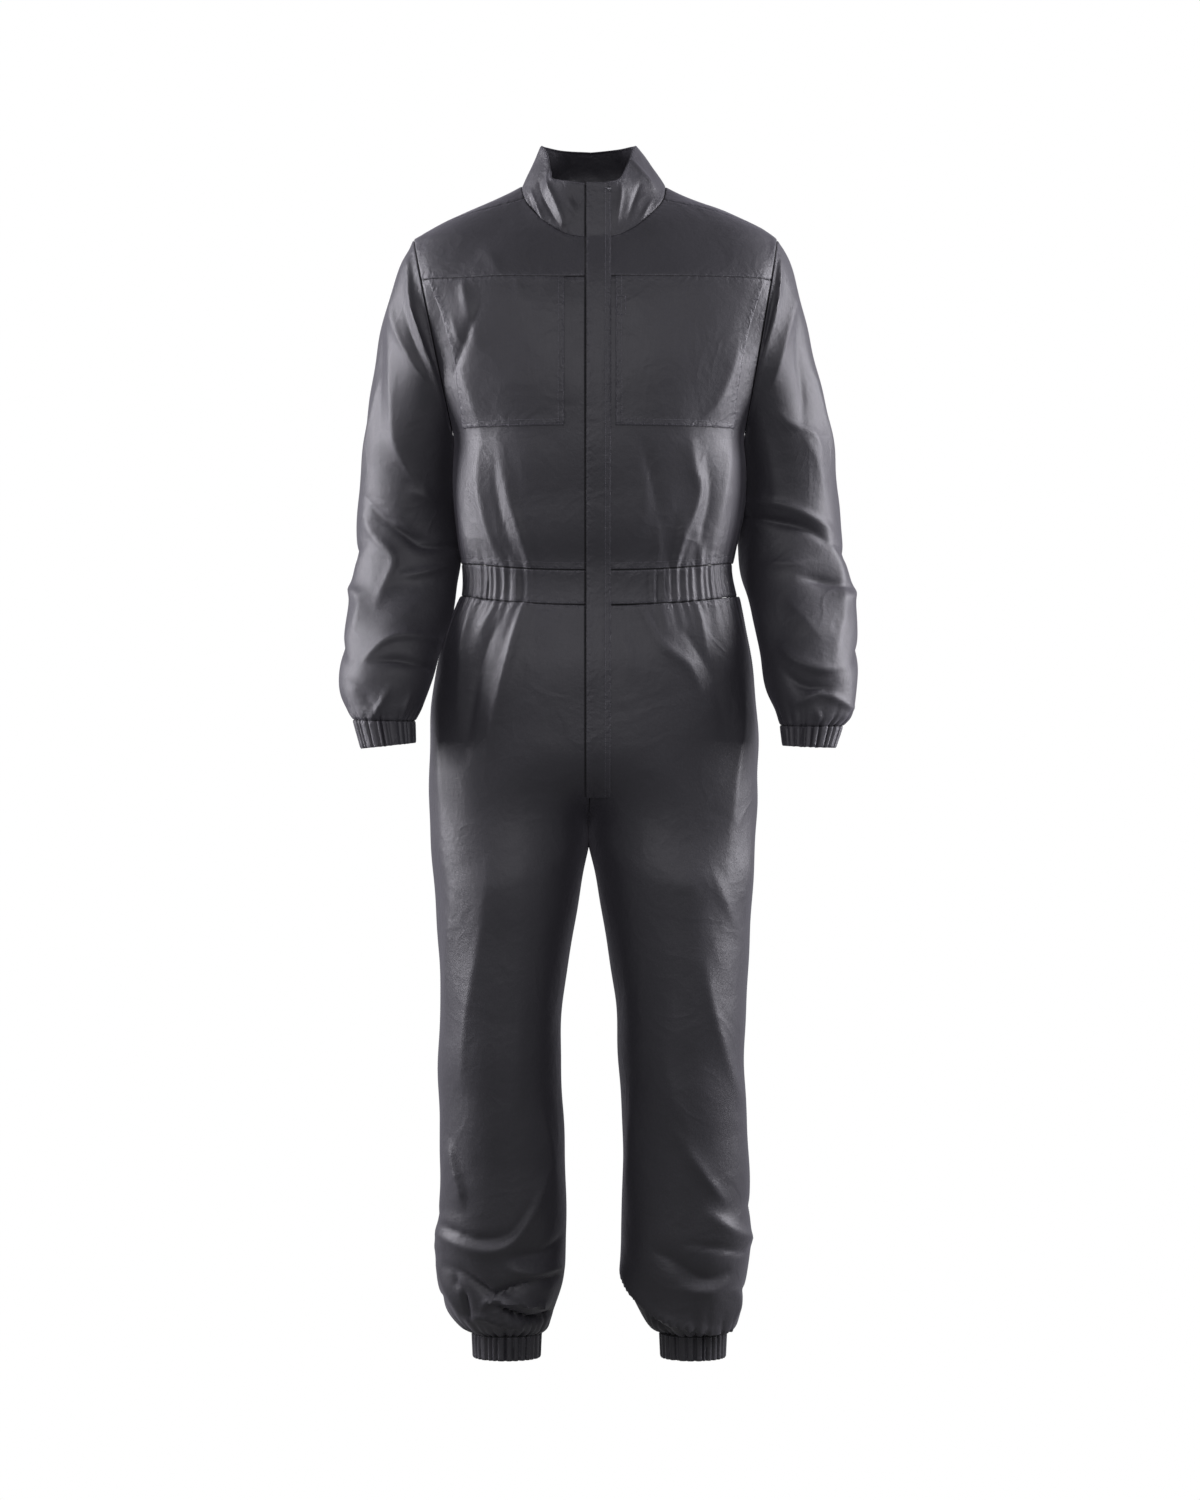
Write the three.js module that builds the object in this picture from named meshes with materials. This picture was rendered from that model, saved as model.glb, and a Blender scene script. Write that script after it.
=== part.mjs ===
// Boiler suit with a stand collar, a covered front zip and elastic at the waist, wrists and ankles.
// It keeps the hollow shape of wear. Millimetres, +Z up, the front faces -Y, the wearer's left is +X.
// The origin lies inside the neck, level with the collar seam at the side of the neck.
import * as THREE from 'three';

// Cloth, seams and camber
const WALL = 1.6;
const SEAM = 0.3;
const BAND_WALL = 1.3;
const COLLAR_WALL = 2;
const COLLAR_SWELL = 2;
const LAYER_LIFT = 0.35;
const SQUARENESS = 2.4;

// Shoulders and armholes
const TIP = { right: 238, left: 242, z: -46 };
const ARMPIT = { right: 186.5, left: 199, z: -300 };
const ARMHOLE_HALF_DEPTH = 78;
const INNER_POINT_Z = -130;

// Levels of the seams on the front, at the side seam and on the back
const YOKE_SEAM = { front: -105, back: -120 };
const WAIST_TOP = { front: -486, side: -474, back: -470 };
const WAIST_SEAM = { front: -531, side: -517, back: -512 };
const CROTCH_Z = -836;
const RISE_TOP_Z = { front: -690, back: -610 };
const RISE_POWER = 2.4;

// Front fly: the zip under a flap that is sewn to the wearer's left
const FLAP = { free: -10.4, sewn: 22.5, bottomZ: -781 };
const ZIP = { half: 9, edge: 3, bottomZ: -702 };

// Chest pockets: distances of their edges from the middle, and their lower edge
const POCKET = { inner: { right: 38, left: 28 }, fromArmhole: 9, outerShare: 0.92, bottomZ: -300 };

// Gathers made by the elastic
const GATHER = { waistFront: 10, waistBack: 16, cuff: 16, ankle: 18, depth: 2 };

const TORSO = [
  { z: 60, mid: 8, front: 5, back: 30, right: 40, left: 40 },
  { z: 44, mid: 7, front: 8, back: 52, right: 56, left: 56 },
  { z: 30, mid: 6, front: 14, back: 66, right: 84, left: 84 },
  { z: 20, mid: 5, front: 26, back: 76, right: 104, left: 104 },
  { z: 2, mid: 5, front: 44, back: 87, right: 140, left: 140 },
  { z: -20, mid: 5, front: 62, back: 97, right: 190, left: 190 },
  { z: -51, mid: 5, front: 82, back: 107, right: 238, left: 242 },
  { z: -105, mid: 5, front: 112, back: 121, right: 238, left: 242 },
  { z: -180, mid: 4, front: 130, back: 130, right: 238, left: 242 },
  { z: -240, mid: 3, front: 136, back: 130, right: 210, left: 220 },
  { z: -300, mid: 2, front: 136, back: 126, right: 186.5, left: 199 },
  { z: -350, mid: 0, front: 132, back: 120, right: 184, left: 197 },
  { z: -389, mid: 0, front: 128, back: 116, right: 182.5, left: 194 },
  { z: -440, mid: 0, front: 122, back: 112, right: 178, left: 186 },
  { z: -480, mid: 0, front: 113, back: 105, right: 173, left: 181 },
  { z: -525, mid: 0, front: 112, back: 105, right: 176, left: 190 },
  { z: -560, mid: 0, front: 119, back: 119, right: 194, left: 201 },
  { z: -601, mid: 0, front: 125, back: 134, right: 206, left: 207 },
  { z: -640, mid: 0, front: 127, back: 142, right: 212, left: 211 },
  { z: -700, mid: 0, front: 127, back: 148, right: 214.5, left: 214.5 },
  { z: -785, mid: 0, front: 124, back: 146, right: 216, left: 215 },
  { z: -850, mid: 0, front: 120, back: 138, right: 214, left: 212.5 },
];

// Top of the shoulders from the neck out to the tips
const SHOULDER = [
  { z: 60, right: 40, left: 40 },
  { z: 44, right: 60, left: 60 },
  { z: 27, right: 90, left: 90 },
  { z: 17, right: 109, left: 109 },
  { z: 9, right: 127, left: 126 },
  { z: 1, right: 145, left: 146 },
  { z: -7, right: 162, left: 169 },
  { z: -15, right: 178, left: 189 },
  { z: -23, right: 195, left: 208 },
  { z: -31, right: 211, left: 224 },
  { z: -39, right: 226, left: 235 },
  { z: -46, right: 238, left: 242 },
];

// Neck seam from the centre front round to the centre back, for the wearer's left
const NECK = [
  { turn: 0, x: 0, y: -78, z: -51 },
  { turn: 1, x: 31, y: -75, z: -48 },
  { turn: 2, x: 57, y: -64, z: -36 },
  { turn: 3, x: 78, y: -46, z: -18 },
  { turn: 4, x: 91, y: -26, z: 1 },
  { turn: 5, x: 95, y: 3, z: 24 },
  { turn: 6, x: 87, y: 33, z: 28 },
  { turn: 7, x: 66, y: 58, z: 29 },
  { turn: 8, x: 36, y: 69, z: 30 },
  { turn: 9, x: 0, y: 72, z: 30 },
];
const NECK_POINT_TURN = 4;
const NECK_TURNS = 9;
const NECK_STEPS = { front: 6, back: 6, shoulder: 5 };

// Top edge of the collar, by the same turns
const COLLAR_TOP = {
  right: [
    { turn: 0, x: 7.2, y: -66, z: 21 },
    { turn: 1.5, x: 34, y: -63, z: 25 },
    { turn: 2.6, x: 55, y: -50, z: 30 },
    { turn: 3.6, x: 58, y: -34, z: 44 },
    { turn: 4.6, x: 62, y: -12, z: 68 },
    { turn: 5.4, x: 70, y: 6, z: 79 },
    { turn: 6.4, x: 64, y: 28, z: 80 },
    { turn: 7.6, x: 42, y: 48, z: 78 },
    { turn: 9, x: 4, y: 57, z: 77 },
  ],
  left: [
    { turn: 0, x: -4.7, y: -66, z: 21 },
    { turn: 1.5, x: 20, y: -64, z: 24 },
    { turn: 2.4, x: 34, y: -56, z: 29 },
    { turn: 3.4, x: 42, y: -36, z: 46 },
    { turn: 4.4, x: 50, y: -14, z: 68 },
    { turn: 5.2, x: 55, y: 4, z: 79 },
    { turn: 6.2, x: 54, y: 25, z: 81.5 },
    { turn: 7.6, x: 33, y: 49, z: 80 },
    { turn: 9, x: -4, y: 57, z: 77 },
  ],
};

// Sleeves: each ring runs from an outer point to an inner point, with a middle and half depth in Y
const SLEEVE = {
  right: [
    { ring: 0, outX: 238, outZ: -46, inX: 186.5, inZ: -300, mid: 5, half: 78 },
    { ring: 1, outX: 255, outZ: -75, inX: 187.7, inZ: -307, mid: 7, half: 79 },
    { ring: 2, outX: 267, outZ: -110, inX: 187.7, inZ: -314, mid: 10, half: 79 },
    { ring: 3, outX: 279, outZ: -154, inX: 187.5, inZ: -322, mid: 14, half: 78 },
    { ring: 4, outX: 289, outZ: -207, inX: 187, inZ: -334, mid: 19, half: 76 },
    { ring: 5, outX: 298, outZ: -264, inX: 186, inZ: -351, mid: 25, half: 74 },
    { ring: 6, outX: 304, outZ: -323, inX: 184.5, inZ: -374, mid: 30, half: 72 },
    { ring: 7, outX: 312.5, outZ: -383, inX: 181.5, inZ: -405, mid: 33, half: 70 },
    { ring: 8, outX: 319, outZ: -448, inX: 178, inZ: -448, mid: 30, half: 69 },
    { ring: 9, outX: 321.5, outZ: -502, inX: 181, inZ: -495, mid: 15, half: 67 },
    { ring: 10, outX: 326, outZ: -550, inX: 193, inZ: -538, mid: -15, half: 65 },
    { ring: 11, outX: 331, outZ: -600, inX: 203, inZ: -587, mid: -45, half: 61 },
    { ring: 12, outX: 331, outZ: -642, inX: 211, inZ: -628, mid: -60, half: 55 },
    { ring: 13, outX: 323, outZ: -668, inX: 222, inZ: -661, mid: -70, half: 45 },
    { ring: 14, outX: 315, outZ: -680, inX: 232, inZ: -681, mid: -76, half: 37 },
  ],
  left: [
    { ring: 0, outX: 242, outZ: -46, inX: 199, inZ: -300, mid: 5, half: 78 },
    { ring: 1, outX: 257, outZ: -73, inX: 200.4, inZ: -307, mid: 7, half: 79 },
    { ring: 2, outX: 269, outZ: -110, inX: 200.4, inZ: -314, mid: 10, half: 79 },
    { ring: 3, outX: 281, outZ: -154, inX: 200.2, inZ: -322, mid: 14, half: 78 },
    { ring: 4, outX: 293, outZ: -207, inX: 199.6, inZ: -334, mid: 19, half: 76 },
    { ring: 5, outX: 306, outZ: -264, inX: 198.5, inZ: -351, mid: 25, half: 74 },
    { ring: 6, outX: 317, outZ: -323, inX: 196, inZ: -374, mid: 30, half: 72 },
    { ring: 7, outX: 324.5, outZ: -383, inX: 192.5, inZ: -405, mid: 33, half: 70 },
    { ring: 8, outX: 333, outZ: -449, inX: 191, inZ: -449, mid: 30, half: 69 },
    { ring: 9, outX: 341.5, outZ: -502, inX: 195.5, inZ: -495, mid: 15, half: 67 },
    { ring: 10, outX: 346, outZ: -550, inX: 207, inZ: -541, mid: -15, half: 65 },
    { ring: 11, outX: 347, outZ: -601, inX: 218, inZ: -594, mid: -45, half: 61 },
    { ring: 12, outX: 345, outZ: -645, inX: 225, inZ: -641, mid: -60, half: 55 },
    { ring: 13, outX: 337, outZ: -674, inX: 234, inZ: -668, mid: -70, half: 45 },
    { ring: 14, outX: 325, outZ: -688, inX: 242, inZ: -687, mid: -76, half: 37 },
  ],
};
const CUFF_END = {
  right: { outX: 304, outZ: -718, inX: 231, inZ: -710, mid: -84, half: 35 },
  left: { outX: 315, outZ: -717, inX: 245, inZ: -714, mid: -84, half: 35 },
};

// Legs: distances of the inseam and the side seam from the middle, with depths before and behind
const LEG = {
  right: [
    { ring: 0, z: -517, inner: 3, outer: 176, front: 112, back: 105, mid: 0 },
    { ring: 1, z: -560, inner: 4, outer: 194, front: 119, back: 119, mid: 0 },
    { ring: 2, z: -605, inner: 5, outer: 207, front: 125, back: 135, mid: 0 },
    { ring: 3, z: -655, inner: 6, outer: 213, front: 127, back: 143, mid: 0 },
    { ring: 4, z: -705, inner: 7, outer: 214.5, front: 126, back: 146, mid: 0 },
    { ring: 5, z: -750, inner: 8, outer: 215.5, front: 125, back: 143, mid: 0 },
    { ring: 6, z: -790, inner: 8, outer: 216, front: 123, back: 138, mid: 0 },
    { ring: 7, z: -836, inner: 8.5, outer: 214.5, front: 121, back: 130, mid: 0 },
    { ring: 8, z: -890, inner: 16, outer: 211, front: 117, back: 121, mid: -1 },
    { ring: 9, z: -970, inner: 29, outer: 206, front: 110, back: 110, mid: -3 },
    { ring: 10, z: -1050, inner: 41, outer: 202, front: 104, back: 101, mid: -5 },
    { ring: 11, z: -1130, inner: 44, outer: 205, front: 99, back: 97, mid: -5 },
    { ring: 12, z: -1210, inner: 41, outer: 203, front: 94, back: 99, mid: -2 },
    { ring: 13, z: -1290, inner: 38, outer: 202, front: 90, back: 102, mid: 3 },
    { ring: 14, z: -1360, inner: 36, outer: 208, front: 90, back: 101, mid: 8 },
    { ring: 15, z: -1415, inner: 40, outer: 206, front: 88, back: 95, mid: 11 },
    { ring: 16, z: -1455, inner: 52, outer: 196, front: 80, back: 84, mid: 13 },
    { ring: 17, z: -1480, inner: 61, outer: 178, front: 67, back: 68, mid: 14 },
    { ring: 18, z: -1489, inner: 69, outer: 162, front: 52, back: 53, mid: 15 },
  ],
  left: [
    { ring: 0, z: -517, inner: -3, outer: 190, front: 112, back: 105, mid: 0 },
    { ring: 1, z: -560, inner: -4, outer: 201, front: 119, back: 119, mid: 0 },
    { ring: 2, z: -605, inner: -5, outer: 208, front: 125, back: 135, mid: 0 },
    { ring: 3, z: -655, inner: -6, outer: 212, front: 127, back: 143, mid: 0 },
    { ring: 4, z: -705, inner: -7, outer: 215, front: 126, back: 146, mid: 0 },
    { ring: 5, z: -750, inner: -8, outer: 214.5, front: 125, back: 143, mid: 0 },
    { ring: 6, z: -790, inner: -8, outer: 215, front: 123, back: 138, mid: 0 },
    { ring: 7, z: -836, inner: -6, outer: 212.5, front: 121, back: 130, mid: 0 },
    { ring: 8, z: -890, inner: 3, outer: 209, front: 117, back: 121, mid: -1 },
    { ring: 9, z: -970, inner: 16, outer: 204.5, front: 110, back: 110, mid: -3 },
    { ring: 10, z: -1050, inner: 29, outer: 202, front: 104, back: 101, mid: -5 },
    { ring: 11, z: -1130, inner: 33, outer: 199, front: 99, back: 97, mid: -5 },
    { ring: 12, z: -1210, inner: 38, outer: 202, front: 94, back: 99, mid: -2 },
    { ring: 13, z: -1290, inner: 37, outer: 206, front: 90, back: 102, mid: 3 },
    { ring: 14, z: -1360, inner: 34, outer: 208, front: 90, back: 101, mid: 8 },
    { ring: 15, z: -1415, inner: 37, outer: 204, front: 88, back: 95, mid: 11 },
    { ring: 16, z: -1455, inner: 55, outer: 196, front: 80, back: 84, mid: 13 },
    { ring: 17, z: -1480, inner: 72, outer: 188, front: 67, back: 68, mid: 14 },
    { ring: 18, z: -1489, inner: 86, outer: 176, front: 52, back: 53, mid: 15 },
  ],
};
const LEG_RINGS = 18;
const SLEEVE_RINGS = 14;
// Two pieces to a sleeve, by turns from its outer point: they meet under the arm and behind the elbow
const SLEEVE_COLUMNS = 16;
const SLEEVE_PANEL = { top: { from: -0.125, to: 0.5 }, under: { from: 0.5, to: 0.875 } };
const ANKLE = { topZ: -1489.5, bottomZ: -1522, flare: 1.5 };
const CROTCH_RING = 7;

// Largest folds, as lines seen from the front or the back: from one end to the other in X and Z,
// with the half width of the fold and its height, which is below zero for a trough
const FOLDS = {
  sleeve_right: [
    { face: 'front', x1: -305, z1: -420, x2: -200, z2: -470, width: 20, height: -7 },
    { face: 'front', x1: -318, z1: -512, x2: -205, z2: -490, width: 18, height: -7 },
    { face: 'front', x1: -322, z1: -590, x2: -215, z2: -585, width: 18, height: -8 },
    { face: 'front', x1: -275, z1: -150, x2: -262, z2: -330, width: 20, height: 7 },
    { face: 'back', x1: -310, z1: -440, x2: -200, z2: -455, width: 22, height: -7 },
    { face: 'back', x1: -320, z1: -560, x2: -210, z2: -540, width: 20, height: -7 },
  ],
  sleeve_left: [
    { face: 'front', x1: 200, z1: -415, x2: 300, z2: -450, width: 18, height: -8 },
    { face: 'front', x1: 230, z1: -500, x2: 320, z2: -510, width: 18, height: -6 },
    { face: 'front', x1: 232, z1: -560, x2: 310, z2: -620, width: 18, height: -8 },
    { face: 'front', x1: 262, z1: -150, x2: 285, z2: -300, width: 20, height: 6 },
    { face: 'back', x1: 205, z1: -450, x2: 320, z2: -440, width: 22, height: -7 },
    { face: 'back', x1: 215, z1: -550, x2: 335, z2: -565, width: 20, height: -7 },
  ],
  leg_right: [
    { face: 'front', x1: -190, z1: -1330, x2: -70, z2: -1375, width: 26, height: -7 },
    { face: 'front', x1: -170, z1: -1425, x2: -55, z2: -1430, width: 20, height: -8 },
    { face: 'front', x1: -190, z1: -820, x2: -165, z2: -1150, width: 26, height: 5 },
    { face: 'back', x1: -190, z1: -1380, x2: -60, z2: -1350, width: 26, height: -7 },
    { face: 'back', x1: -190, z1: -1430, x2: -70, z2: -1420, width: 20, height: -7 },
    { face: 'back', x1: -180, z1: -860, x2: -40, z2: -905, width: 26, height: -6 },
  ],
  leg_left: [
    { face: 'front', x1: 120, z1: -1100, x2: 180, z2: -1290, width: 26, height: 7 },
    { face: 'front', x1: 60, z1: -1310, x2: 190, z2: -1365, width: 24, height: -7 },
    { face: 'front', x1: 190, z1: -830, x2: 160, z2: -1150, width: 26, height: 5 },
    { face: 'back', x1: 60, z1: -1350, x2: 190, z2: -1380, width: 26, height: -7 },
    { face: 'back', x1: 70, z1: -1420, x2: 190, z2: -1430, width: 20, height: -7 },
    { face: 'back', x1: 40, z1: -905, x2: 180, z2: -860, width: 26, height: -6 },
  ],
  body: [
    { face: 'front', x1: -150, z1: -300, x2: -120, z2: -470, width: 20, height: 5 },
    { face: 'front', x1: 160, z1: -300, x2: 130, z2: -470, width: 20, height: 5 },
    { face: 'back', x1: -110, z1: -250, x2: -60, z2: -460, width: 24, height: 5 },
    { face: 'back', x1: 110, z1: -250, x2: 60, z2: -460, width: 24, height: 5 },
  ],
};

// Rows and columns of the panels' grids
const PANEL = { pocketRows: 7, lowerRows: 6, pocketColumns: 8, backRows: 10, backColumns: 8 };

// Small fittings
const LABEL = { z: -418, height: 10, width: 4, thick: 1 };
const SLIDER = { x: -4.9, width: 4.2, height: 10, thick: 2.8, z: 6 };
const STUD = { radius: 3.2, thick: 1.4, x: 19.5, z: 13.5 };

const SIDE_SIGN = { right: -1, left: 1 };
const cloth = (hue) => new THREE.MeshStandardMaterial({ color: hue, roughness: 0.85, metalness: 0 });
const MATERIAL = {
  body: cloth(0x3a393f),
  band: cloth(0x333238),
  flap: cloth(0x3f3e45),
  zip: new THREE.MeshStandardMaterial({ color: 0x1a1a1c, roughness: 0.5, metalness: 0.2 }),
  label: cloth(0x4b4138),
  metal: new THREE.MeshStandardMaterial({ color: 0x4a4a4e, roughness: 0.35, metalness: 0.9 }),
};

const lerp = THREE.MathUtils.lerp;
const clamp = THREE.MathUtils.clamp;
const range = (count) => Array.from({ length: count + 1 }, (_, i) => i / count);
const signedPower = (base, power) => Math.sign(base) * Math.abs(base) ** power;

/** Smooth value of a table's column: a cubic between rows, sloped by each row's neighbours. */
function column(rows, key, name, at) {
  const last = rows.length - 1;
  const rising = rows[last][key] > rows[0][key];
  let i = 0;
  while (i < last - 1 && (rising ? at > rows[i + 1][key] : at < rows[i + 1][key])) i += 1;
  const slope = (a, b) => (rows[b][name] - rows[a][name]) / (rows[b][key] - rows[a][key]);
  const span = rows[i + 1][key] - rows[i][key];
  const t = clamp((at - rows[i][key]) / span, 0, 1);
  const start = slope(Math.max(i - 1, 0), i + 1) * span;
  const end = slope(i, Math.min(i + 2, last)) * span;
  const rise = rows[i + 1][name] - rows[i][name];
  return rows[i][name] + t * (start + t * (3 * rise - 2 * start - end + t * (start + end - 2 * rise)));
}

/** Half of the armhole's front-to-back size at a height, from its oval between tip and armpit. */
function armholeHalfDepth(z) {
  const middle = (TIP.z + ARMPIT.z) / 2;
  const reach = (TIP.z - ARMPIT.z) / 2;
  return ARMHOLE_HALF_DEPTH * Math.sqrt(Math.max(0, 1 - ((z - middle) / reach) ** 2));
}

/** Distance of the armhole seam from the middle at a height. */
function armholeX(side, z) {
  return lerp(TIP[side], ARMPIT[side], clamp((TIP.z - z) / (TIP.z - ARMPIT.z), 0, 1));
}

/** Half width of the body's section: the shoulder ridge, the section through the armhole, or the table. */
function halfWidth(side, face, z) {
  if (z >= TIP.z) return column(SHOULDER, 'z', side, z);
  if (z > ARMPIT.z) {
    const share = armholeHalfDepth(z) / column(TORSO, 'z', face, z);
    return armholeX(side, z) / (1 - share ** SQUARENESS) ** (1 / SQUARENESS);
  }
  return column(TORSO, 'z', side, z);
}

/** Below zero inside the body's surface, above zero outside it. */
function bodyField(p) {
  const side = p.x < 0 ? 'right' : 'left';
  const mid = column(TORSO, 'z', 'mid', p.z);
  const face = p.y < mid ? 'front' : 'back';
  const across = Math.abs(p.x) / Math.max(halfWidth(side, face, p.z), 1);
  const deep = Math.abs(p.y - mid) / Math.max(column(TORSO, 'z', face, p.z), 1);
  return across ** SQUARENESS + deep ** SQUARENESS - 1;
}

/** Outward direction of the body's surface at a point, from the field's slope. */
function bodyNormal(p) {
  const step = 1.5;
  const slope = (axis) => {
    const ahead = p.clone();
    const behind = p.clone();
    ahead[axis] += step;
    behind[axis] -= step;
    return bodyField(ahead) - bodyField(behind);
  };
  return new THREE.Vector3(slope('x'), slope('y'), slope('z')).normalize();
}

/** Moves a point onto the body's surface, along the line from a point inside the chest. */
function ontoBody(p) {
  const inside = new THREE.Vector3(p.x * 0.8, 4, Math.min(INNER_POINT_Z, p.z - 60));
  let low = 0.3;
  let high = 1.8;
  const at = (share) => inside.clone().lerp(p, share);
  for (let i = 0; i < 40; i += 1) {
    const middle = (low + high) / 2;
    if (bodyField(at(middle)) > 0) high = middle;
    else low = middle;
  }
  return at((low + high) / 2);
}

/** Angle on the body's section of a distance from the middle: a quarter circle ends at the side seam. */
function sectionAngle(side, face, x, z) {
  return Math.asin(clamp(x / halfWidth(side, face, z), 0, 1) ** (SQUARENESS / 2));
}

/** Angle on the body's section of its armhole, or of its side seam below the armpit. */
function sideAngle(side, face, z) {
  return z > ARMPIT.z ? sectionAngle(side, face, armholeX(side, z), z) : Math.PI / 2;
}

/** Point on the body's section at an angle and a height. */
function sectionAt(side, face, angle, z) {
  const power = 2 / SQUARENESS;
  const x = halfWidth(side, face, z) * Math.sin(angle) ** power;
  const y = column(TORSO, 'z', face, z) * Math.max(0, Math.cos(angle)) ** power;
  const mid = column(TORSO, 'z', 'mid', z);
  return new THREE.Vector3(SIDE_SIGN[side] * x, mid + (face === 'front' ? -y : y), z);
}

/** Point on the body's section: turn 0 is a distance from the middle, turn 1 the side seam or armhole. */
function sectionPoint(side, face, turn, z, startX = 0) {
  const start = sectionAngle(side, face, startX, z);
  return sectionAt(side, face, lerp(start, sideAngle(side, face, z), turn), z);
}

/** Height of a waist line where it passes a turn of the body: it dips at the middle of the front. */
function waistLevel(line, face, turn) {
  return lerp(line.side, line[face], Math.cos((turn * Math.PI) / 2) ** 2);
}

/** Height of the folds that a part has at a point, on the face that the point belongs to. */
function foldHeight(folds, p, normal) {
  let height = 0;
  for (const fold of folds) {
    const facing = fold.face === 'front' ? -normal.y : normal.y;
    const alongX = fold.x2 - fold.x1;
    const alongZ = fold.z2 - fold.z1;
    const length = Math.hypot(alongX, alongZ);
    const t = ((p.x - fold.x1) * alongX + (p.z - fold.z1) * alongZ) / length ** 2;
    const off = ((p.x - fold.x1) * alongZ - (p.z - fold.z1) * alongX) / length;
    const taper = THREE.MathUtils.smoothstep(0.5 - Math.abs(t - 0.5), -0.12, 0.25);
    const across = Math.exp(-((off / fold.width) ** 2));
    height += fold.height * across * taper * THREE.MathUtils.smoothstep(facing, -0.1, 0.5);
  }
  return height;
}

/** Fills the grid between four edges, which meet at their ends, by Coons' rule. */
function fillBetween(bottom, top, start, end) {
  const us = range(bottom.length - 1);
  const vs = range(start.length - 1);
  return vs.map((v, j) => us.map((u, i) => {
    const p = bottom[i].clone().multiplyScalar(1 - v).addScaledVector(top[i], v);
    p.addScaledVector(start[j], 1 - u).addScaledVector(end[j], u);
    p.addScaledVector(bottom[0], -(1 - u) * (1 - v)).addScaledVector(bottom.at(-1), -u * (1 - v));
    return p.addScaledVector(top[0], -(1 - u) * v).addScaledVector(top.at(-1), -u * v);
  }));
}

/** Outward directions of a grid that is worked out by a function of its two parameters. */
function gridNormals(surface, us, vs, middleOf) {
  const step = 0.004;
  return vs.map((v) => us.map((u) => {
    const across = surface(u + step, v).sub(surface(u - step, v));
    const along = surface(u, v + step).sub(surface(u, v - step));
    const normal = across.cross(along).normalize();
    const out = surface(u, v).sub(middleOf(v));
    return normal.dot(out) < 0 ? normal.negate() : normal;
  }));
}

/**
 * One sewn piece as a closed wall: an outer grid, an inner grid one wall below it, and its rims.
 * lift raises the whole wall from the grid, and height(i, j, p, n) gives folds and gathers.
 */
function piece(name, grid, normals, material, options = {}) {
  const { wall = WALL, lift = 0, closed = false, height = () => 0 } = options;
  const rows = grid.length;
  const columns = grid[0].length;
  const positions = [];
  for (const depth of [0, wall]) {
    grid.forEach((row, j) => row.forEach((p, i) => {
      const n = normals[j][i];
      const q = p.clone().addScaledVector(n, lift + height(i, j, p, n) - depth);
      positions.push(q.x, q.y, q.z);
    }));
  }
  const outer = (i, j) => j * columns + (i % columns);
  const inner = (i, j) => rows * columns + outer(i, j);
  const faces = [];
  const quad = (a, b, c, d) => faces.push(a, b, c, a, c, d);
  const steps = closed ? columns : columns - 1;
  for (let i = 0; i < steps; i += 1) {
    for (let j = 0; j < rows - 1; j += 1) {
      quad(outer(i, j), outer(i + 1, j), outer(i + 1, j + 1), outer(i, j + 1));
      quad(inner(i, j), inner(i, j + 1), inner(i + 1, j + 1), inner(i + 1, j));
    }
    quad(outer(i, 0), inner(i, 0), inner(i + 1, 0), outer(i + 1, 0));
    quad(outer(i, rows - 1), outer(i + 1, rows - 1), inner(i + 1, rows - 1), inner(i, rows - 1));
  }
  if (!closed) {
    const last = columns - 1;
    for (let j = 0; j < rows - 1; j += 1) {
      quad(outer(0, j), outer(0, j + 1), inner(0, j + 1), inner(0, j));
      quad(outer(last, j), inner(last, j), inner(last, j + 1), outer(last, j + 1));
    }
  }
  return solid(name, positions, faces, material);
}

/** A named mesh of a closed surface, turned so that its faces point outwards. */
function solid(name, positions, faces, material) {
  const at = (k) => new THREE.Vector3().fromArray(positions, faces[k] * 3);
  let volume = 0;
  for (let k = 0; k < faces.length; k += 3) volume += at(k).dot(at(k + 1).cross(at(k + 2)));
  const geometry = new THREE.BufferGeometry();
  geometry.setAttribute('position', new THREE.Float32BufferAttribute(positions, 3));
  geometry.setIndex(volume < 0 ? faces.slice().reverse() : faces);
  geometry.computeVertexNormals();
  const mesh = new THREE.Mesh(geometry, material);
  mesh.name = name;
  return mesh;
}

const bodyNormals = (grid) => grid.map((row) => row.map(bodyNormal));
const bodyFolds = (i, j, p, n) => foldHeight(FOLDS.body, p, n);

/** Neck seam at a turn from the centre front, on either side. */
function neckPoint(side, turn) {
  const at = (name) => column(NECK, 'turn', name, turn);
  const p = new THREE.Vector3(SIDE_SIGN[side] * at('x'), at('y'), at('z'));
  return ontoBody(p);
}

/** Turns of the neck seam's corners, which the yokes and the collar share. */
function neckTurns() {
  const front = range(NECK_STEPS.front).map((t) => lerp(ZIP.edge / 31, NECK_POINT_TURN, t));
  const back = range(NECK_STEPS.back).map((t) => lerp(NECK_POINT_TURN, NECK_TURNS, t));
  return front.concat(back.slice(1));
}

/** Shoulder seam from the neck point to the tip, a little in front of the ridge. */
function shoulderSeam(side, share) {
  const neck = neckPoint(side, NECK_POINT_TURN);
  const tip = new THREE.Vector3(SIDE_SIGN[side] * TIP[side], 5, TIP.z);
  const p = neck.clone().lerp(tip, share);
  const bow = 7 * Math.sin(Math.PI * share);
  p.z += bow;
  p.y -= bow;
  return share < 1 ? ontoBody(p) : tip;
}

/** Armhole seam on one face, from a height up to the tip. */
function armholeEdge(side, face, fromZ, steps) {
  const reach = (TIP.z - ARMPIT.z) / 2;
  const middle = (TIP.z + ARMPIT.z) / 2;
  const start = Math.asin((fromZ - middle) / reach);
  return range(steps).map((t) => {
    const z = middle + reach * Math.sin(lerp(start, Math.PI / 2, t));
    const y = armholeHalfDepth(z);
    const mid = 5;
    return new THREE.Vector3(SIDE_SIGN[side] * armholeX(side, z), mid + (face === 'front' ? -y : y), z);
  });
}

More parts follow.
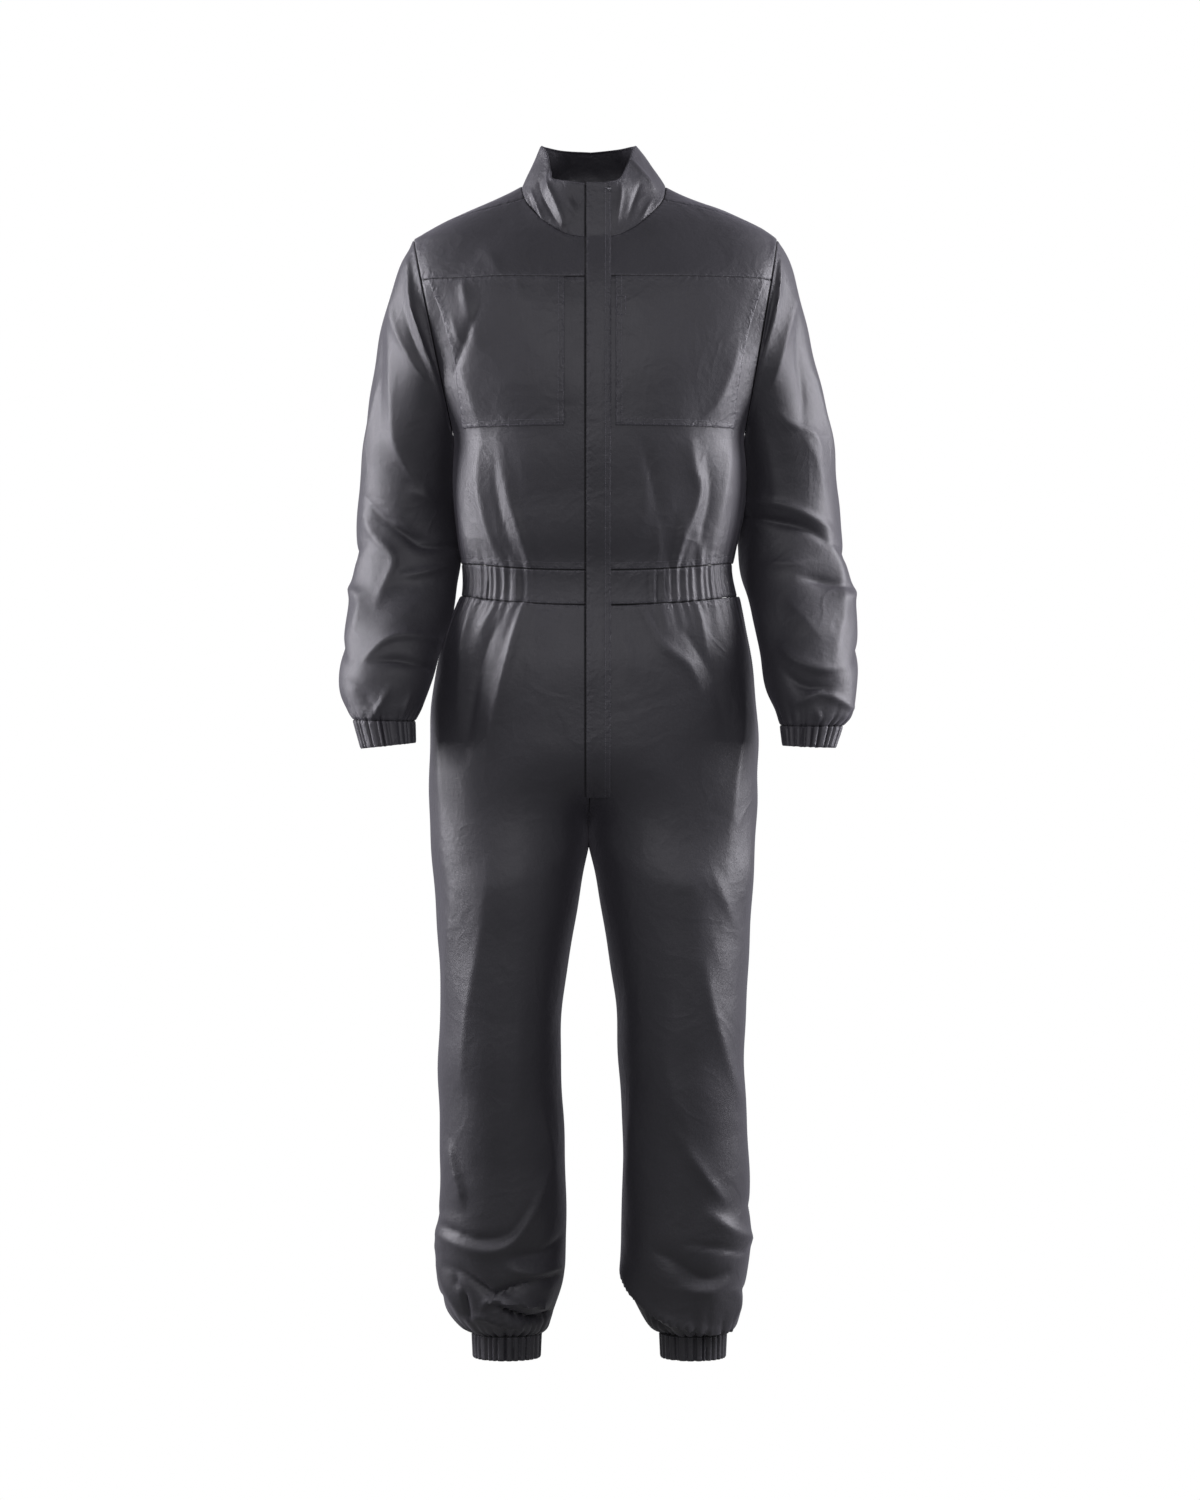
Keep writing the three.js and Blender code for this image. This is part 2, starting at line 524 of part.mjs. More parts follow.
/** Front yoke, between the collar, the shoulder seam, the armhole and the chest seam. */
function frontYoke(side) {
  const edge = side === 'right' ? -ZIP.edge : ZIP.edge;
  const seamZ = YOKE_SEAM.front + SEAM / 2;
  const top = neckTurns().slice(0, NECK_STEPS.front + 1).map((turn) => neckPoint(side, turn))
    .concat(range(NECK_STEPS.shoulder).slice(1).map((t) => shoulderSeam(side, t)));
  const columns = NECK_STEPS.front + NECK_STEPS.shoulder;
  const bottom = range(columns).map((t) => sectionPoint(side, 'front', t, seamZ, Math.abs(edge)));
  const rows = 5;
  const start = range(rows).map((t) => bottom[0].clone().lerp(top[0], t));
  const grid = fillBetween(bottom, top, start, armholeEdge(side, 'front', seamZ, rows));
  const placed = grid.map((row, j) => row.map((p, i) => (
    j > 0 && (j === rows || i === columns) ? p : ontoBody(p))));
  return piece(`front_yoke_${side}`, placed, bodyNormals(placed), MATERIAL.body);
}

/** Back yoke: from the back seam over the shoulders to the two shoulder seams and the back of the neck. */
function backYoke() {
  const seamZ = YOKE_SEAM.back + SEAM / 2;
  const overSeam = (p) => p.add(new THREE.Vector3(0, SEAM * 0.6, SEAM * 0.8));
  const half = (side) => range(NECK_STEPS.shoulder).map((t) => shoulderSeam(side, 1 - t)).map(overSeam)
    .concat(neckTurns().slice(NECK_STEPS.front + 1).map((turn) => neckPoint(side, turn)));
  const top = half('right').concat(half('left').reverse().slice(1));
  const steps = NECK_STEPS.shoulder + NECK_STEPS.back;
  const backHalf = (side) => range(steps).map((t) => sectionPoint(side, 'back', 1 - t, seamZ));
  const bottom = backHalf('right').concat(backHalf('left').reverse().slice(1));
  const rows = 7;
  const start = armholeEdge('right', 'back', seamZ, rows);
  const end = armholeEdge('left', 'back', seamZ, rows);
  start[rows] = top[0];
  end[rows] = top.at(-1);
  const grid = fillBetween(bottom, top, start, end);
  const last = top.length - 1;
  const placed = grid.map((row, j) => row.map((p, i) => (
    j === rows || i === 0 || i === last ? p : ontoBody(p))));
  return piece('back_yoke', placed, bodyNormals(placed), MATERIAL.body);
}

/** Distance from the middle of the outer edge of a chest pocket at a height. */
function pocketReach(side, z) {
  const low = halfWidth(side, 'front', Math.min(z, ARMPIT.z)) * POCKET.outerShare;
  const share = clamp((z - ARMPIT.z) / (YOKE_SEAM.front - ARMPIT.z), 0, 1);
  return lerp(low, armholeX(side, z) - POCKET.fromArmhole, share);
}

/** Grid of a chest front, with columns on the pocket's two edges and a row on its lower edge. */
function frontGrid(side) {
  const topZ = YOKE_SEAM.front - SEAM / 2;
  const inner = POCKET.inner[side];
  const upper = range(PANEL.pocketRows).map((t) => lerp(topZ, POCKET.bottomZ, t));
  const lower = range(PANEL.lowerRows).slice(1);
  const angles = (z) => {
    const from = sectionAngle(side, 'front', inner, z);
    const to = sectionAngle(side, 'front', pocketReach(side, z), z);
    const pocket = range(PANEL.pocketColumns).map((t) => lerp(from, to, t));
    const end = sideAngle(side, 'front', z);
    return [sectionAngle(side, 'front', ZIP.edge, z), ...pocket, end];
  };
  const columns = PANEL.pocketColumns + 2;
  const bottom = range(columns).map((u) => waistLevel(WAIST_TOP, 'front', u) + SEAM / 2);
  const rows = upper.map((z) => bottom.map(() => z));
  lower.forEach((t) => rows.push(bottom.map((z) => lerp(POCKET.bottomZ, z, t))));
  return rows.map((row) => row.map((z, i) => sectionAt(side, 'front', angles(z)[i], z)));
}

/** Chest front from the zip to the side seam, and the patch pocket that lies on it. */
function frontWithPocket(side) {
  const grid = frontGrid(side);
  const normals = bodyNormals(grid);
  const pocketGrid = (rows) => rows.slice(0, PANEL.pocketRows + 1)
    .map((row) => row.slice(1, PANEL.pocketColumns + 2).map((item) => item.clone()));
  const pocket = piece(`chest_pocket_${side}`, pocketGrid(grid), pocketGrid(normals), MATERIAL.body,
    { wall: BAND_WALL, lift: BAND_WALL + LAYER_LIFT, height: bodyFolds });
  grid.forEach((row) => { row.at(-1).y -= SEAM / 2; });
  return [piece(`front_${side}`, grid, normals, MATERIAL.body, { height: bodyFolds }), pocket];
}

/** Back of the body, in one piece from side seam to side seam. */
function backPanel() {
  const topZ = YOKE_SEAM.back - SEAM / 2;
  const half = (side) => range(PANEL.backRows).map((v) => range(PANEL.backColumns).map((u) => {
    const bottomZ = waistLevel(WAIST_TOP, 'back', u) + SEAM / 2;
    return sectionPoint(side, 'back', u, lerp(topZ, bottomZ, v));
  }));
  const left = half('left');
  const grid = half('right').map((row, j) => row.slice().reverse().concat(left[j].slice(1)));
  grid.forEach((row) => [row[0], row.at(-1)].forEach((p) => { p.y += SEAM / 2; }));
  return piece('back', grid, bodyNormals(grid), MATERIAL.body, { height: bodyFolds });
}

/** Elastic waistband: plain at the front, gathered at the sides and round the back. */
function waistband(side, face) {
  const plain = face === 'front' ? 3 : 0;
  const gathers = face === 'front' ? GATHER.waistFront : GATHER.waistBack;
  const startTurn = face === 'front' ? 0.31 : 0;
  const turns = plain ? range(plain).map((t) => t * startTurn) : [0];
  range(gathers * 2).slice(1).forEach((t) => turns.push(lerp(startTurn, 1, t)));
  const startX = face === 'front' ? ZIP.edge : 0;
  const lines = [WAIST_TOP, WAIST_SEAM];
  const grid = range(2).map((v) => turns.map((u) => {
    const top = waistLevel(lines[0], face, u) - SEAM / 2;
    const bottom = waistLevel(lines[1], face, u) + SEAM / 2;
    return sectionPoint(side, face, u, lerp(top, bottom, v), startX);
  }));
  const seamGap = face === 'front' ? -SEAM / 2 : SEAM / 2;
  grid.forEach((row) => { row.at(-1).y += seamGap; });
  const wave = (i) => {
    if (i <= plain || i === turns.length - 1) return 0;
    return (i - plain) % 2 ? GATHER.depth : -GATHER.depth;
  };
  return { grid, wave };
}

function frontWaistband(side) {
  const { grid, wave } = waistband(side, 'front');
  const options = { wall: BAND_WALL, height: wave };
  return piece(`waistband_front_${side}`, grid, bodyNormals(grid), MATERIAL.band, options);
}

function backWaistband() {
  const right = waistband('right', 'back');
  const left = waistband('left', 'back');
  const grid = right.grid.map((row, j) => row.slice().reverse().concat(left.grid[j].slice(1)));
  const middle = right.grid[0].length - 1;
  const height = (i) => right.wave(Math.abs(i - middle));
  return piece('waistband_back', grid, bodyNormals(grid), MATERIAL.band, { wall: BAND_WALL, height });
}

/** Surface of one face of a leg: turn 0 is the centre seam and inseam, turn 1 the side seam. */
function legPoint(side, face, turn, ring) {
  const at = (name) => column(LEG[side], 'ring', name, ring);
  const sign = SIDE_SIGN[side];
  const faceSign = face === 'front' ? -1 : 1;
  const ease = clamp(1 - ring / 3, 0, 1);
  const dip = waistLevel(WAIST_SEAM, face, turn) - WAIST_SEAM.side;
  const z = at('z') + dip * ease * ease;
  const power = 2 / SQUARENESS;
  const quarter = (clamp(turn, -0.05, 1.05) * Math.PI) / 2;
  const seamX = (at('inner') - (side === 'right' ? 3 : -3) * ease) * 0.5;
  const hipX = seamX + (at('outer') - seamX) * signedPower(Math.sin(quarter), power);
  const hipY = at(face) * signedPower(Math.cos(quarter), power);
  const middle = (at('inner') + at('outer')) / 2;
  const half = (at('outer') - at('inner')) / 2;
  const round = 2 / 2.15;
  const legX = middle - half * signedPower(Math.cos(quarter * 2), round);
  const legY = at(face) * signedPower(Math.sin(quarter * 2), round);
  const top = RISE_TOP_Z[face];
  const drop = clamp((top - z) / (top - CROTCH_Z), 0, 1) ** RISE_POWER;
  const y = at('mid') + faceSign * lerp(hipY, legY, drop);
  return new THREE.Vector3(sign * lerp(hipX, legX, drop), y, z);
}

/** Middle of a leg or of the hips at a ring. */
function legMiddle(side, ring) {
  const at = (name) => column(LEG[side], 'ring', name, ring);
  const x = ring < CROTCH_RING ? at('outer') * 0.4 : (at('inner') + at('outer')) / 2;
  return new THREE.Vector3(SIDE_SIGN[side] * x, at('mid'), at('z'));
}

/** One leg panel from the waist seam to the ankle. */
function legPanel(side, face) {
  const columns = range(9);
  const rows = [];
  for (let ring = 0; ring < LEG_RINGS; ring += ring < 12 ? 0.75 : 0.6) rows.push(ring);
  rows.push(LEG_RINGS);
  const surface = (u, ring) => legPoint(side, face, u, ring);
  const grid = rows.map((ring) => columns.map((u) => surface(u, ring)));
  const normals = gridNormals(surface, columns, rows, (ring) => legMiddle(side, ring));
  const gap = (SEAM / 2 + 0.05) * (face === 'front' ? -1 : 1);
  grid.forEach((row, j) => {
    row[0].x += SIDE_SIGN[side] * (rows[j] < CROTCH_RING + 0.5 ? SEAM : 0);
    row[0].y += gap;
    row.at(-1).y += gap;
    row.forEach((p) => { p.z -= j === 0 ? SEAM : 0; });
  });
  const height = (i, j, p, n) => foldHeight(FOLDS[`leg_${side}`], p, n) * clamp(j / 3, 0, 1);
  return piece(`leg_${face}_${side}`, grid, normals, MATERIAL.body, { height });
}

/** Point of an oval ring between its outer and inner points. */
function ovalPoint(side, at, turn) {
  const angle = turn * Math.PI * 2;
  const reach = Math.cos(angle);
  const x = lerp(at('inX'), at('outX'), (1 + reach) / 2);
  const z = lerp(at('inZ'), at('outZ'), (1 + reach) / 2);
  return new THREE.Vector3(SIDE_SIGN[side] * x, at('mid') - at('half') * Math.sin(angle), z);
}

/** One piece of a sleeve from the armhole to the cuff, between two turns of the sleeve's ovals. */
function sleevePanel(side, part) {
  const { from, to } = SLEEVE_PANEL[part];
  const turns = range(Math.round((to - from) * SLEEVE_COLUMNS)).map((t) => lerp(from, to, t));
  const rows = range(20).map((t) => t * SLEEVE_RINGS);
  const at = (ring) => (name) => column(SLEEVE[side], 'ring', name, clamp(ring, 0, SLEEVE_RINGS));
  const surface = (u, ring) => ovalPoint(side, at(ring), u);
  const grid = rows.map((ring) => turns.map((u) => surface(u, ring)));
  const middleOf = (ring) => new THREE.Vector3(
    (SIDE_SIGN[side] * (at(ring)('inX') + at(ring)('outX'))) / 2, at(ring)('mid'),
    (at(ring)('inZ') + at(ring)('outZ')) / 2);
  const normals = gridNormals(surface, turns, rows, middleOf);
  const plane = new THREE.Vector3(SIDE_SIGN[side] * (TIP.z - ARMPIT.z), 0, ARMPIT[side] - TIP[side])
    .normalize();
  normals[0].forEach((n) => n.addScaledVector(plane, -n.dot(plane)).normalize());
  grid[0].forEach((p) => p.addScaledVector(plane, SEAM * 1.5));
  grid.forEach((row) => {
    const first = row[1].clone().sub(row[0]).normalize();
    const last = row.at(-2).clone().sub(row.at(-1)).normalize();
    row[0].addScaledVector(first, SEAM / 2 + 0.05);
    row.at(-1).addScaledVector(last, SEAM / 2 + 0.05);
  });
  const height = (i, j, p, n) => foldHeight(FOLDS[`sleeve_${side}`], p, n) * clamp((20 - j) / 3, 0, 1);
  return piece(`sleeve_${part}_${side}`, grid, normals, MATERIAL.body, { height });
}

/** Gathered band round a wrist or an ankle, from rings that are worked out by a function. */
function gatheredBand(name, gathers, ringPoint, middleOf) {
  const turns = range(gathers * 2).slice(0, gathers * 2);
  const rows = range(2);
  const surface = (u, v) => ringPoint(u, v);
  const grid = rows.map((v) => turns.map((u) => surface(u, v)));
  const normals = gridNormals(surface, turns, rows, middleOf);
  const height = (i) => (i % 2 ? 0 : -GATHER.depth);
  return piece(name, grid, normals, MATERIAL.band, { wall: BAND_WALL, closed: true, height });
}

function wristCuff(side) {
  const start = SLEEVE[side][SLEEVE_RINGS];
  const end = CUFF_END[side];
  const at = (v) => (name) => {
    const drop = name === 'outZ' || name === 'inZ' ? SEAM * 1.6 * (1 - v) : 0;
    return lerp(start[name], end[name], v) - drop;
  };
  const middleOf = (v) => new THREE.Vector3(
    (SIDE_SIGN[side] * (at(v)('inX') + at(v)('outX'))) / 2, at(v)('mid'),
    (at(v)('inZ') + at(v)('outZ')) / 2);
  return gatheredBand(`wrist_cuff_${side}`, GATHER.cuff, (u, v) => ovalPoint(side, at(v), u), middleOf);
}

function ankleCuff(side) {
  const top = LEG[side][LEG_RINGS];
  const middle = (top.inner + top.outer) / 2;
  const middleOf = (v) => new THREE.Vector3(
    SIDE_SIGN[side] * middle, top.mid, lerp(ANKLE.topZ, ANKLE.bottomZ, v));
  const ringPoint = (u, v) => {
    const half = (top.outer - top.inner) / 2 - ANKLE.flare * v;
    const deep = top.front - ANKLE.flare * v;
    const angle = u * Math.PI * 2;
    const p = middleOf(v);
    p.x += SIDE_SIGN[side] * half * Math.cos(angle);
    p.y -= deep * Math.sin(angle);
    return p;
  };
  return gatheredBand(`ankle_cuff_${side}`, GATHER.ankle, ringPoint, middleOf);
}

/** Stand collar: turn runs from the centre front to the centre back, up from the neck seam to the top edge. */
function collarPoint(side, turn, up) {
  const at = (name) => column(COLLAR_TOP[side], 'turn', name, turn);
  const top = new THREE.Vector3(SIDE_SIGN[side] * at('x'), at('y'), at('z'));
  const base = neckPoint(side, turn);
  base.z += 0.5;
  const p = base.lerp(top, up);
  const swell = COLLAR_SWELL * Math.sin(Math.PI * up);
  return p.add(new THREE.Vector3(p.x, p.y, 0).normalize().multiplyScalar(swell));
}

function collar() {
  const turns = neckTurns();
  const rows = range(4);
  const halfGrid = (side) => rows.map((v) => turns.map((t) => collarPoint(side, t, v)));
  const halfNormals = (side) => {
    const surface = (u, v) => collarPoint(side, u, v);
    return gridNormals(surface, turns.map((t) => Math.min(t, NECK_TURNS - 0.01)), rows,
      (v) => new THREE.Vector3(0, 0, v * 50));
  };
  const join = (right, left) => right.map((row, j) => row.concat(left[j].slice().reverse().slice(1)));
  const grid = join(halfGrid('right'), halfGrid('left'));
  const normals = join(halfNormals('right'), halfNormals('left'));
  return piece('collar', grid, normals, MATERIAL.body, { wall: COLLAR_WALL });
}

/** Level of a leg's row where a front point has a distance from the middle and a height. */
function legTurnAndRing(side, x, z) {
  const solve = (low, high, above) => {
    for (let i = 0; i < 24; i += 1) {
      const middle = (low + high) / 2;
      if (above(middle)) low = middle;
      else high = middle;
    }
    return (low + high) / 2;
  };
  let turn = 0;
  let ring = 0;
  for (let i = 0; i < 4; i += 1) {
    ring = solve(0, CROTCH_RING, (at) => legPoint(side, 'front', turn, at).z > z);
    turn = solve(0, 0.5, (at) => SIDE_SIGN[side] * legPoint(side, 'front', at, ring).x < Math.abs(x));
  }
  return { turn, ring };
}

/** Depth of the front at a distance from the middle and a height, from the fly's end up to the collar. */
function frontY(x, z) {
  const side = x < 0 ? 'right' : 'left';
  if (z > NECK[0].z) {
    const up = (z - NECK[0].z) / (COLLAR_TOP.left[0].z - NECK[0].z);
    return collarPoint(side, clamp(Math.abs(x) / 31, 0.1, 1), up).y;
  }
  if (z < WAIST_SEAM.front) {
    const { turn, ring } = legTurnAndRing(side, x, z);
    return legPoint(side, 'front', turn, ring).y;
  }
  return sectionAt(side, 'front', sectionAngle(side, 'front', Math.abs(x), z), z).y;
}

/** Levels of the fronts' rows, from a top down to a bottom: collar, yoke, chest, waistband and legs. */
function frontLevels(topZ, bottomZ) {
  const span = (from, to, steps) => range(steps).slice(1).map((t) => lerp(from, to, t));
  const levels = [COLLAR_TOP.left[0].z, ...span(COLLAR_TOP.left[0].z, NECK[0].z, 4),
    ...span(NECK[0].z, YOKE_SEAM.front, 5), ...span(YOKE_SEAM.front, POCKET.bottomZ, PANEL.pocketRows),
    ...span(POCKET.bottomZ, WAIST_TOP.front, PANEL.lowerRows), ...span(WAIST_TOP.front, WAIST_SEAM.front, 2),
    ...span(WAIST_SEAM.front, bottomZ, 8)];
  return [topZ, ...levels.filter((z) => z < topZ - 5 && z > bottomZ + 5), bottomZ];
}

/** Strip down the front between distances from the middle, level with its foremost or rearmost points. */
function frontStrip(name, xs, levels, choose, lift, wall, material) {
  const forward = new THREE.Vector3(0, -1, 0);
  const grid = levels.map((z) => {
    const y = choose(...xs.map((x) => frontY(x, z)));
    return xs.map((x) => new THREE.Vector3(x, y, z));
  });
  return piece(name, grid, grid.map((row) => row.map(() => forward)), material, { wall, lift });
}

const FLAP_LIFT = BAND_WALL + LAYER_LIFT + 1.1;
const ZIP_LIFT = -(COLLAR_WALL + LAYER_LIFT + 0.4);

function frontFlap() {
  const middle = (FLAP.free + FLAP.sewn) / 2;
  const levels = frontLevels(COLLAR_TOP.left[0].z + 0.5, FLAP.bottomZ);
  return frontStrip('front_flap', [FLAP.free, middle, FLAP.sewn], levels, Math.min, FLAP_LIFT,
    BAND_WALL, MATERIAL.flap);
}

function zipTape() {
  const levels = frontLevels(COLLAR_TOP.left[0].z - 3, ZIP.bottomZ);
  return frontStrip('zip_tape', [-ZIP.half, 0, ZIP.half], levels, Math.max, ZIP_LIFT, 1, MATERIAL.zip);
}

/** A small fitting on the collar's front: it leans back with the collar. */
function collarFitting(name, geometry, x, z, outFromFront, material) {
  const mesh = new THREE.Mesh(geometry, material);
  mesh.name = name;
  mesh.rotation.x = -Math.atan2(frontY(0, z + 5) - frontY(0, z - 5), 10);
  const y = Math.min(...[FLAP.free, 0, FLAP.sewn].map((at) => frontY(at, z)));
  mesh.position.set(x, y - outFromFront, z);
  return mesh;
}

/** Slider of the zip, closed at the top of the fly between the two collar ends. */
function zipSlider() {
  const box = new THREE.BoxGeometry(SLIDER.width, SLIDER.thick, SLIDER.height);
  return collarFitting('zip_slider', box, SLIDER.x, SLIDER.z, -0.7, MATERIAL.metal);
}

/** Small round stud on the flap's sewn edge at the collar. */
function collarStud() {
  const disc = new THREE.CylinderGeometry(STUD.radius, STUD.radius, STUD.thick, 20);
  const out = FLAP_LIFT + LAYER_LIFT + STUD.thick / 2;
  return collarFitting('collar_stud', disc, STUD.x, STUD.z, out, MATERIAL.metal);
}

/** Plain woven tab in the wearer's left side seam. */
function sideLabel() {
  const mesh = new THREE.Mesh(new THREE.BoxGeometry(LABEL.width, LABEL.thick, LABEL.height), MATERIAL.label);
  mesh.name = 'side_label';
  const x = halfWidth('left', 'front', LABEL.z + LABEL.height / 2) + 2 * SEAM + LABEL.width / 2;
  mesh.position.set(x, 0, LABEL.z);
  return mesh;
}

function buildSuit() {
  const suit = new THREE.Group();
  suit.name = 'boiler_suit';
  const sides = ['right', 'left'];
  suit.add(collar(), backYoke(), backPanel(), backWaistband(), frontFlap(), zipTape());
  suit.add(zipSlider(), collarStud(), sideLabel());
  for (const side of sides) {
    suit.add(frontYoke(side), ...frontWithPocket(side), frontWaistband(side));
    suit.add(legPanel(side, 'front'), legPanel(side, 'back'), ankleCuff(side));
    suit.add(sleevePanel(side, 'top'), sleevePanel(side, 'under'), wristCuff(side));
  }
  return suit;
}

export default buildSuit();
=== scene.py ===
"""Boiler suit in dark grey twill, in the hollow shape that it has when it is worn.

The suit has a stand collar, yokes, a zip under a flap, two chest pockets and elastic at the waist, wrists
and ankles. Sizes are millimetres, with +Z up, the front towards -Y and the wearer's left towards +X.
The meshes are written in metres.
"""
from __future__ import annotations

import logging
import math
from dataclasses import dataclass, field
from enum import Enum
from typing import Callable, Sequence

import bpy
import numpy as np
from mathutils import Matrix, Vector


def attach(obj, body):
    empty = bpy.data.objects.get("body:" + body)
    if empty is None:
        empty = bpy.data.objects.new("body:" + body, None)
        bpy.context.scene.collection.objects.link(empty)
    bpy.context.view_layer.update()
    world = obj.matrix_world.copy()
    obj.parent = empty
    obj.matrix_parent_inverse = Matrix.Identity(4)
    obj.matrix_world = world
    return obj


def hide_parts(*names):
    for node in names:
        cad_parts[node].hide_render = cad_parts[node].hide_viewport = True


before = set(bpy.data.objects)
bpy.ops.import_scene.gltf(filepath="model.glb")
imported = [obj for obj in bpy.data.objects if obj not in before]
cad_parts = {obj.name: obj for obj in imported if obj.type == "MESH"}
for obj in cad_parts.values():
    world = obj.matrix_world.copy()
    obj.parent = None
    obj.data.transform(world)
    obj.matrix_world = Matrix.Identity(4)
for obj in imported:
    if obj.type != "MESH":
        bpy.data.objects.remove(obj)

Array = np.ndarray
log = logging.getLogger("boiler_suit")
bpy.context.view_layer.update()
MM = 0.001

# Cloth, seams and camber
WALL = 1.1
COLLAR_WALL = 1.8
SEAM = 0.3
SQUARENESS = 2.4
LEG_SQUARENESS = 2.15
ROLL_DEPTH = 0.9
ROLL_WIDTH = 1.5
TUCK = 1.6

# Shoulders, armholes and the levels of the seams
TIP_X = {"right": 238.0, "left": 242.0}
TIP_Z = -46.0
ARMPIT_X = {"right": 186.5, "left": 199.0}
ARMPIT_Z = -300.0
ARMHOLE_HALF_DEPTH = 78.0
ARMHOLE_MID_Y = 5.0
INNER_POINT_Z = -130.0
YOKE_SEAM = {"front": -105.0, "back": -120.0}
WAIST_TOP = {"front": -486.0, "side": -474.0, "back": -470.0}
WAIST_SEAM = {"front": -531.0, "side": -517.0, "back": -512.0}
CROTCH_Z = -836.0
RISE_TOP_Z = {"front": -690.0, "back": -610.0}
RISE_POWER = 4.0
RISE_FALL = 70.0
SHOULDER_BOW = 13.0

# Fly, pockets and small fittings
FLAP = {"free": -10.4, "sewn": 22.5, "top": 22.0, "bottom": -781.0, "lift": 2.6}
ZIP = {"half": 9.0, "edge": 3.0, "bottom": -702.0}
POCKET = {"inner": {"right": 38.0, "left": 28.0}, "from_armhole": 9.0, "outer_share": 0.92, "bottom": -300.0}
SLIDER = {"x": -4.9, "width": 4.2, "height": 10.0, "thick": 2.8, "z": 6.0}
STUD = {"radius": 3.2, "thick": 1.4, "x": 19.5, "z": 13.5}
LABEL = {"z": -418.0, "height": 10.0, "width": 4.0, "thick": 1.0}


class Side(Enum):
    """Half of the suit, named for the wearer."""

    RIGHT = "right"
    LEFT = "left"

    @property
    def sign(self) -> int:
        """Direction of this half along X."""
        return -1 if self is Side.RIGHT else 1


class Face(Enum):
    """Front or back of a part."""

    FRONT = "front"
    BACK = "back"

    @property
    def sign(self) -> int:
        """Direction of this face along Y."""
        return -1 if self is Face.FRONT else 1


class Edge(Enum):
    """Edge of a grid of cloth: its first or last row or column."""

    TOP = "top"
    BOTTOM = "bottom"
    START = "start"
    END = "end"


class Table:
    """Named columns of numbers, read smoothly by the first one."""

    def __init__(self, names: str, *rows: tuple[float, ...]) -> None:
        """Keeps the rows in rising order of their first column.

        Args:
            names: Column names, parted by spaces.
            rows: One tuple of numbers for each row.
        """
        self.names = names.split()
        table = np.array(rows, float)
        self.rows = table if table[-1, 0] > table[0, 0] else table[::-1]

    def read(self, name: str, at: Array | float) -> Array:
        """Cubic between two rows, with each row's slope taken from its two neighbours.

        Args:
            name: Column to read.
            at: Values of the first column.

        Returns:
            The column's values there.
        """
        keys = self.rows[:, 0]
        values = self.rows[:, self.names.index(name)]
        before = np.maximum(np.arange(len(keys)) - 1, 0)
        after = np.minimum(np.arange(len(keys)) + 1, len(keys) - 1)
        slopes = (values[after] - values[before]) / (keys[after] - keys[before])
        i = np.clip(np.searchsorted(keys, at) - 1, 0, len(keys) - 2)
        span = keys[i + 1] - keys[i]
        t = np.clip((at - keys[i]) / span, 0, 1)
        rise = values[i + 1] - values[i]
        start, end = slopes[i] * span, slopes[i + 1] * span
        return values[i] + t * (start + t * (3 * rise - 2 * start - end + t * (start + end - 2 * rise)))


TORSO = Table(
    "z mid front back right left",
    (60, 8, 5, 30, 40, 40), (44, 7, 8, 52, 56, 56), (30, 6, 14, 66, 84, 84), (20, 5, 26, 76, 104, 104),
    (2, 5, 44, 87, 140, 140), (-20, 5, 62, 97, 190, 190), (-51, 5, 82, 107, 238, 242),
    (-105, 5, 112, 121, 238, 242), (-180, 4, 130, 130, 238, 242), (-240, 3, 136, 130, 210, 220),
    (-300, 2, 136, 126, 186.5, 199), (-350, 0, 132, 120, 184, 197), (-389, 0, 128, 116, 182.5, 194),
    (-440, 0, 122, 112, 178, 186), (-480, 0, 113, 105, 173, 181), (-525, 0, 112, 105, 176, 190),
    (-560, 0, 119, 119, 194, 201), (-601, 0, 125, 134, 206, 207), (-640, 0, 127, 142, 212, 211),
    (-700, 0, 127, 148, 214.5, 214.5), (-785, 0, 124, 146, 216, 215), (-850, 0, 120, 138, 214, 212.5),
)
SHOULDER = Table(
    "z right left",
    (60, 40, 40), (44, 60, 60), (27, 90, 90), (17, 109, 109), (9, 127, 126), (1, 145, 146), (-7, 162, 169),
    (-15, 178, 189), (-23, 195, 208), (-31, 211, 224), (-39, 226, 235), (-46, 238, 242),
)
NECK = Table(
    "turn x y z",
    (0, 0, -78, -51), (1, 31, -75, -48), (2, 57, -64, -36), (3, 78, -46, -18), (4, 91, -26, 1),
    (5, 95, 3, 24), (6, 87, 33, 28), (7, 66, 58, 29), (8, 36, 69, 30), (9, 0, 72, 30),
)
NECK_POINT_TURN = 4.0
NECK_TURNS = 9.0
NECK_START_TURN = ZIP["edge"] / 31
COLLAR_TOP = {
    "right": Table(
        "turn x y z",
        (0, 7.2, -66, 21), (1.5, 34, -63, 25), (2.6, 55, -50, 30), (3.6, 58, -34, 44), (4.6, 62, -12, 68),
        (5.4, 70, 6, 79), (6.4, 64, 28, 80), (7.6, 42, 48, 78), (9, 4, 57, 77),
    ),
    "left": Table(
        "turn x y z",
        (0, -4.7, -66, 21), (1.5, 20, -64, 24), (2.4, 34, -56, 29), (3.4, 42, -36, 46), (4.4, 50, -14, 68),
        (5.2, 55, 4, 79), (6.2, 54, 25, 81.5), (7.6, 33, 49, 80), (9, -4, 57, 77),
    ),
}
COLLAR_SWELL = 2.0
COLLAR_SINK = 1.0
SLEEVE_COLUMNS = "ring out_x out_z in_x in_z mid half"
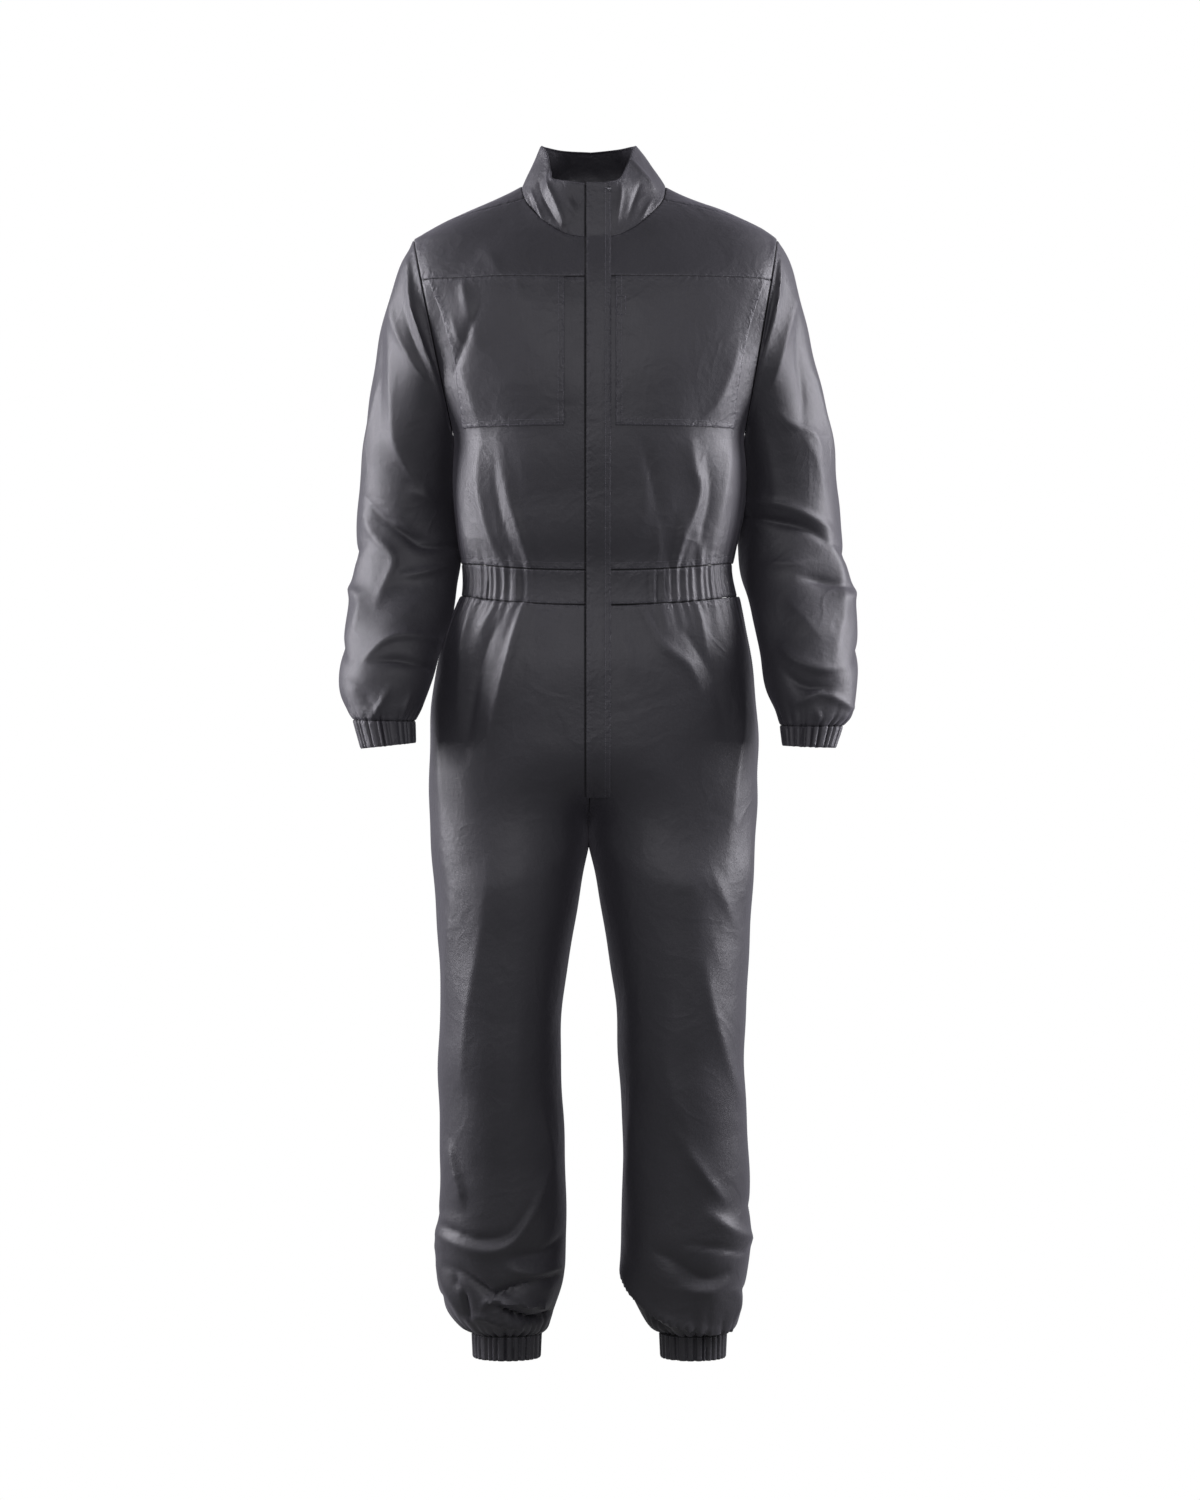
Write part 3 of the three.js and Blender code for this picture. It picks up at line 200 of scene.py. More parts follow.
SLEEVE = {
    "right": Table(
        SLEEVE_COLUMNS,
        (0, 238, -46, 186.5, -300, 5, 78), (1, 255, -75, 187.7, -307, 7, 79),
        (2, 267, -110, 187.7, -314, 10, 79), (3, 279, -154, 187.5, -322, 14, 78),
        (4, 289, -207, 187, -334, 19, 76), (5, 298, -264, 186, -351, 25, 74),
        (6, 304, -323, 184.5, -374, 30, 72), (7, 312.5, -383, 181.5, -405, 33, 70),
        (8, 319, -448, 178, -448, 30, 69), (9, 321.5, -502, 181, -495, 15, 67),
        (10, 326, -550, 193, -538, -15, 65), (11, 331, -600, 203, -587, -45, 61),
        (12, 331, -642, 211, -628, -60, 55), (13, 323, -668, 222, -661, -70, 45),
        (14, 315, -680, 232, -681, -76, 37),
    ),
    "left": Table(
        SLEEVE_COLUMNS,
        (0, 242, -46, 199, -300, 5, 78), (1, 257, -73, 200.4, -307, 7, 79),
        (2, 269, -110, 200.4, -314, 10, 79), (3, 281, -154, 200.2, -322, 14, 78),
        (4, 293, -207, 199.6, -334, 19, 76), (5, 306, -264, 198.5, -351, 25, 74),
        (6, 317, -323, 196, -374, 30, 72), (7, 324.5, -383, 192.5, -405, 33, 70),
        (8, 333, -449, 191, -449, 30, 69), (9, 341.5, -502, 195.5, -495, 15, 67),
        (10, 346, -550, 207, -541, -15, 65), (11, 347, -601, 218, -594, -45, 61),
        (12, 345, -645, 225, -641, -60, 55), (13, 337, -674, 234, -668, -70, 45),
        (14, 325, -688, 242, -687, -76, 37),
    ),
}
SLEEVE_RINGS = 14.0
CUFF_END = {
    "right": {"out_x": 304, "out_z": -718, "in_x": 231, "in_z": -710, "mid": -84, "half": 35},
    "left": {"out_x": 315, "out_z": -717, "in_x": 245, "in_z": -714, "mid": -84, "half": 35},
}
LEG_COLUMNS = "ring z inner outer front back mid"
LEG = {
    "right": Table(
        LEG_COLUMNS,
        (0, -517, 3, 176, 112, 105, 0), (1, -560, 4, 194, 119, 119, 0), (2, -605, 5, 207, 125, 135, 0),
        (3, -655, 6, 213, 127, 143, 0), (4, -705, 7, 214.5, 126, 146, 0), (5, -750, 8, 215.5, 125, 143, 0),
        (6, -790, 8, 216, 123, 138, 0), (7, -836, 7.4, 214.5, 121, 130, 0), (8, -890, 16, 211, 117, 121, -1),
        (9, -970, 29, 206, 110, 110, -3), (10, -1050, 41, 202, 104, 101, -5),
        (11, -1130, 44, 205, 99, 97, -5), (12, -1210, 41, 203, 94, 99, -2), (13, -1290, 38, 202, 90, 102, 3),
        (14, -1360, 36, 208, 90, 101, 8), (15, -1415, 40, 206, 88, 95, 11), (16, -1455, 52, 196, 80, 84, 13),
        (17, -1480, 61, 178, 67, 68, 14), (18, -1489, 69, 162, 52, 53, 15),
    ),
    "left": Table(
        LEG_COLUMNS,
        (0, -517, -3, 190, 112, 105, 0), (1, -560, -4, 201, 119, 119, 0), (2, -605, -5, 208, 125, 135, 0),
        (3, -655, -6, 212, 127, 143, 0), (4, -705, -7, 215, 126, 146, 0), (5, -750, -8, 214.5, 125, 143, 0),
        (6, -790, -8, 215, 123, 138, 0), (7, -836, -7, 212.5, 121, 130, 0), (8, -890, 3, 209, 117, 121, -1),
        (9, -970, 16, 204.5, 110, 110, -3), (10, -1050, 29, 202, 104, 101, -5),
        (11, -1130, 33, 199, 99, 97, -5), (12, -1210, 38, 202, 94, 99, -2), (13, -1290, 37, 206, 90, 102, 3),
        (14, -1360, 34, 208, 90, 101, 8), (15, -1415, 37, 204, 88, 95, 11), (16, -1455, 55, 196, 80, 84, 13),
        (17, -1480, 72, 188, 67, 68, 14), (18, -1489, 86, 176, 52, 53, 15),
    ),
}
LEG_RINGS = 18.0
CROTCH_RING = 7.0
ANKLE = {"top": -1489.5, "bottom": -1522.0, "flare": 1.5}


def lerp(start: Array | float, end: Array | float, share: Array | float) -> Array | float:
    """Value at a share of the way from a start to an end."""
    return start + (end - start) * share


def smooth(value: Array, low: float, high: float) -> Array:
    """Smooth step from 0 at a low value to 1 at a high one."""
    t = np.clip((value - low) / (high - low), 0, 1)
    return t * t * (3 - 2 * t)


def signed_power(base: Array, power: float) -> Array:
    """Power of a number's size, with the number's sign."""
    return np.sign(base) * np.abs(base) ** power


def unit(vectors: Array) -> Array:
    """Vectors of length one with the same directions."""
    return vectors / np.maximum(np.linalg.norm(vectors, axis=-1, keepdims=True), 1e-9)


def stack(x: Array, y: Array, z: Array) -> Array:
    """Points from their three coordinates, each broadcast to one shape."""
    return np.stack(np.broadcast_arrays(x, y, z), axis=-1).astype(float)


def spaced(length: float, step: float) -> Array:
    """Shares from 0 to 1 at even steps, with lines close to both ends for the roll of the seams.

    Args:
        length: Length that the shares divide.
        step: Distance between two lines.

    Returns:
        Rising shares, with 0 first and 1 last.
    """
    even = np.linspace(0, 1, max(3, round(length / step)) + 1)
    near = np.array([0.8, 1.9]) / length
    middle = even[(even > 3.2 / length) & (even < 1 - 3.2 / length)]
    return np.concatenate([[0], near, middle, 1 - near[::-1], [1]])


def armhole_half_depth(z: Array) -> Array:
    """Half of the armhole's depth: an oval between the shoulder tip and the armpit."""
    middle, reach = (TIP_Z + ARMPIT_Z) / 2, (TIP_Z - ARMPIT_Z) / 2
    return ARMHOLE_HALF_DEPTH * np.sqrt(np.maximum(0, 1 - ((z - middle) / reach) ** 2))


def armhole_x(side: Side, z: Array) -> Array:
    """Distance of the armhole seam from the middle, on a straight line from tip to armpit."""
    share = np.clip((TIP_Z - z) / (TIP_Z - ARMPIT_Z), 0, 1)
    return lerp(TIP_X[side.value], ARMPIT_X[side.value], share)


def half_width(side: Side, face: Face, z: Array) -> Array:
    """Half width of the body's section.

    Above the tips it is the shoulder ridge. Down to the armpit it is the section through the armhole's
    seam, x / (1 - s^q)^(1/q) with s the armhole's share of the depth and q the squareness. Below that it
    is the torso table.
    """
    z = np.asarray(z, float)
    share = armhole_half_depth(z) / TORSO.read(face.value, z)
    through = armhole_x(side, z) / (1 - share**SQUARENESS) ** (1 / SQUARENESS)
    low = TORSO.read(side.value, z)
    return np.where(z >= TIP_Z, SHOULDER.read(side.value, z), np.where(z > ARMPIT_Z, through, low))


def body_field(points: Array) -> Array:
    """Below zero inside the body, above zero outside: |x/w|^q + |y/d|^q - 1 on each level's section."""
    x, y, z = np.moveaxis(points, -1, 0)
    mid = TORSO.read("mid", z)
    right, front = x < 0, y < mid
    width = np.where(
        right,
        np.where(front, half_width(Side.RIGHT, Face.FRONT, z), half_width(Side.RIGHT, Face.BACK, z)),
        np.where(front, half_width(Side.LEFT, Face.FRONT, z), half_width(Side.LEFT, Face.BACK, z)),
    )
    depth = np.where(front, TORSO.read("front", z), TORSO.read("back", z))
    across = np.abs(x) / np.maximum(width, 1)
    deep = np.abs(y - mid) / np.maximum(depth, 1)
    return across**SQUARENESS + deep**SQUARENESS - 1


def body_normals(points: Array) -> Array:
    """Outward directions of the body, from the slope of its field over 3 mm."""
    steps = np.eye(3) * 1.5
    slopes = [body_field(points + step) - body_field(points - step) for step in steps]
    return unit(np.stack(slopes, axis=-1))


def onto_body(points: Array) -> Array:
    """Points moved onto the body's surface, each along its line from a point inside the chest."""
    inside = stack(points[..., 0] * 0.8, 4, np.minimum(INNER_POINT_Z, points[..., 2] - 60))
    low, high = np.full(points.shape[:-1], 0.3), np.full(points.shape[:-1], 1.8)
    for _ in range(26):
        middle = (low + high) / 2
        outside = body_field(lerp(inside, points, middle[..., None])) > 0
        high = np.where(outside, middle, high)
        low = np.where(outside, low, middle)
    return lerp(inside, points, ((low + high) / 2)[..., None])


def section_angle(side: Side, face: Face, x: Array | float, z: Array) -> Array:
    """Angle on a level's section of a distance from the middle: a quarter turn is the side seam."""
    return np.arcsin(np.clip(x / half_width(side, face, z), 0, 1) ** (SQUARENESS / 2))


def side_angle(side: Side, face: Face, z: Array) -> Array:
    """Angle on a level's section of its armhole, or of its side seam below the armpit."""
    return np.where(z > ARMPIT_Z, section_angle(side, face, armhole_x(side, z), z), math.pi / 2)


def section_at(side: Side, face: Face, angle: Array, z: Array) -> Array:
    """Points of the body's section: x = w sin^(2/q), y = d cos^(2/q)."""
    power = 2 / SQUARENESS
    x = half_width(side, face, z) * np.sin(angle) ** power
    y = TORSO.read(face.value, z) * np.maximum(0, np.cos(angle)) ** power
    return stack(side.sign * x, TORSO.read("mid", z) + face.sign * y, z)


def section_point(side: Side, face: Face, turn: Array, z: Array, start_x: float = 0.0) -> Array:
    """Points of the body: turn 0 is a distance from the middle, turn 1 the armhole or side seam."""
    start = section_angle(side, face, start_x, z)
    return section_at(side, face, lerp(start, side_angle(side, face, z), turn), z)


def waist_level(line: dict[str, float], face: Face, turn: Array) -> Array:
    """Height of a waist line, which dips towards the middle of the front."""
    return lerp(line["side"], line[face.value], np.cos(turn * math.pi / 2) ** 2)


def neck_point(side: Side, turn: Array) -> Array:
    """Points of the neck seam at turns from the centre front."""
    points = stack(side.sign * NECK.read("x", turn), NECK.read("y", turn), NECK.read("z", turn))
    return onto_body(points)


def shoulder_seam(side: Side, share: Array) -> Array:
    """Points of the shoulder seam, a bow a little in front of the ridge, from the neck to the tip."""
    neck = neck_point(side, np.array(NECK_POINT_TURN))
    tip = np.array([side.sign * TIP_X[side.value], ARMHOLE_MID_Y, TIP_Z])
    bow = SHOULDER_BOW * np.sin(math.pi * share) ** 0.7
    line = lerp(neck, tip, share[..., None]) + stack(0, -bow, bow * 0.4)
    placed = onto_body(line)
    blend = smooth(share, 0.9, 1.0)[..., None]
    return lerp(placed, line, blend)


def armhole_edge(side: Side, face: Face, from_z: float, shares: Array) -> Array:
    """Points of the armhole's oval on one face, from a height up to the tip."""
    middle, reach = (TIP_Z + ARMPIT_Z) / 2, (TIP_Z - ARMPIT_Z) / 2
    start = math.asin((from_z - middle) / reach)
    z = middle + reach * np.sin(lerp(start, math.pi / 2, shares))
    y = ARMHOLE_MID_Y + face.sign * armhole_half_depth(z)
    return stack(side.sign * armhole_x(side, z), y, z)


def fill_between(bottom: Array, top: Array, start: Array, end: Array, us: Array, vs: Array) -> Array:
    """Coons' surface: the two ruled surfaces between facing edges, less the one of the four corners."""
    u, v = us[None, :, None], vs[:, None, None]
    ruled = (1 - v) * bottom[None] + v * top[None] + (1 - u) * start[:, None] + u * end[:, None]
    corners = (1 - u) * (1 - v) * bottom[0] + u * (1 - v) * bottom[-1]
    return ruled - corners - (1 - u) * v * top[0] - u * v * top[-1]


def leg_point(side: Side, face: Face, turn: Array, ring: Array) -> Array:
    """Points of one face of a leg: turn 0 is the centre seam and inseam, turn 1 the side seam.

    Above the crotch the section is a quarter of the hips' superellipse. It blends over the rise into half
    of the leg's own oval by s^4 (5 - 4 s), which ends level: at the crotch on the centre seam and lower away
    from it. The top edge dips with the waist seam.
    """
    table = LEG[side.value]
    inner, outer = table.read("inner", ring), table.read("outer", ring)
    deep = table.read(face.value, ring)
    ease = np.clip(1 - ring / 3, 0, 1)
    z = table.read("z", ring) + (waist_level(WAIST_SEAM, face, turn) - WAIST_SEAM["side"]) * ease**2
    quarter = np.clip(turn, -0.05, 1.05) * math.pi / 2
    seam_x = (inner - (3 if side is Side.RIGHT else -3) * ease) * 0.5
    hip_x = seam_x + (outer - seam_x) * signed_power(np.sin(quarter), 2 / SQUARENESS)
    hip_y = deep * signed_power(np.cos(quarter), 2 / SQUARENESS)
    leg_x = (inner + outer) / 2 - (outer - inner) / 2 * signed_power(np.cos(quarter * 2), 2 / LEG_SQUARENESS)
    leg_y = deep * signed_power(np.sin(quarter * 2), 2 / LEG_SQUARENESS)
    top = RISE_TOP_Z[face.value]
    low = CROTCH_Z - RISE_FALL * smooth(turn, 0, 0.6)
    fallen = np.clip((top - z) / (top - low), 0, 1)
    drop = fallen**RISE_POWER * (1 + RISE_POWER * (1 - fallen))
    y = table.read("mid", ring) + face.sign * lerp(hip_y, leg_y, drop)
    return stack(side.sign * lerp(hip_x, leg_x, drop), y, z)


def oval_point(side: Side, read: Callable[[str], Array], turn: Array) -> Array:
    """Points of an oval ring: its cosine runs between the outer and inner points, its sine along Y."""
    share = (1 + np.cos(turn * 2 * math.pi)) / 2
    x = lerp(read("in_x"), read("out_x"), share)
    z = lerp(read("in_z"), read("out_z"), share)
    return stack(side.sign * x, read("mid") - read("half") * np.sin(turn * 2 * math.pi), z)


def collar_point(side: Side, turn: Array, up: Array) -> Array:
    """Points of the collar, on lines from just under the neck seam to the top edge, swelling a little."""
    table = COLLAR_TOP[side.value]
    top = stack(side.sign * table.read("x", turn), table.read("y", turn), table.read("z", turn))
    base = neck_point(side, turn) - np.array([0, 0, COLLAR_SINK])
    points = lerp(base, top, up[..., None])
    out = unit(points * np.array([1, 1, 0]))
    return points + out * (COLLAR_SWELL * np.sin(math.pi * up))[..., None]


def grid_normals(points: Array, closed: bool) -> Array:
    """Directions across a grid: the cross product of its slopes along rows and along columns."""
    if closed:
        across = np.roll(points, -1, axis=1) - np.roll(points, 1, axis=1)
    else:
        across = np.gradient(points, axis=1)
    return unit(np.cross(across, np.gradient(points, axis=0)))


@dataclass
class Cloth:
    """A grid of points on the outer side of a piece of cloth, with its outward directions."""

    points: Array
    normals: Array
    closed: bool = False

    @classmethod
    def around(cls, points: Array, middle: Array, closed: bool = False) -> Cloth:
        """Cloth whose outward directions point away from a middle line.

        Args:
            points: Grid of points, rows by columns by 3.
            middle: Points inside, one for each row, or one for all.
            closed: Whether the last column joins the first.

        Returns:
            The cloth.
        """
        normals = grid_normals(points, closed)
        out = np.sum(normals * (points - middle), axis=-1, keepdims=True)
        return cls(points, np.where(np.mean(out) < 0, -normals, normals), closed)

    def lengths(self, axis: int) -> Array:
        """Length along the cloth from the first row, axis 0, or the first column, axis 1."""
        steps = np.linalg.norm(np.diff(self.points, axis=axis), axis=-1)
        start = np.zeros_like(np.take(self.points[..., 0], [0], axis=axis))
        return np.concatenate([start, np.cumsum(steps, axis=axis)], axis=axis)

    def from_edge(self, edge: Edge) -> Array:
        """Length along the cloth from one of its edges."""
        along = self.lengths(0 if edge in (Edge.TOP, Edge.BOTTOM) else 1)
        if edge in (Edge.TOP, Edge.START):
            return along
        last = along[-1:] if edge is Edge.BOTTOM else along[:, -1:]
        return last - along

    def raised(self, height: Array) -> Cloth:
        """The cloth moved outwards by a height at each point, with new outward directions."""
        points = self.points + self.normals * height[..., None]
        normals = grid_normals(points, self.closed)
        keep = np.sum(normals * self.normals) > 0
        return Cloth(points, normals if keep else -normals, self.closed)

    def at(self, row: Array, column: Array) -> tuple[Array, Array]:
        """Points and directions between the grid's lines, by the four around each place.

        Args:
            row: Rows, with shares between two lines.
            column: Columns, with shares between two lines.

        Returns:
            The points and the outward directions.
        """
        rows, columns = self.points.shape[:2]
        j = np.clip(np.floor(row).astype(int), 0, rows - 2)
        i = np.floor(column).astype(int)
        i = i % columns if self.closed else np.clip(i, 0, columns - 2)
        v, u = (row - j)[..., None], (column - np.floor(column))[..., None]
        if not self.closed:
            u = (column - i)[..., None]
        beside = (i + 1) % columns

        def blend(values: Array) -> Array:
            low = lerp(values[j, i], values[j, beside], u)
            return lerp(low, lerp(values[j + 1, i], values[j + 1, beside], u), v)

        return blend(self.points), unit(blend(self.normals))

    def line_in(self, edge: Edge, inset: float, start: float = 0.0, end: float = 1.0) -> tuple[Array, Array]:
        """A line on the cloth at a distance in from one edge.

        Args:
            edge: Edge that the line follows.
            inset: Distance from the edge.
            start: Share of the edge at which the line starts.
            end: Share of the edge at which the line ends.

        Returns:
            The line's points and outward directions.
        """
        gap = self.from_edge(edge)
        upright = edge in (Edge.TOP, Edge.BOTTOM)
        gap = gap if upright else gap.T
        if edge in (Edge.BOTTOM, Edge.END):
            gap = gap[::-1]
        i = np.clip((gap < inset).sum(axis=0) - 1, 0, len(gap) - 2)
        near = np.take_along_axis(gap, i[None], 0)[0]
        far = np.take_along_axis(gap, i[None] + 1, 0)[0]
        place = i + np.clip((inset - near) / np.maximum(far - near, 1e-6), 0, 1)
        if edge in (Edge.BOTTOM, Edge.END):
            place = len(gap) - 1 - place
        other = np.arange(gap.shape[1], dtype=float)
        chosen = (other >= start * other[-1]) & (other <= end * other[-1])
        place, other = place[chosen], other[chosen]
        return self.at(place, other) if upright else self.at(other, place)


class View(Enum):
    """Side from which a fold is placed, with the direction that faces it and its coordinate across."""

    FRONT = (0, (0, -1, 0))
    BACK = (0, (0, 1, 0))
    RIGHT = (1, (-1, 0, 0))
    LEFT = (1, (1, 0, 0))


@dataclass(frozen=True)
class Crease:
    """A soft fold placed on a line of points, as seen from one side.

    Each point has a place across and up, the fold's half width and its height, which is below zero in a
    trough. lean makes the flank to the right of the line's direction steeper, or the left one below zero.
    """

    view: View
    path: tuple[tuple[float, float, float, float], ...]
    lean: float = 0.0

    def height(self, points: Array, normals: Array) -> Array:
        """Height over a grid: a wide bell and a narrow crest, both falling with the distance d from the line.

        The bell is 0.6 h (1 + (d/w)^2)^-1.5 and the crest 0.4 h (1 + (3 d/w)^2)^-1.

        Args:
            points: Grid of points.
            normals: Their outward directions.

        Returns:
            The height at each point, faded out where the cloth turns away from the view.
        """
        axis, toward = self.view.value
        knots = np.array(self.path, float)
        fine = Table("t a b w h", *((k, *row) for k, row in enumerate(self.path)))
        t = np.linspace(0, len(knots) - 1, 10 * (len(knots) - 1) + 1)
        line = np.stack([fine.read("a", t), fine.read("b", t)], axis=-1)
        wide, tall = fine.read("w", t), fine.read("h", t)
        across, up = points[..., axis], points[..., 2]
        reach = 5 * knots[:, 2].max()
        near = (across > line[:, 0].min() - reach) & (across < line[:, 0].max() + reach)
        near &= (up > line[:, 1].min() - reach) & (up < line[:, 1].max() + reach)
        facing = smooth(normals @ np.array(toward, float), -0.1, 0.45)
        near &= facing > 0
        result = np.zeros(points.shape[:-1])
        if not near.any():
            return result
        place = np.stack([across[near], up[near]], axis=-1)
        step = np.diff(line, axis=0)
        offset = place[:, None] - line[None, :-1]
        share = np.clip(np.sum(offset * step, -1) / np.maximum(np.sum(step**2, -1), 1e-9), 0, 1)
        away = offset - share[..., None] * step
        distance = np.linalg.norm(away, axis=-1)
        best = distance.argmin(axis=1)[:, None]
        d, s = (np.take_along_axis(values, best, 1)[:, 0] for values in (distance, share))
        k = best[:, 0]
        cross = step[k, 0] * away[np.arange(len(k)), k, 1] - step[k, 1] * away[np.arange(len(k)), k, 0]
        side = np.clip(cross / np.maximum(np.linalg.norm(step[k], axis=1) * 1.5, 1e-6), -1, 1)
        width = lerp(wide[k], wide[k + 1], s) * (1 + self.lean * side)
        tallness = lerp(tall[k], tall[k + 1], s)
        bell = 0.6 * (1 + (d / width) ** 2) ** -1.5 + 0.4 / (1 + (3 * d / width) ** 2)
        result[near] = tallness * bell * facing[near]
        return result


def folds(view: View, *paths: tuple[tuple[float, float, float, float], ...]) -> tuple[Crease, ...]:
    """Creases placed from one side, one for each path."""
    return tuple(Crease(view, path) for path in paths)


@dataclass(frozen=True)
class Gathers:
    """Uneven ridges, or grooves where the depth is below zero, that elastic makes round a band.

    They fade into the cloth above and below it.
    """

    count: int
    depth: float
    seed: int
    reach: tuple[float, float] = (10.0, 34.0)
    width: tuple[float, float] = (0.17, 0.33)

    def height(self, turn: Array, off: Array) -> Array:
        """Height of the ridges: bells at uneven turns, less their mean.

        Args:
            turn: Place round the band, from 0 to 1.
            off: Distance from the band, above zero outside it.

        Returns:
            The height at each place.
        """
        random = np.random.default_rng(self.seed)
        centre = (np.arange(self.count) + random.uniform(-0.28, 0.28, self.count)) / self.count
        width = random.uniform(*self.width, self.count) / self.count
        tall = random.uniform(0.55, 1.25, self.count) * self.depth
        reach = random.uniform(*self.reach, self.count)
        drift = random.uniform(-0.25, 0.25, self.count) / self.count / 30
        outside = np.maximum(off, 0)[..., None]
        apart = turn[..., None] - centre - drift * outside
        apart = apart - np.round(apart)
        spread = width * (1 + outside / 40)
        fade = np.exp(-((outside / reach) ** 1.3))
        ridges = (tall * fade * np.exp(-((apart / spread) ** 2))).sum(axis=-1)
        mean = (tall * fade * width).sum(axis=-1) * math.sqrt(math.pi)
        return ridges - mean


def unevenness(points: Array, seed: int, amount: float, lengths: tuple[float, float]) -> Array:
    """Slow rise and fall of cloth that hangs: a sum of plane waves with uneven lengths.

    Args:
        points: Grid of points.
        seed: Start of the random draw.
        amount: Usual height.
        lengths: Shortest and longest wave.

    Returns:
        The height at each point, the same on either side of a seam.
    """
    random = np.random.default_rng(seed)
    waves = 9
    directions = unit(random.normal(size=(waves, 3)) * np.array([1.2, 1.0, 0.5]))
    numbers = directions * (2 * math.pi / random.uniform(*lengths, (waves, 1)))
    phases = random.uniform(0, 2 * math.pi, waves)
    return amount * math.sqrt(2 / waves) * np.sin(points @ numbers.T + phases).sum(axis=-1)


@dataclass(frozen=True)
class Sewing:
    """How a piece is finished: its sewn and turned edges, its wall, and turned edges that get painted shadow
    like the seams.
    """

    sewn: tuple[Edge, ...] = (Edge.TOP, Edge.BOTTOM, Edge.START, Edge.END)
    turned: tuple[Edge, ...] = ()
    wall: float = WALL
    shaded: tuple[Edge, ...] = ()


class ShellMaker:
    """Writes closed walls of cloth and other closed surfaces into Blender."""

    @staticmethod
    def object_of(name: str, points: Array, faces: Array, material: bpy.types.Material) -> bpy.types.Object:
        """A smooth mesh object in metres, with its faces turned outwards.

        Args:
            name: Name of the piece.
            points: Points in millimetres, one for each row.
            faces: Corners of the quads.
            material: Its finish.

        Returns:
            The object, in the scene.
        """
        a, b, c, d = (points[faces[:, k]] for k in range(4))
        volume = np.sum(a * np.cross(b, c)) + np.sum(a * np.cross(c, d))
        faces = faces if volume > 0 else faces[:, ::-1]
        mesh = bpy.data.meshes.new(name)
        mesh.from_pydata(points * MM, [], faces)
        mesh.polygons.foreach_set("use_smooth", np.ones(len(faces), bool))
        mesh.set_sharp_from_angle(angle=math.radians(70))
        mesh.materials.append(material)
        piece = bpy.data.objects.new(name, mesh)
        bpy.context.scene.collection.objects.link(piece)
        return piece

    @classmethod
    def wall(cls, name: str, cloth: Cloth, sewing: Sewing, material: bpy.types.Material) -> bpy.types.Object:
        """A closed wall: the outer grid, an inner grid one wall below it, and its rims.

        Args:
            name: Name of the piece.
            cloth: Outer side.
            sewing: Its wall and sewn edges.
            material: Its finish.

        Returns:
            The object, with the cloth's own lengths as UV in metres and the gap to the nearest seam.
        """
        rows, columns = cloth.points.shape[:2]
        index = np.arange(rows * columns).reshape(rows, columns)
        along, across = cloth.lengths(0), cloth.lengths(1)
        across = across - across.mean(axis=1, keepdims=True)
        if cloth.closed:
            index = np.concatenate([index, index[:, :1]], axis=1)
            last = np.linalg.norm(cloth.points[:, :1] - cloth.points[:, -1:], axis=-1)
            across = np.concatenate([across, across[:, -1:] + last], axis=1)
            along = np.concatenate([along, along[:, :1]], axis=1)
        under = index + rows * columns
        flat = np.stack([across, -along], axis=-1) * MM
        inner = cloth.points - cloth.normals * sewing.wall
        corners = [(index[:-1, :-1], index[:-1, 1:], index[1:, 1:], index[1:, :-1])]
        corners.append((under[:-1, :-1], under[1:, :-1], under[1:, 1:], under[:-1, 1:]))
        corners.append((index[0, 1:], index[0, :-1], under[0, :-1], under[0, 1:]))
        corners.append((index[-1, :-1], index[-1, 1:], under[-1, 1:], under[-1, :-1]))
        a, b, c, d = flat[:-1, :-1], flat[:-1, 1:], flat[1:, 1:], flat[1:, :-1]
        maps = [(a, b, c, d), (a, d, c, b), (flat[0, 1:], flat[0, :-1], flat[0, :-1], flat[0, 1:])]
        maps.append((flat[-1, :-1], flat[-1, 1:], flat[-1, 1:], flat[-1, :-1]))
        if not cloth.closed:
            corners.append((index[:-1, 0], index[1:, 0], under[1:, 0], under[:-1, 0]))
            corners.append((index[1:, -1], index[:-1, -1], under[:-1, -1], under[1:, -1]))
            maps.append((flat[:-1, 0], flat[1:, 0], flat[1:, 0], flat[:-1, 0]))
            maps.append((flat[1:, -1], flat[:-1, -1], flat[:-1, -1], flat[1:, -1]))
        faces = np.concatenate([np.stack([part.ravel() for part in quad], axis=1) for quad in corners])
        uv = np.concatenate([np.stack([part.reshape(-1, 2) for part in quad], axis=1) for quad in maps])
        points = np.concatenate([cloth.points.reshape(-1, 3), inner.reshape(-1, 3)])
        a, b, c, d = (points[faces[:, k]] for k in range(4))
        if np.sum(a * np.cross(b, c)) + np.sum(a * np.cross(c, d)) < 0:
            faces, uv = faces[:, ::-1], uv[:, ::-1]
        piece = cls.object_of(name, points, faces, material)
        layer = piece.data.uv_layers.new(name="cloth")
        layer.data.foreach_set("uv", np.ascontiguousarray(uv, float).ravel())
        # seam_gap places the painted shadow of the seams and shaded edges; edge_gap places the pale line by
        # the edges, part wear and part painted highlight, and the puckers.
        cls.gap_attribute(piece, "edge_gap", cloth, (*sewing.sewn, *sewing.turned))
        cls.gap_attribute(piece, "seam_gap", cloth, (*sewing.sewn, *sewing.shaded))
        return piece

    @staticmethod
    def gap_attribute(piece: bpy.types.Object, name: str, cloth: Cloth, edges: Sequence[Edge]) -> None:
        """Writes each point's distance to the nearest of some edges, in metres, for the finishes."""
        far = np.full(cloth.points.shape[:2], 99.0)
        gap = np.minimum.reduce([far, *(cloth.from_edge(edge) for edge in edges)])
        attribute = piece.data.attributes.new(name, "FLOAT", "POINT")
        attribute.data.foreach_set("value", np.tile(gap.ravel() * MM, 2))

    @staticmethod
    def place(
        piece: bpy.types.Object, slot: str, nodes: Sequence[str] = (), body: str = "root"
    ) -> bpy.types.Object:
        """Lets a finished piece ride and stand for its nodes."""
        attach(piece, body)
        if nodes:
            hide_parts(*nodes)
        return piece


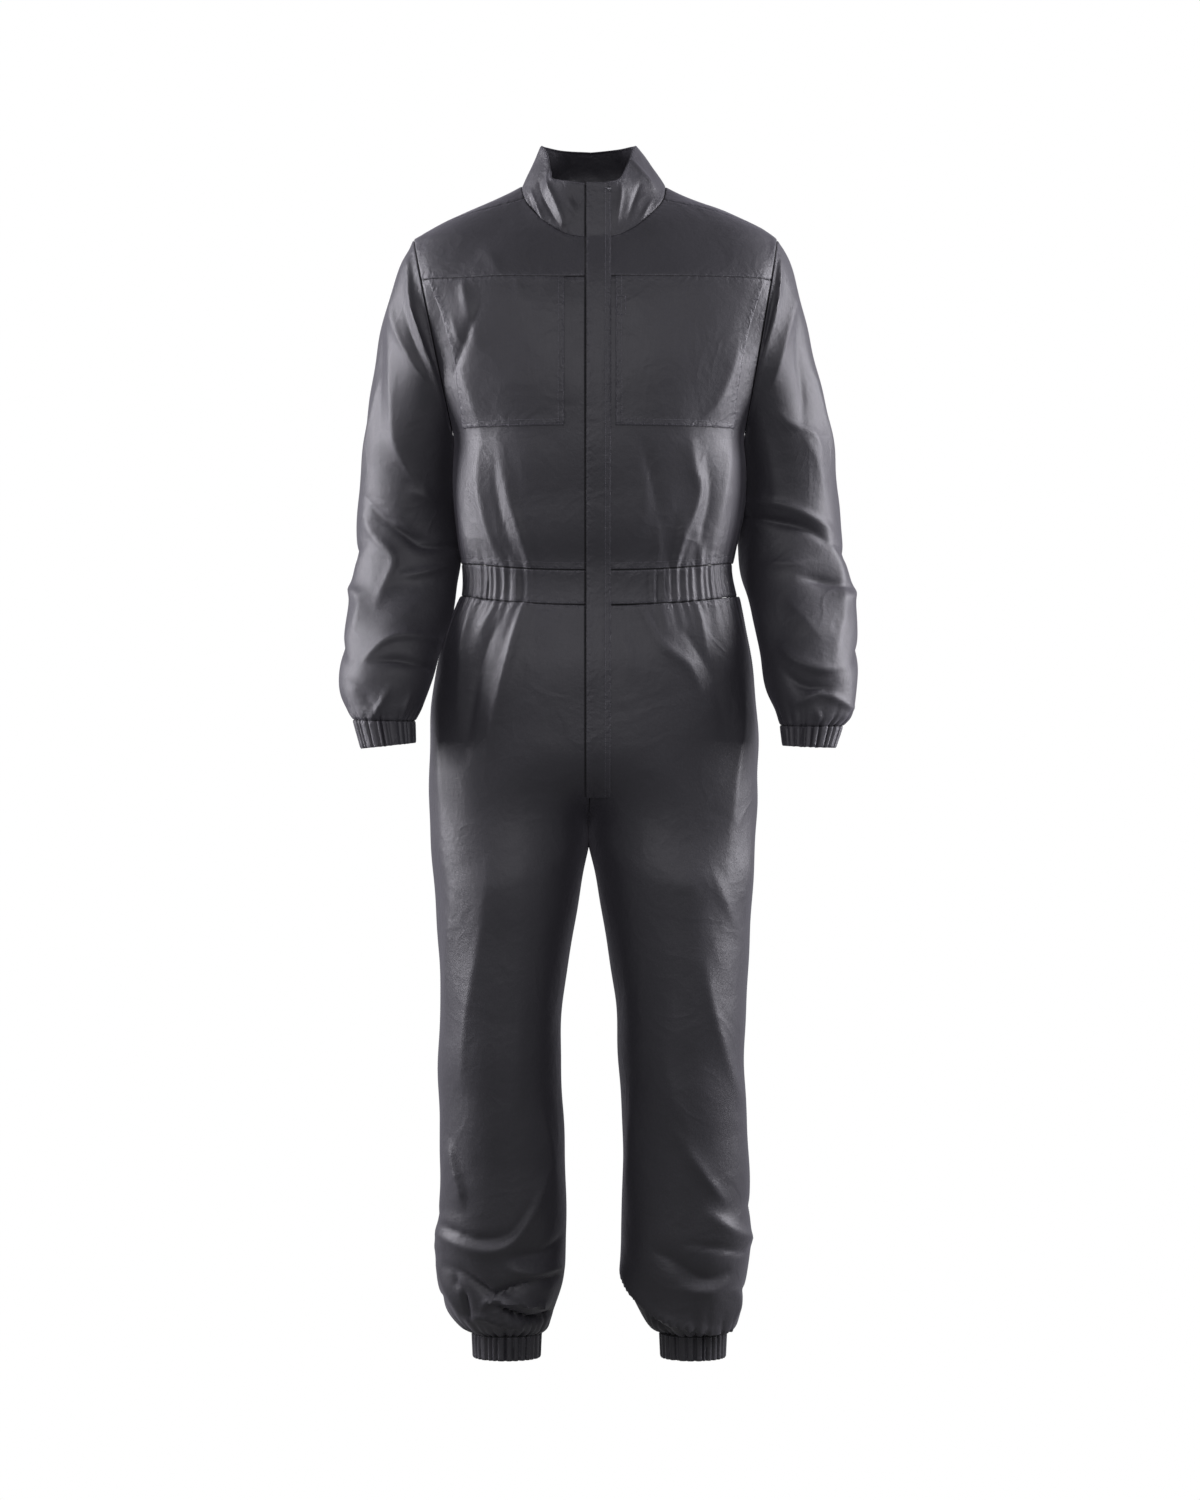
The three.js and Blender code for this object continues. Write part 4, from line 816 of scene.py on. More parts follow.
@dataclass
class ClothPiece:
    """A sewn piece: its cloth as cut and hung, and the object made from it."""

    name: str
    nodes: tuple[str, ...]
    slot: str
    cloth: Cloth
    sewing: Sewing
    held: str
    rests_on: tuple[str, ...] = ()

    def build(self, heights: Sequence[Array], material: bpy.types.Material) -> Cloth:
        """Args:
            heights: Heights of folds and gathers, added up.
            material: Its finish.

        Returns:
            The finished outer side, for stitching.
        """
        height = sum(heights) if len(heights) else np.zeros(self.cloth.points.shape[:2])
        for edge in self.sewing.sewn:
            height = height - ROLL_DEPTH * np.exp(-((self.cloth.from_edge(edge) / ROLL_WIDTH) ** 2))
        for edge in self.sewing.turned:
            height = height - 0.85 * np.exp(-((self.cloth.from_edge(edge) / 1.3) ** 2))
        done = self.cloth.raised(height)
        piece = ShellMaker.wall(self.name, done, self.sewing, material)
        ShellMaker.place(piece, self.slot, self.nodes)
        self.declare(done)
        return done

    def declare(self, done: Cloth) -> None:
        """States the flat cut: the longest row and column, and the area of the cloth."""
        across, along = done.lengths(1), done.lengths(0)
        around = across[:, -1]
        if done.closed:
            around = around + np.linalg.norm(done.points[:, 0] - done.points[:, -1], axis=-1)
        width, length = float(around.max()) * MM, float(along[-1].max()) * MM
        rows = (around[1:] + around[:-1]) / 2
        area = float(np.sum(rows * np.diff(along, axis=0).mean(axis=1))) * MM * MM
        area = min(area, width * length)
        log.info("%s is cut %.0f by %.0f mm, %.4f square metres", self.name, width / MM, length / MM, area)


@dataclass
class Stitching:
    """Rows of thread stitches that lie on the cloth, made as one mesh of small rounded bars."""

    name: str
    pitch: float = 3.0
    length: float = 2.2
    thick: float = 0.62
    points: list[Array] = field(default_factory=list)
    directions: list[Array] = field(default_factory=list)
    ups: list[Array] = field(default_factory=list)

    def run(self, line: tuple[Array, Array]) -> None:
        """Adds a row of stitches along a line on the cloth.

        Args:
            line: The line's points and the cloth's outward directions there.
        """
        points, normals = line
        along = np.concatenate([[0], np.cumsum(np.linalg.norm(np.diff(points, axis=0), axis=1))])
        if along[-1] < self.pitch:
            return
        places = np.arange(self.pitch / 2, along[-1], self.pitch)
        at = np.stack([np.interp(places, along, points[:, k]) for k in range(3)], axis=1)
        ahead = np.stack([np.interp(places + 0.5, along, points[:, k]) for k in range(3)], axis=1)
        behind = np.stack([np.interp(places - 0.5, along, points[:, k]) for k in range(3)], axis=1)
        up = unit(np.stack([np.interp(places, along, normals[:, k]) for k in range(3)], axis=1))
        self.points.append(at + up * (self.thick * 0.2))
        self.directions.append(unit(ahead - behind))
        self.ups.append(up)

    def bar(self, middle: tuple[Array, Array], direction: Array, size: tuple[float, float]) -> None:
        """Adds a bar tack: short stitches side by side along a direction.

        Args:
            middle: Its middle point and outward direction.
            direction: Direction in which the stitches follow each other.
            size: Length of the bar and of its stitches.
        """
        at, up = middle
        count = max(2, round(size[0] / (self.thick * 0.9)))
        shares = (np.arange(count) / (count - 1) - 0.5)[:, None]
        along = unit(direction - up * np.dot(direction, up))
        self.points.append(at + along * shares * size[0] + up * (self.thick * 0.35))
        self.directions.append(np.tile(np.cross(up, along) * (size[1] / self.length), (count, 1)))
        self.ups.append(np.tile(up, (count, 1)))

    def build(self, material: bpy.types.Material, slot: str) -> bpy.types.Object:
        """Makes the mesh: each stitch is three four-sided rings between two tips."""
        centres, along, up = (np.concatenate(part) for part in (self.points, self.directions, self.ups))
        beside = unit(np.cross(along, up))
        half, radius = self.length / 2, self.thick / 2
        rings = [(-0.62, 0.8), (0.0, 1.0), (0.62, 0.8)]
        shape = [centres - along * half - up * radius * 0.4]
        for reach, share in rings:
            for side, lift in ((1, 0), (0, 1), (-1, 0), (0, -1)):
                offset = beside * (side * radius * share) + up * (lift * radius * share)
                shape.append(centres + along * (half * reach) + offset)
        shape.append(centres + along * half - up * radius * 0.4)
        points = np.stack(shape, axis=1).reshape(-1, 3)
        quads = []
        for k in range(4):
            following = (k + 1) % 4
            quads.append((0, 1 + following, 1 + k, 1 + k))
            for ring in (0, 4):
                quads.append((1 + ring + k, 1 + ring + following, 5 + ring + following, 5 + ring + k))
            quads.append((13, 9 + k, 9 + following, 9 + following))
        faces = (np.arange(len(centres))[:, None, None] * 14 + np.array(quads)[None]).reshape(-1, 4)
        mesh = bpy.data.meshes.new(self.name)
        rows = [tuple(dict.fromkeys(face)) for face in faces.tolist()]
        mesh.from_pydata(points * MM, [], rows)
        mesh.polygons.foreach_set("use_smooth", np.ones(len(rows), bool))
        mesh.materials.append(material)
        piece = bpy.data.objects.new(self.name, mesh)
        bpy.context.scene.collection.objects.link(piece)
        log.info("%s has %d stitches", self.name, len(centres))
        return ShellMaker.place(piece, slot)


class Graph:
    """Short calls for adding nodes to a shader tree and joining them."""

    def __init__(self, tree: bpy.types.NodeTree) -> None:
        """Keeps the tree.

        Args:
            tree: Tree of a material, a group or the world.
        """
        self.tree = tree

    def add(self, kind: str, inputs: dict[str | int, object] | None = None,
            **settings: object) -> bpy.types.Node:
        """Adds a node, with settings as attributes and inputs as values or sockets.

        Args:
            kind: Blender's name of the node's type, without ShaderNode.
            inputs: Values or output sockets, by the input's name or number.
            settings: Attributes of the node.

        Returns:
            The node.
        """
        node = self.tree.nodes.new("ShaderNode" + kind)
        for name, value in settings.items():
            setattr(node, name, value)
        for name, value in (inputs or {}).items():
            if isinstance(value, bpy.types.NodeSocket):
                self.tree.links.new(value, node.inputs[name])
            else:
                node.inputs[name].default_value = value
        return node

    def math(self, operation: str, *values: object) -> bpy.types.NodeSocket:
        """Result of a Math node on values or sockets."""
        return self.add("Math", dict(enumerate(values)), operation=operation).outputs[0]

    def noise(self, vector: bpy.types.NodeSocket, scale: float, **inputs: float) -> bpy.types.NodeSocket:
        """Noise from 0 to 1 at a scale for each metre."""
        values = {"Vector": vector, "Scale": scale, **inputs}
        return self.add("TexNoise", values, noise_dimensions="3D").outputs["Fac"]

    def group(self, group: bpy.types.NodeTree, inputs: dict[str, object]) -> bpy.types.Node:
        """Places a node group with values or sockets for its inputs."""
        node = self.tree.nodes.new("ShaderNodeGroup")
        node.node_tree = group
        for name, value in inputs.items():
            if isinstance(value, bpy.types.NodeSocket):
                self.tree.links.new(value, node.inputs[name])
            else:
                node.inputs[name].default_value = value
        return node


class FinishGroups:
    """Node groups that the finishes share, each built once."""

    def __init__(self) -> None:
        """Builds the groups."""
        self.twill = self.make("Twill lines", {"Vector": "Vector", "Pitch": "Float"}, ("Height", "Tone"))
        self.build_twill()
        self.yarn = self.make("Yarn slubs", {"Vector": "Vector", "Width": "Float"}, ("Tone",))
        self.build_yarn()
        self.creases = self.make("Fine creases", {"Vector": "Vector", "Size": "Float"}, ("Height",))
        self.build_creases()
        # Seam group: painted shadow in the seams, a pale line by the edges that is part wear and part painted
        # highlight, and puckers.
        sockets = {"Vector": "Vector", "Seam": "Float", "Edge": "Float"}
        self.seams = self.make("Seam painted shadow, wear and highlight", sockets, ("Shade", "Rubbed and highlit", "Height"))
        # Painted shadow beside the flap's free edge.
        self.flap = self.make("Shade beside the flap", {"Vector": "Vector"}, ("Shade",))
        self.build_flap()
        self.build_seams()

    @staticmethod
    def make(name: str, inputs: dict[str, str], outputs: Sequence[str]) -> bpy.types.NodeTree:
        """An empty group with named sockets, whose outputs are numbers.

        Args:
            name: Name of the group.
            inputs: Kind of each input socket, by its name.
            outputs: Names of the output sockets.

        Returns:
            The group, with its input and output nodes.
        """
        tree = bpy.data.node_groups.new(name, "ShaderNodeTree")
        for socket, kind in inputs.items():
            tree.interface.new_socket(socket, in_out="INPUT", socket_type="NodeSocket" + kind)
        for socket in outputs:
            tree.interface.new_socket(socket, in_out="OUTPUT", socket_type="NodeSocketFloat")
        tree.nodes.new("NodeGroupInput")
        tree.nodes.new("NodeGroupOutput")
        return tree

    @staticmethod
    def ends(tree: bpy.types.NodeTree) -> tuple[Graph, bpy.types.Node, bpy.types.Node]:
        """The tree's graph with its input and output nodes."""
        return Graph(tree), tree.nodes["Group Input"], tree.nodes["Group Output"]

    def build_twill(self) -> None:
        """Diagonal ribs sin(2 pi (x + y) / p), broken by yarns that cross them at twice the pitch."""
        graph, given, result = self.ends(self.twill)
        place = graph.add("SeparateXYZ", {0: given.outputs["Vector"]})
        x, y = place.outputs["X"], place.outputs["Y"]
        turn = graph.math("DIVIDE", graph.math("ADD", x, y), given.outputs["Pitch"])
        rib = graph.math("SINE", graph.math("MULTIPLY", turn, 2 * math.pi))
        weft = graph.math("DIVIDE", graph.math("SUBTRACT", y, graph.math("MULTIPLY", x, 0.2)),
                          given.outputs["Pitch"])
        yarn = graph.math("SINE", graph.math("MULTIPLY", weft, 4 * math.pi))
        height = graph.math("ADD", graph.math("MULTIPLY", rib, 0.35), graph.math("MULTIPLY", yarn, 0.15))
        height = graph.math("ADD", height, 0.5)
        graph.tree.links.new(height, result.inputs["Height"])
        graph.tree.links.new(graph.math("ADD", graph.math("MULTIPLY", rib, 0.5), 0.5), result.inputs["Tone"])

    def build_yarn(self) -> None:
        """Uneven yarns: noise drawn out along the warp, and fainter along the weft."""
        graph, given, result = self.ends(self.yarn)
        vector = given.outputs["Vector"]
        across = graph.math("DIVIDE", 1.0, given.outputs["Width"])
        warp = graph.add("CombineXYZ", {0: across, 1: graph.math("MULTIPLY", across, 0.045),
                                        2: 1.0}).outputs[0]
        weft = graph.add("CombineXYZ", {0: graph.math("MULTIPLY", across, 0.05), 1: across,
                                        2: 1.0}).outputs[0]
        warp_at = graph.add("VectorMath", {0: vector, 1: warp}, operation="MULTIPLY").outputs[0]
        weft_at = graph.add("VectorMath", {0: vector, 1: weft}, operation="MULTIPLY").outputs[0]
        tone = graph.math("MULTIPLY", graph.noise(warp_at, 1.0, Detail=2.0), 0.65)
        tone = graph.math("ADD", tone, graph.math("MULTIPLY", graph.noise(weft_at, 1.0, Detail=1.0), 0.35))
        graph.tree.links.new(tone, result.inputs["Tone"])

    def build_creases(self) -> None:
        """Small soft creases: warped noise, and ridges where a second noise passes its middle."""
        graph, given, result = self.ends(self.creases)
        scale = graph.math("DIVIDE", 1.0, given.outputs["Size"])
        at = graph.add("VectorMath", {0: given.outputs["Vector"], "Scale": scale},
                       operation="SCALE").outputs[0]
        soft = graph.noise(at, 1.0, Detail=2.0, Roughness=0.5, Distortion=0.7)
        fold = graph.noise(at, 0.6, Detail=1.0, Distortion=1.4)
        ridge = graph.math("ABSOLUTE", graph.math("SUBTRACT", fold, 0.5))
        ridge = graph.math("SUBTRACT", 0.5, graph.math("MINIMUM", graph.math("MULTIPLY", ridge, 4.0), 0.5))
        height = graph.math("ADD", soft, graph.math("MULTIPLY", ridge, 0.35))
        graph.tree.links.new(height, result.inputs["Height"])

    def build_seams(self) -> None:
        """Painted shadow in a seam e^(-(s / 0.9 mm)^2), a pale line by an edge of wear and painted highlight,
        and puckers e^(-e / 8 mm).
        """
        graph, given, result = self.ends(self.seams)
        seam, edge = given.outputs["Seam"], given.outputs["Edge"]
        deep = graph.math("POWER", graph.math("DIVIDE", seam, 0.0009), 2.0)
        shade = graph.math("EXPONENT", graph.math("MULTIPLY", deep, -1.0))
        # Pale line by an edge, strongest 2.2 mm in: part wear, part painted highlight.
        share = graph.math("DIVIDE", edge, 0.0022)
        rubbed_and_highlit = graph.math("EXPONENT", graph.math("SUBTRACT", 1.0, share))
        rubbed_and_highlit = graph.math("MULTIPLY", rubbed_and_highlit, share)
        near = graph.math("EXPONENT", graph.math("MULTIPLY", edge, -1 / 0.008))
        ripple = graph.noise(given.outputs["Vector"], 150.0, Detail=1.0, Distortion=0.5)
        graph.tree.links.new(shade, result.inputs["Shade"])
        graph.tree.links.new(rubbed_and_highlit, result.inputs["Rubbed and highlit"])
        graph.tree.links.new(graph.math("MULTIPLY", ripple, near), result.inputs["Height"])


    def build_flap(self) -> None:
        """Painted shadow line e^(-((x - free edge) / 1.2 mm)^2) where the front passes under the flap's free
        edge.
        """
        graph, given, result = self.ends(self.flap)
        place = graph.add("SeparateXYZ", {0: given.outputs["Vector"]})
        apart = graph.math("SUBTRACT", place.outputs["X"], (FLAP["free"] - 1.0) * MM)
        line = graph.math("POWER", graph.math("DIVIDE", apart, 0.0012), 2.0)
        line = graph.math("EXPONENT", graph.math("MULTIPLY", line, -1.0))
        front = graph.math("LESS_THAN", place.outputs["Y"], -0.03)
        above = graph.math("GREATER_THAN", place.outputs["Z"], FLAP["bottom"] * MM)
        shade = graph.math("MULTIPLY", line, graph.math("MULTIPLY", front, above))
        graph.tree.links.new(shade, result.inputs["Shade"])


@dataclass(frozen=True)
class TwillFinish:
    """Twill with diagonal ribs, slubs, fine creases, paler seam edges of wear and painted highlight, and
    painted seam shadow. Heights are metres.
    """

    name: str
    colour: tuple[float, float, float]
    roughness: float = 0.5
    specular: float = 0.65
    sheen: float = 0.2
    pitch: float = 0.0013
    rib: float = 0.00005
    crease: float = 0.0014
    crease_size: float = 0.05
    mottle: float = 0.00034
    pucker: float = 0.0019
    rubbed_and_highlit: float = 0.5

    def material(self, groups: FinishGroups) -> bpy.types.Material:
        """Builds the material from the shared groups.

        Args:
            groups: The shared node groups.

        Returns:
            The material.
        """
        made = bpy.data.materials.new(self.name)
        made.use_nodes = True
        graph = Graph(made.node_tree)
        shader = made.node_tree.nodes["Principled BSDF"]
        flat = graph.add("UVMap", uv_map="cloth").outputs["UV"]
        place = graph.add("TexCoord").outputs["Object"]
        seam = graph.add("Attribute", attribute_name="seam_gap").outputs["Fac"]
        edge = graph.add("Attribute", attribute_name="edge_gap").outputs["Fac"]
        twill = graph.group(groups.twill, {"Vector": flat, "Pitch": self.pitch})
        yarn = graph.group(groups.yarn, {"Vector": flat, "Width": 0.0016})
        creases = graph.group(groups.creases, {"Vector": place, "Size": self.crease_size})
        seams = graph.group(groups.seams, {"Vector": place, "Seam": seam, "Edge": edge})
        dark = tuple(0.8 * value for value in self.colour)
        light = tuple(1.22 * value for value in self.colour)
        # Paler colour for the lines by the edges: part wear, part painted highlight.
        worn = tuple(1.5 * value for value in self.colour)
        tone = graph.math("ADD", graph.math("MULTIPLY", yarn.outputs["Tone"], 0.75),
                          graph.math("MULTIPLY", twill.outputs["Tone"], 0.25))
        mix = graph.add("Mix", {"Factor": tone, "A": (*dark, 1), "B": (*light, 1)}, data_type="RGBA")
        # The lines by the edges go paler: part wear, part painted highlight.
        rub_and_highlight = graph.math("MULTIPLY", seams.outputs["Rubbed and highlit"], self.rubbed_and_highlit)
        rubbed_and_highlit = graph.add("Mix", {"Factor": rub_and_highlight, "A": mix.outputs["Result"], "B": (*worn, 1)},
                           data_type="RGBA")
        # Painted shadow in the seams and beside the flap's free edge: the base colour goes to near black
        # there.
        flap = graph.group(groups.flap, {"Vector": place})
        shade = graph.math("MAXIMUM", seams.outputs["Shade"], flap.outputs["Shade"])
        with_painted_shadow = graph.add("Mix", {"Factor": shade, "A": rubbed_and_highlit.outputs["Result"],
                                  "B": (0.001, 0.001, 0.001, 1)}, data_type="RGBA")
        rough = graph.add("MapRange", {"Value": tone, "To Min": self.roughness + 0.06,
                                       "To Max": self.roughness - 0.06})
        rough = graph.math("ADD", rough.outputs["Result"], graph.math("MULTIPLY", shade, 0.5))
        height = graph.math("MULTIPLY", twill.outputs["Height"], self.rib)
        height = graph.math("ADD", height, graph.math("MULTIPLY", creases.outputs["Height"], self.crease))
        height = graph.math("ADD", height, graph.math("MULTIPLY", seams.outputs["Height"], self.pucker))
        mottle = graph.noise(place, 190.0, Detail=3.0, Roughness=0.6)
        height = graph.math("ADD", height, graph.math("MULTIPLY", mottle, self.mottle))
        bump = graph.add("Bump", {"Strength": 1.0, "Distance": 1.0, "Height": height})
        links = made.node_tree.links
        links.new(with_painted_shadow.outputs["Result"], shader.inputs["Base Color"])
        links.new(rough, shader.inputs["Roughness"])
        links.new(bump.outputs["Normal"], shader.inputs["Normal"])
        shader.inputs["Specular IOR Level"].default_value = self.specular
        shader.inputs["Sheen Weight"].default_value = self.sheen
        shader.inputs["Sheen Roughness"].default_value = 0.45
        shader.inputs["Sheen Tint"].default_value = (0.82, 0.79, 0.9, 1)
        return made


@dataclass(frozen=True)
class HardFinish:
    """Metal or moulded plastic with faint scratches and a cloudy gloss."""

    name: str
    colour: tuple[float, float, float]
    metallic: float
    roughness: float
    scratch: float = 0.00002

    def material(self) -> bpy.types.Material:
        """Builds the material: noise changes its tone and roughness, and drawn-out noise scratches it."""
        made = bpy.data.materials.new(self.name)
        made.use_nodes = True
        graph = Graph(made.node_tree)
        shader = made.node_tree.nodes["Principled BSDF"]
        place = graph.add("TexCoord").outputs["Object"]
        cloud = graph.noise(place, 900.0, Detail=3.0)
        drawn = graph.add("VectorMath", {0: place, 1: (6000.0, 6000.0, 500.0)},
                          operation="MULTIPLY").outputs[0]
        scratches = graph.noise(drawn, 1.0, Detail=2.0)
        light = tuple(min(1.0, 1.5 * value) for value in self.colour)
        mix = graph.add("Mix", {"Factor": cloud, "A": (*self.colour, 1), "B": (*light, 1)}, data_type="RGBA")
        rough = graph.add("MapRange", {"Value": cloud, "To Min": self.roughness - 0.08,
                                       "To Max": self.roughness + 0.1})
        bump = graph.add("Bump", {"Strength": 1.0, "Distance": 1.0,
                                  "Height": graph.math("MULTIPLY", scratches, self.scratch)})
        links = made.node_tree.links
        links.new(mix.outputs["Result"], shader.inputs["Base Color"])
        links.new(rough.outputs["Result"], shader.inputs["Roughness"])
        links.new(bump.outputs["Normal"], shader.inputs["Normal"])
        shader.inputs["Metallic"].default_value = self.metallic
        return made


@dataclass
class Finishes:
    """Every material of the suit."""

    groups: FinishGroups = field(default_factory=FinishGroups)

    def __post_init__(self) -> None:
        """Builds the materials."""
        grey = (0.022, 0.021, 0.0255)
        self.cloth = TwillFinish("twill", grey).material(self.groups)
        self.band = TwillFinish("twill over elastic", (0.021, 0.02, 0.0245),
                                crease=0.0008).material(self.groups)
        self.thread = HardFinish("polyester thread", (0.1, 0.097, 0.11), 0.0, 0.5).material()
        self.tape = TwillFinish(
            "woven zip tape", (0.012, 0.012, 0.014), pitch=0.0009, crease=0.0002, rubbed_and_highlit=0.2
        ).material(self.groups)
        self.teeth = HardFinish("moulded zip teeth", (0.015, 0.015, 0.017), 0.0, 0.3).material()
        self.metal = HardFinish("dark metal", (0.09, 0.09, 0.095), 1.0, 0.32).material()
        self.label = TwillFinish(
            "woven label", (0.1, 0.07, 0.045), pitch=0.0006, crease=0.0002, rubbed_and_highlit=0.2
        ).material(self.groups)


# Folds of the body and the hips, from the front and the back: places, half widths and heights
BODY_CREASES = (
    *folds(
        View.FRONT,
        ((-171, -106, 6, 0), (-168, -125, 9, 3.5), (-158, -165, 14, 2.5), (-150, -205, 20, 0)),
        ((-184, -195, 14, 0), (-166, -240, 20, 3.5), (-150, -285, 20, 3), (-146, -315, 14, 0)),
        ((-142, -128, 7, 0), (-160, -172, 9, -3.5), (-178, -220, 9, -3), (-184, -250, 7, 0)),
        ((-186, -150, 7, 0), (-176, -180, 8, 2.5), (-164, -200, 8, 0)),
        ((-100, -106, 5, 1), (-96, -128, 6, 1.6), (-90, -150, 7, 0)),
        ((-64, -84, 6, 0), (-68, -106, 5, 1.4), (-74, -132, 6, 0)),
        ((-150, -60, 10, 0), (-132, -82, 10, 2.4), (-120, -104, 6, 1)),
        ((60, -306, 6, 0), (72, -350, 8, -2.2), (84, -410, 9, -2), (92, -484, 7, 0)),
        ((-146, -300, 10, 0), (-150, -369, 15, 4), (-138, -432, 12, 5), (-114, -492, 8, 2.5)),
        ((-126, -305, 9, 0), (-112, -384, 11, 3.5), (-98, -430, 9, 4.5), (-84, -480, 7, 2.5)),
        ((-128, -330, 9, 0), (-126, -390, 9, -3), (-110, -450, 7, -3), (-98, -484, 5, 0)),
        ((-178, -325, 15, 0), (-174, -400, 18, 4), (-160, -478, 10, 2)),
        ((192, -170, 12, 0), (178, -225, 16, 3.5), (158, -270, 16, 3.5), (138, -300, 12, 0)),
        ((124, -302, 9, 0), (130, -352, 12, 4), (137, -382, 12, 5), (122, -430, 10, 4.5), (108, -470, 8, 2)),
        ((146, -330, 9, 0), (150, -385, 11, -3.5), (140, -440, 9, -3), (126, -480, 6, 0)),
        ((118, -400, 7, 0), (113, -440, 7, 3.5), (106, -482, 6, 2.5)),
        ((84, -400, 6, 0), (84, -445, 6, 3), (83, -490, 5, 2.5)),
        ((135, -420, 6, 0), (137, -455, 6, 2.5), (139, -486, 5, 2)),
        ((178, -312, 14, 0), (176, -350, 18, 4), (166, -410, 16, 3), (158, -470, 10, 0)),
        ((60, -330, 12, 0), (66, -390, 12, 1.6), (62, -450, 9, 0)),
    ),
    *folds(
        View.BACK,
        ((-150, -150, 16, 0), (-120, -260, 22, 4), (-95, -370, 20, 5), (-70, -468, 10, 2.5)),
        ((-60, -190, 18, 0), (-52, -300, 22, 3.5), (-40, -400, 16, 4.5), (-26, -468, 9, 2)),
        ((-168, -300, 14, 0), (-150, -380, 16, 4.5), (-128, -468, 9, 2.5)),
        ((150, -160, 16, 0), (128, -250, 22, 4), (104, -360, 18, 5), (84, -468, 10, 2.5)),
        ((48, -220, 18, 0), (50, -320, 20, 3), (36, -410, 14, 4), (22, -468, 9, 2)),
        ((172, -310, 14, 0), (158, -390, 16, 4.5), (136, -468, 9, 2.5)),
        ((4, -330, 14, 0), (0, -400, 14, -3.5), (-4, -466, 8, 0)),
    ),
    Crease(View.RIGHT, ((4, -315, 14, 0), (8, -370, 16, 4), (2, -440, 12, 4), (6, -476, 8, 1))),
    Crease(View.LEFT, ((-6, -315, 14, 0), (-10, -370, 16, 4), (2, -440, 12, 4), (-4, -476, 8, 1))),
)
COLLAR_CREASES = (
    *folds(
        View.FRONT,
        ((-62, 48, 4, 0), (-61, 24, 4, 3), (-51, -2, 4.5, 3.6), (-41, -26, 4.5, 3.6), (-42, -38, 4, 1)),
        ((-74, 32, 4, 0), (-67, 3, 4.5, -3.2), (-54, -21, 4, -3), (-46, -34, 3, 0)),
        ((-83, 19, 4, 0), (-77, 0, 4.5, 2.8), (-67, -26, 4, 2.6), (-63, -37, 3.5, 0)),
        ((-86, 10, 3.5, 0), (-81, -8, 4, -2.2), (-71, -27, 3.5, 0)),
        ((-36, 6, 4, 0), (-29, -12, 4, 1.7), (-18, -29, 4, 0)),
        ((-30, 16, 4, 0), (-24, -2, 4, -1.4), (-17, -14, 4, 0)),
        ((44, 62, 4, 0), (56, 47, 5, 3), (73, 27, 5, 2.6), (82, 12, 4, 0)),
        ((36, 24, 4, 0), (35, 4, 4.5, 2.8), (31, -24, 4, 2.2), (30, -36, 3.5, 0)),
        ((62, 28, 4, 0), (54, 2, 5, -3), (43, -30, 4, 0)),
        ((78, 6, 4, 0), (68, -14, 4.5, 2.2), (60, -32, 4, 0)),
    ),
    *folds(
        View.BACK,
        ((-40, 74, 8, 0), (-34, 52, 10, 1.6), (-30, 34, 7, 0)),
        ((30, 72, 8, 0), (36, 54, 10, 1.4), (28, 34, 7, 0)),
    ),
)
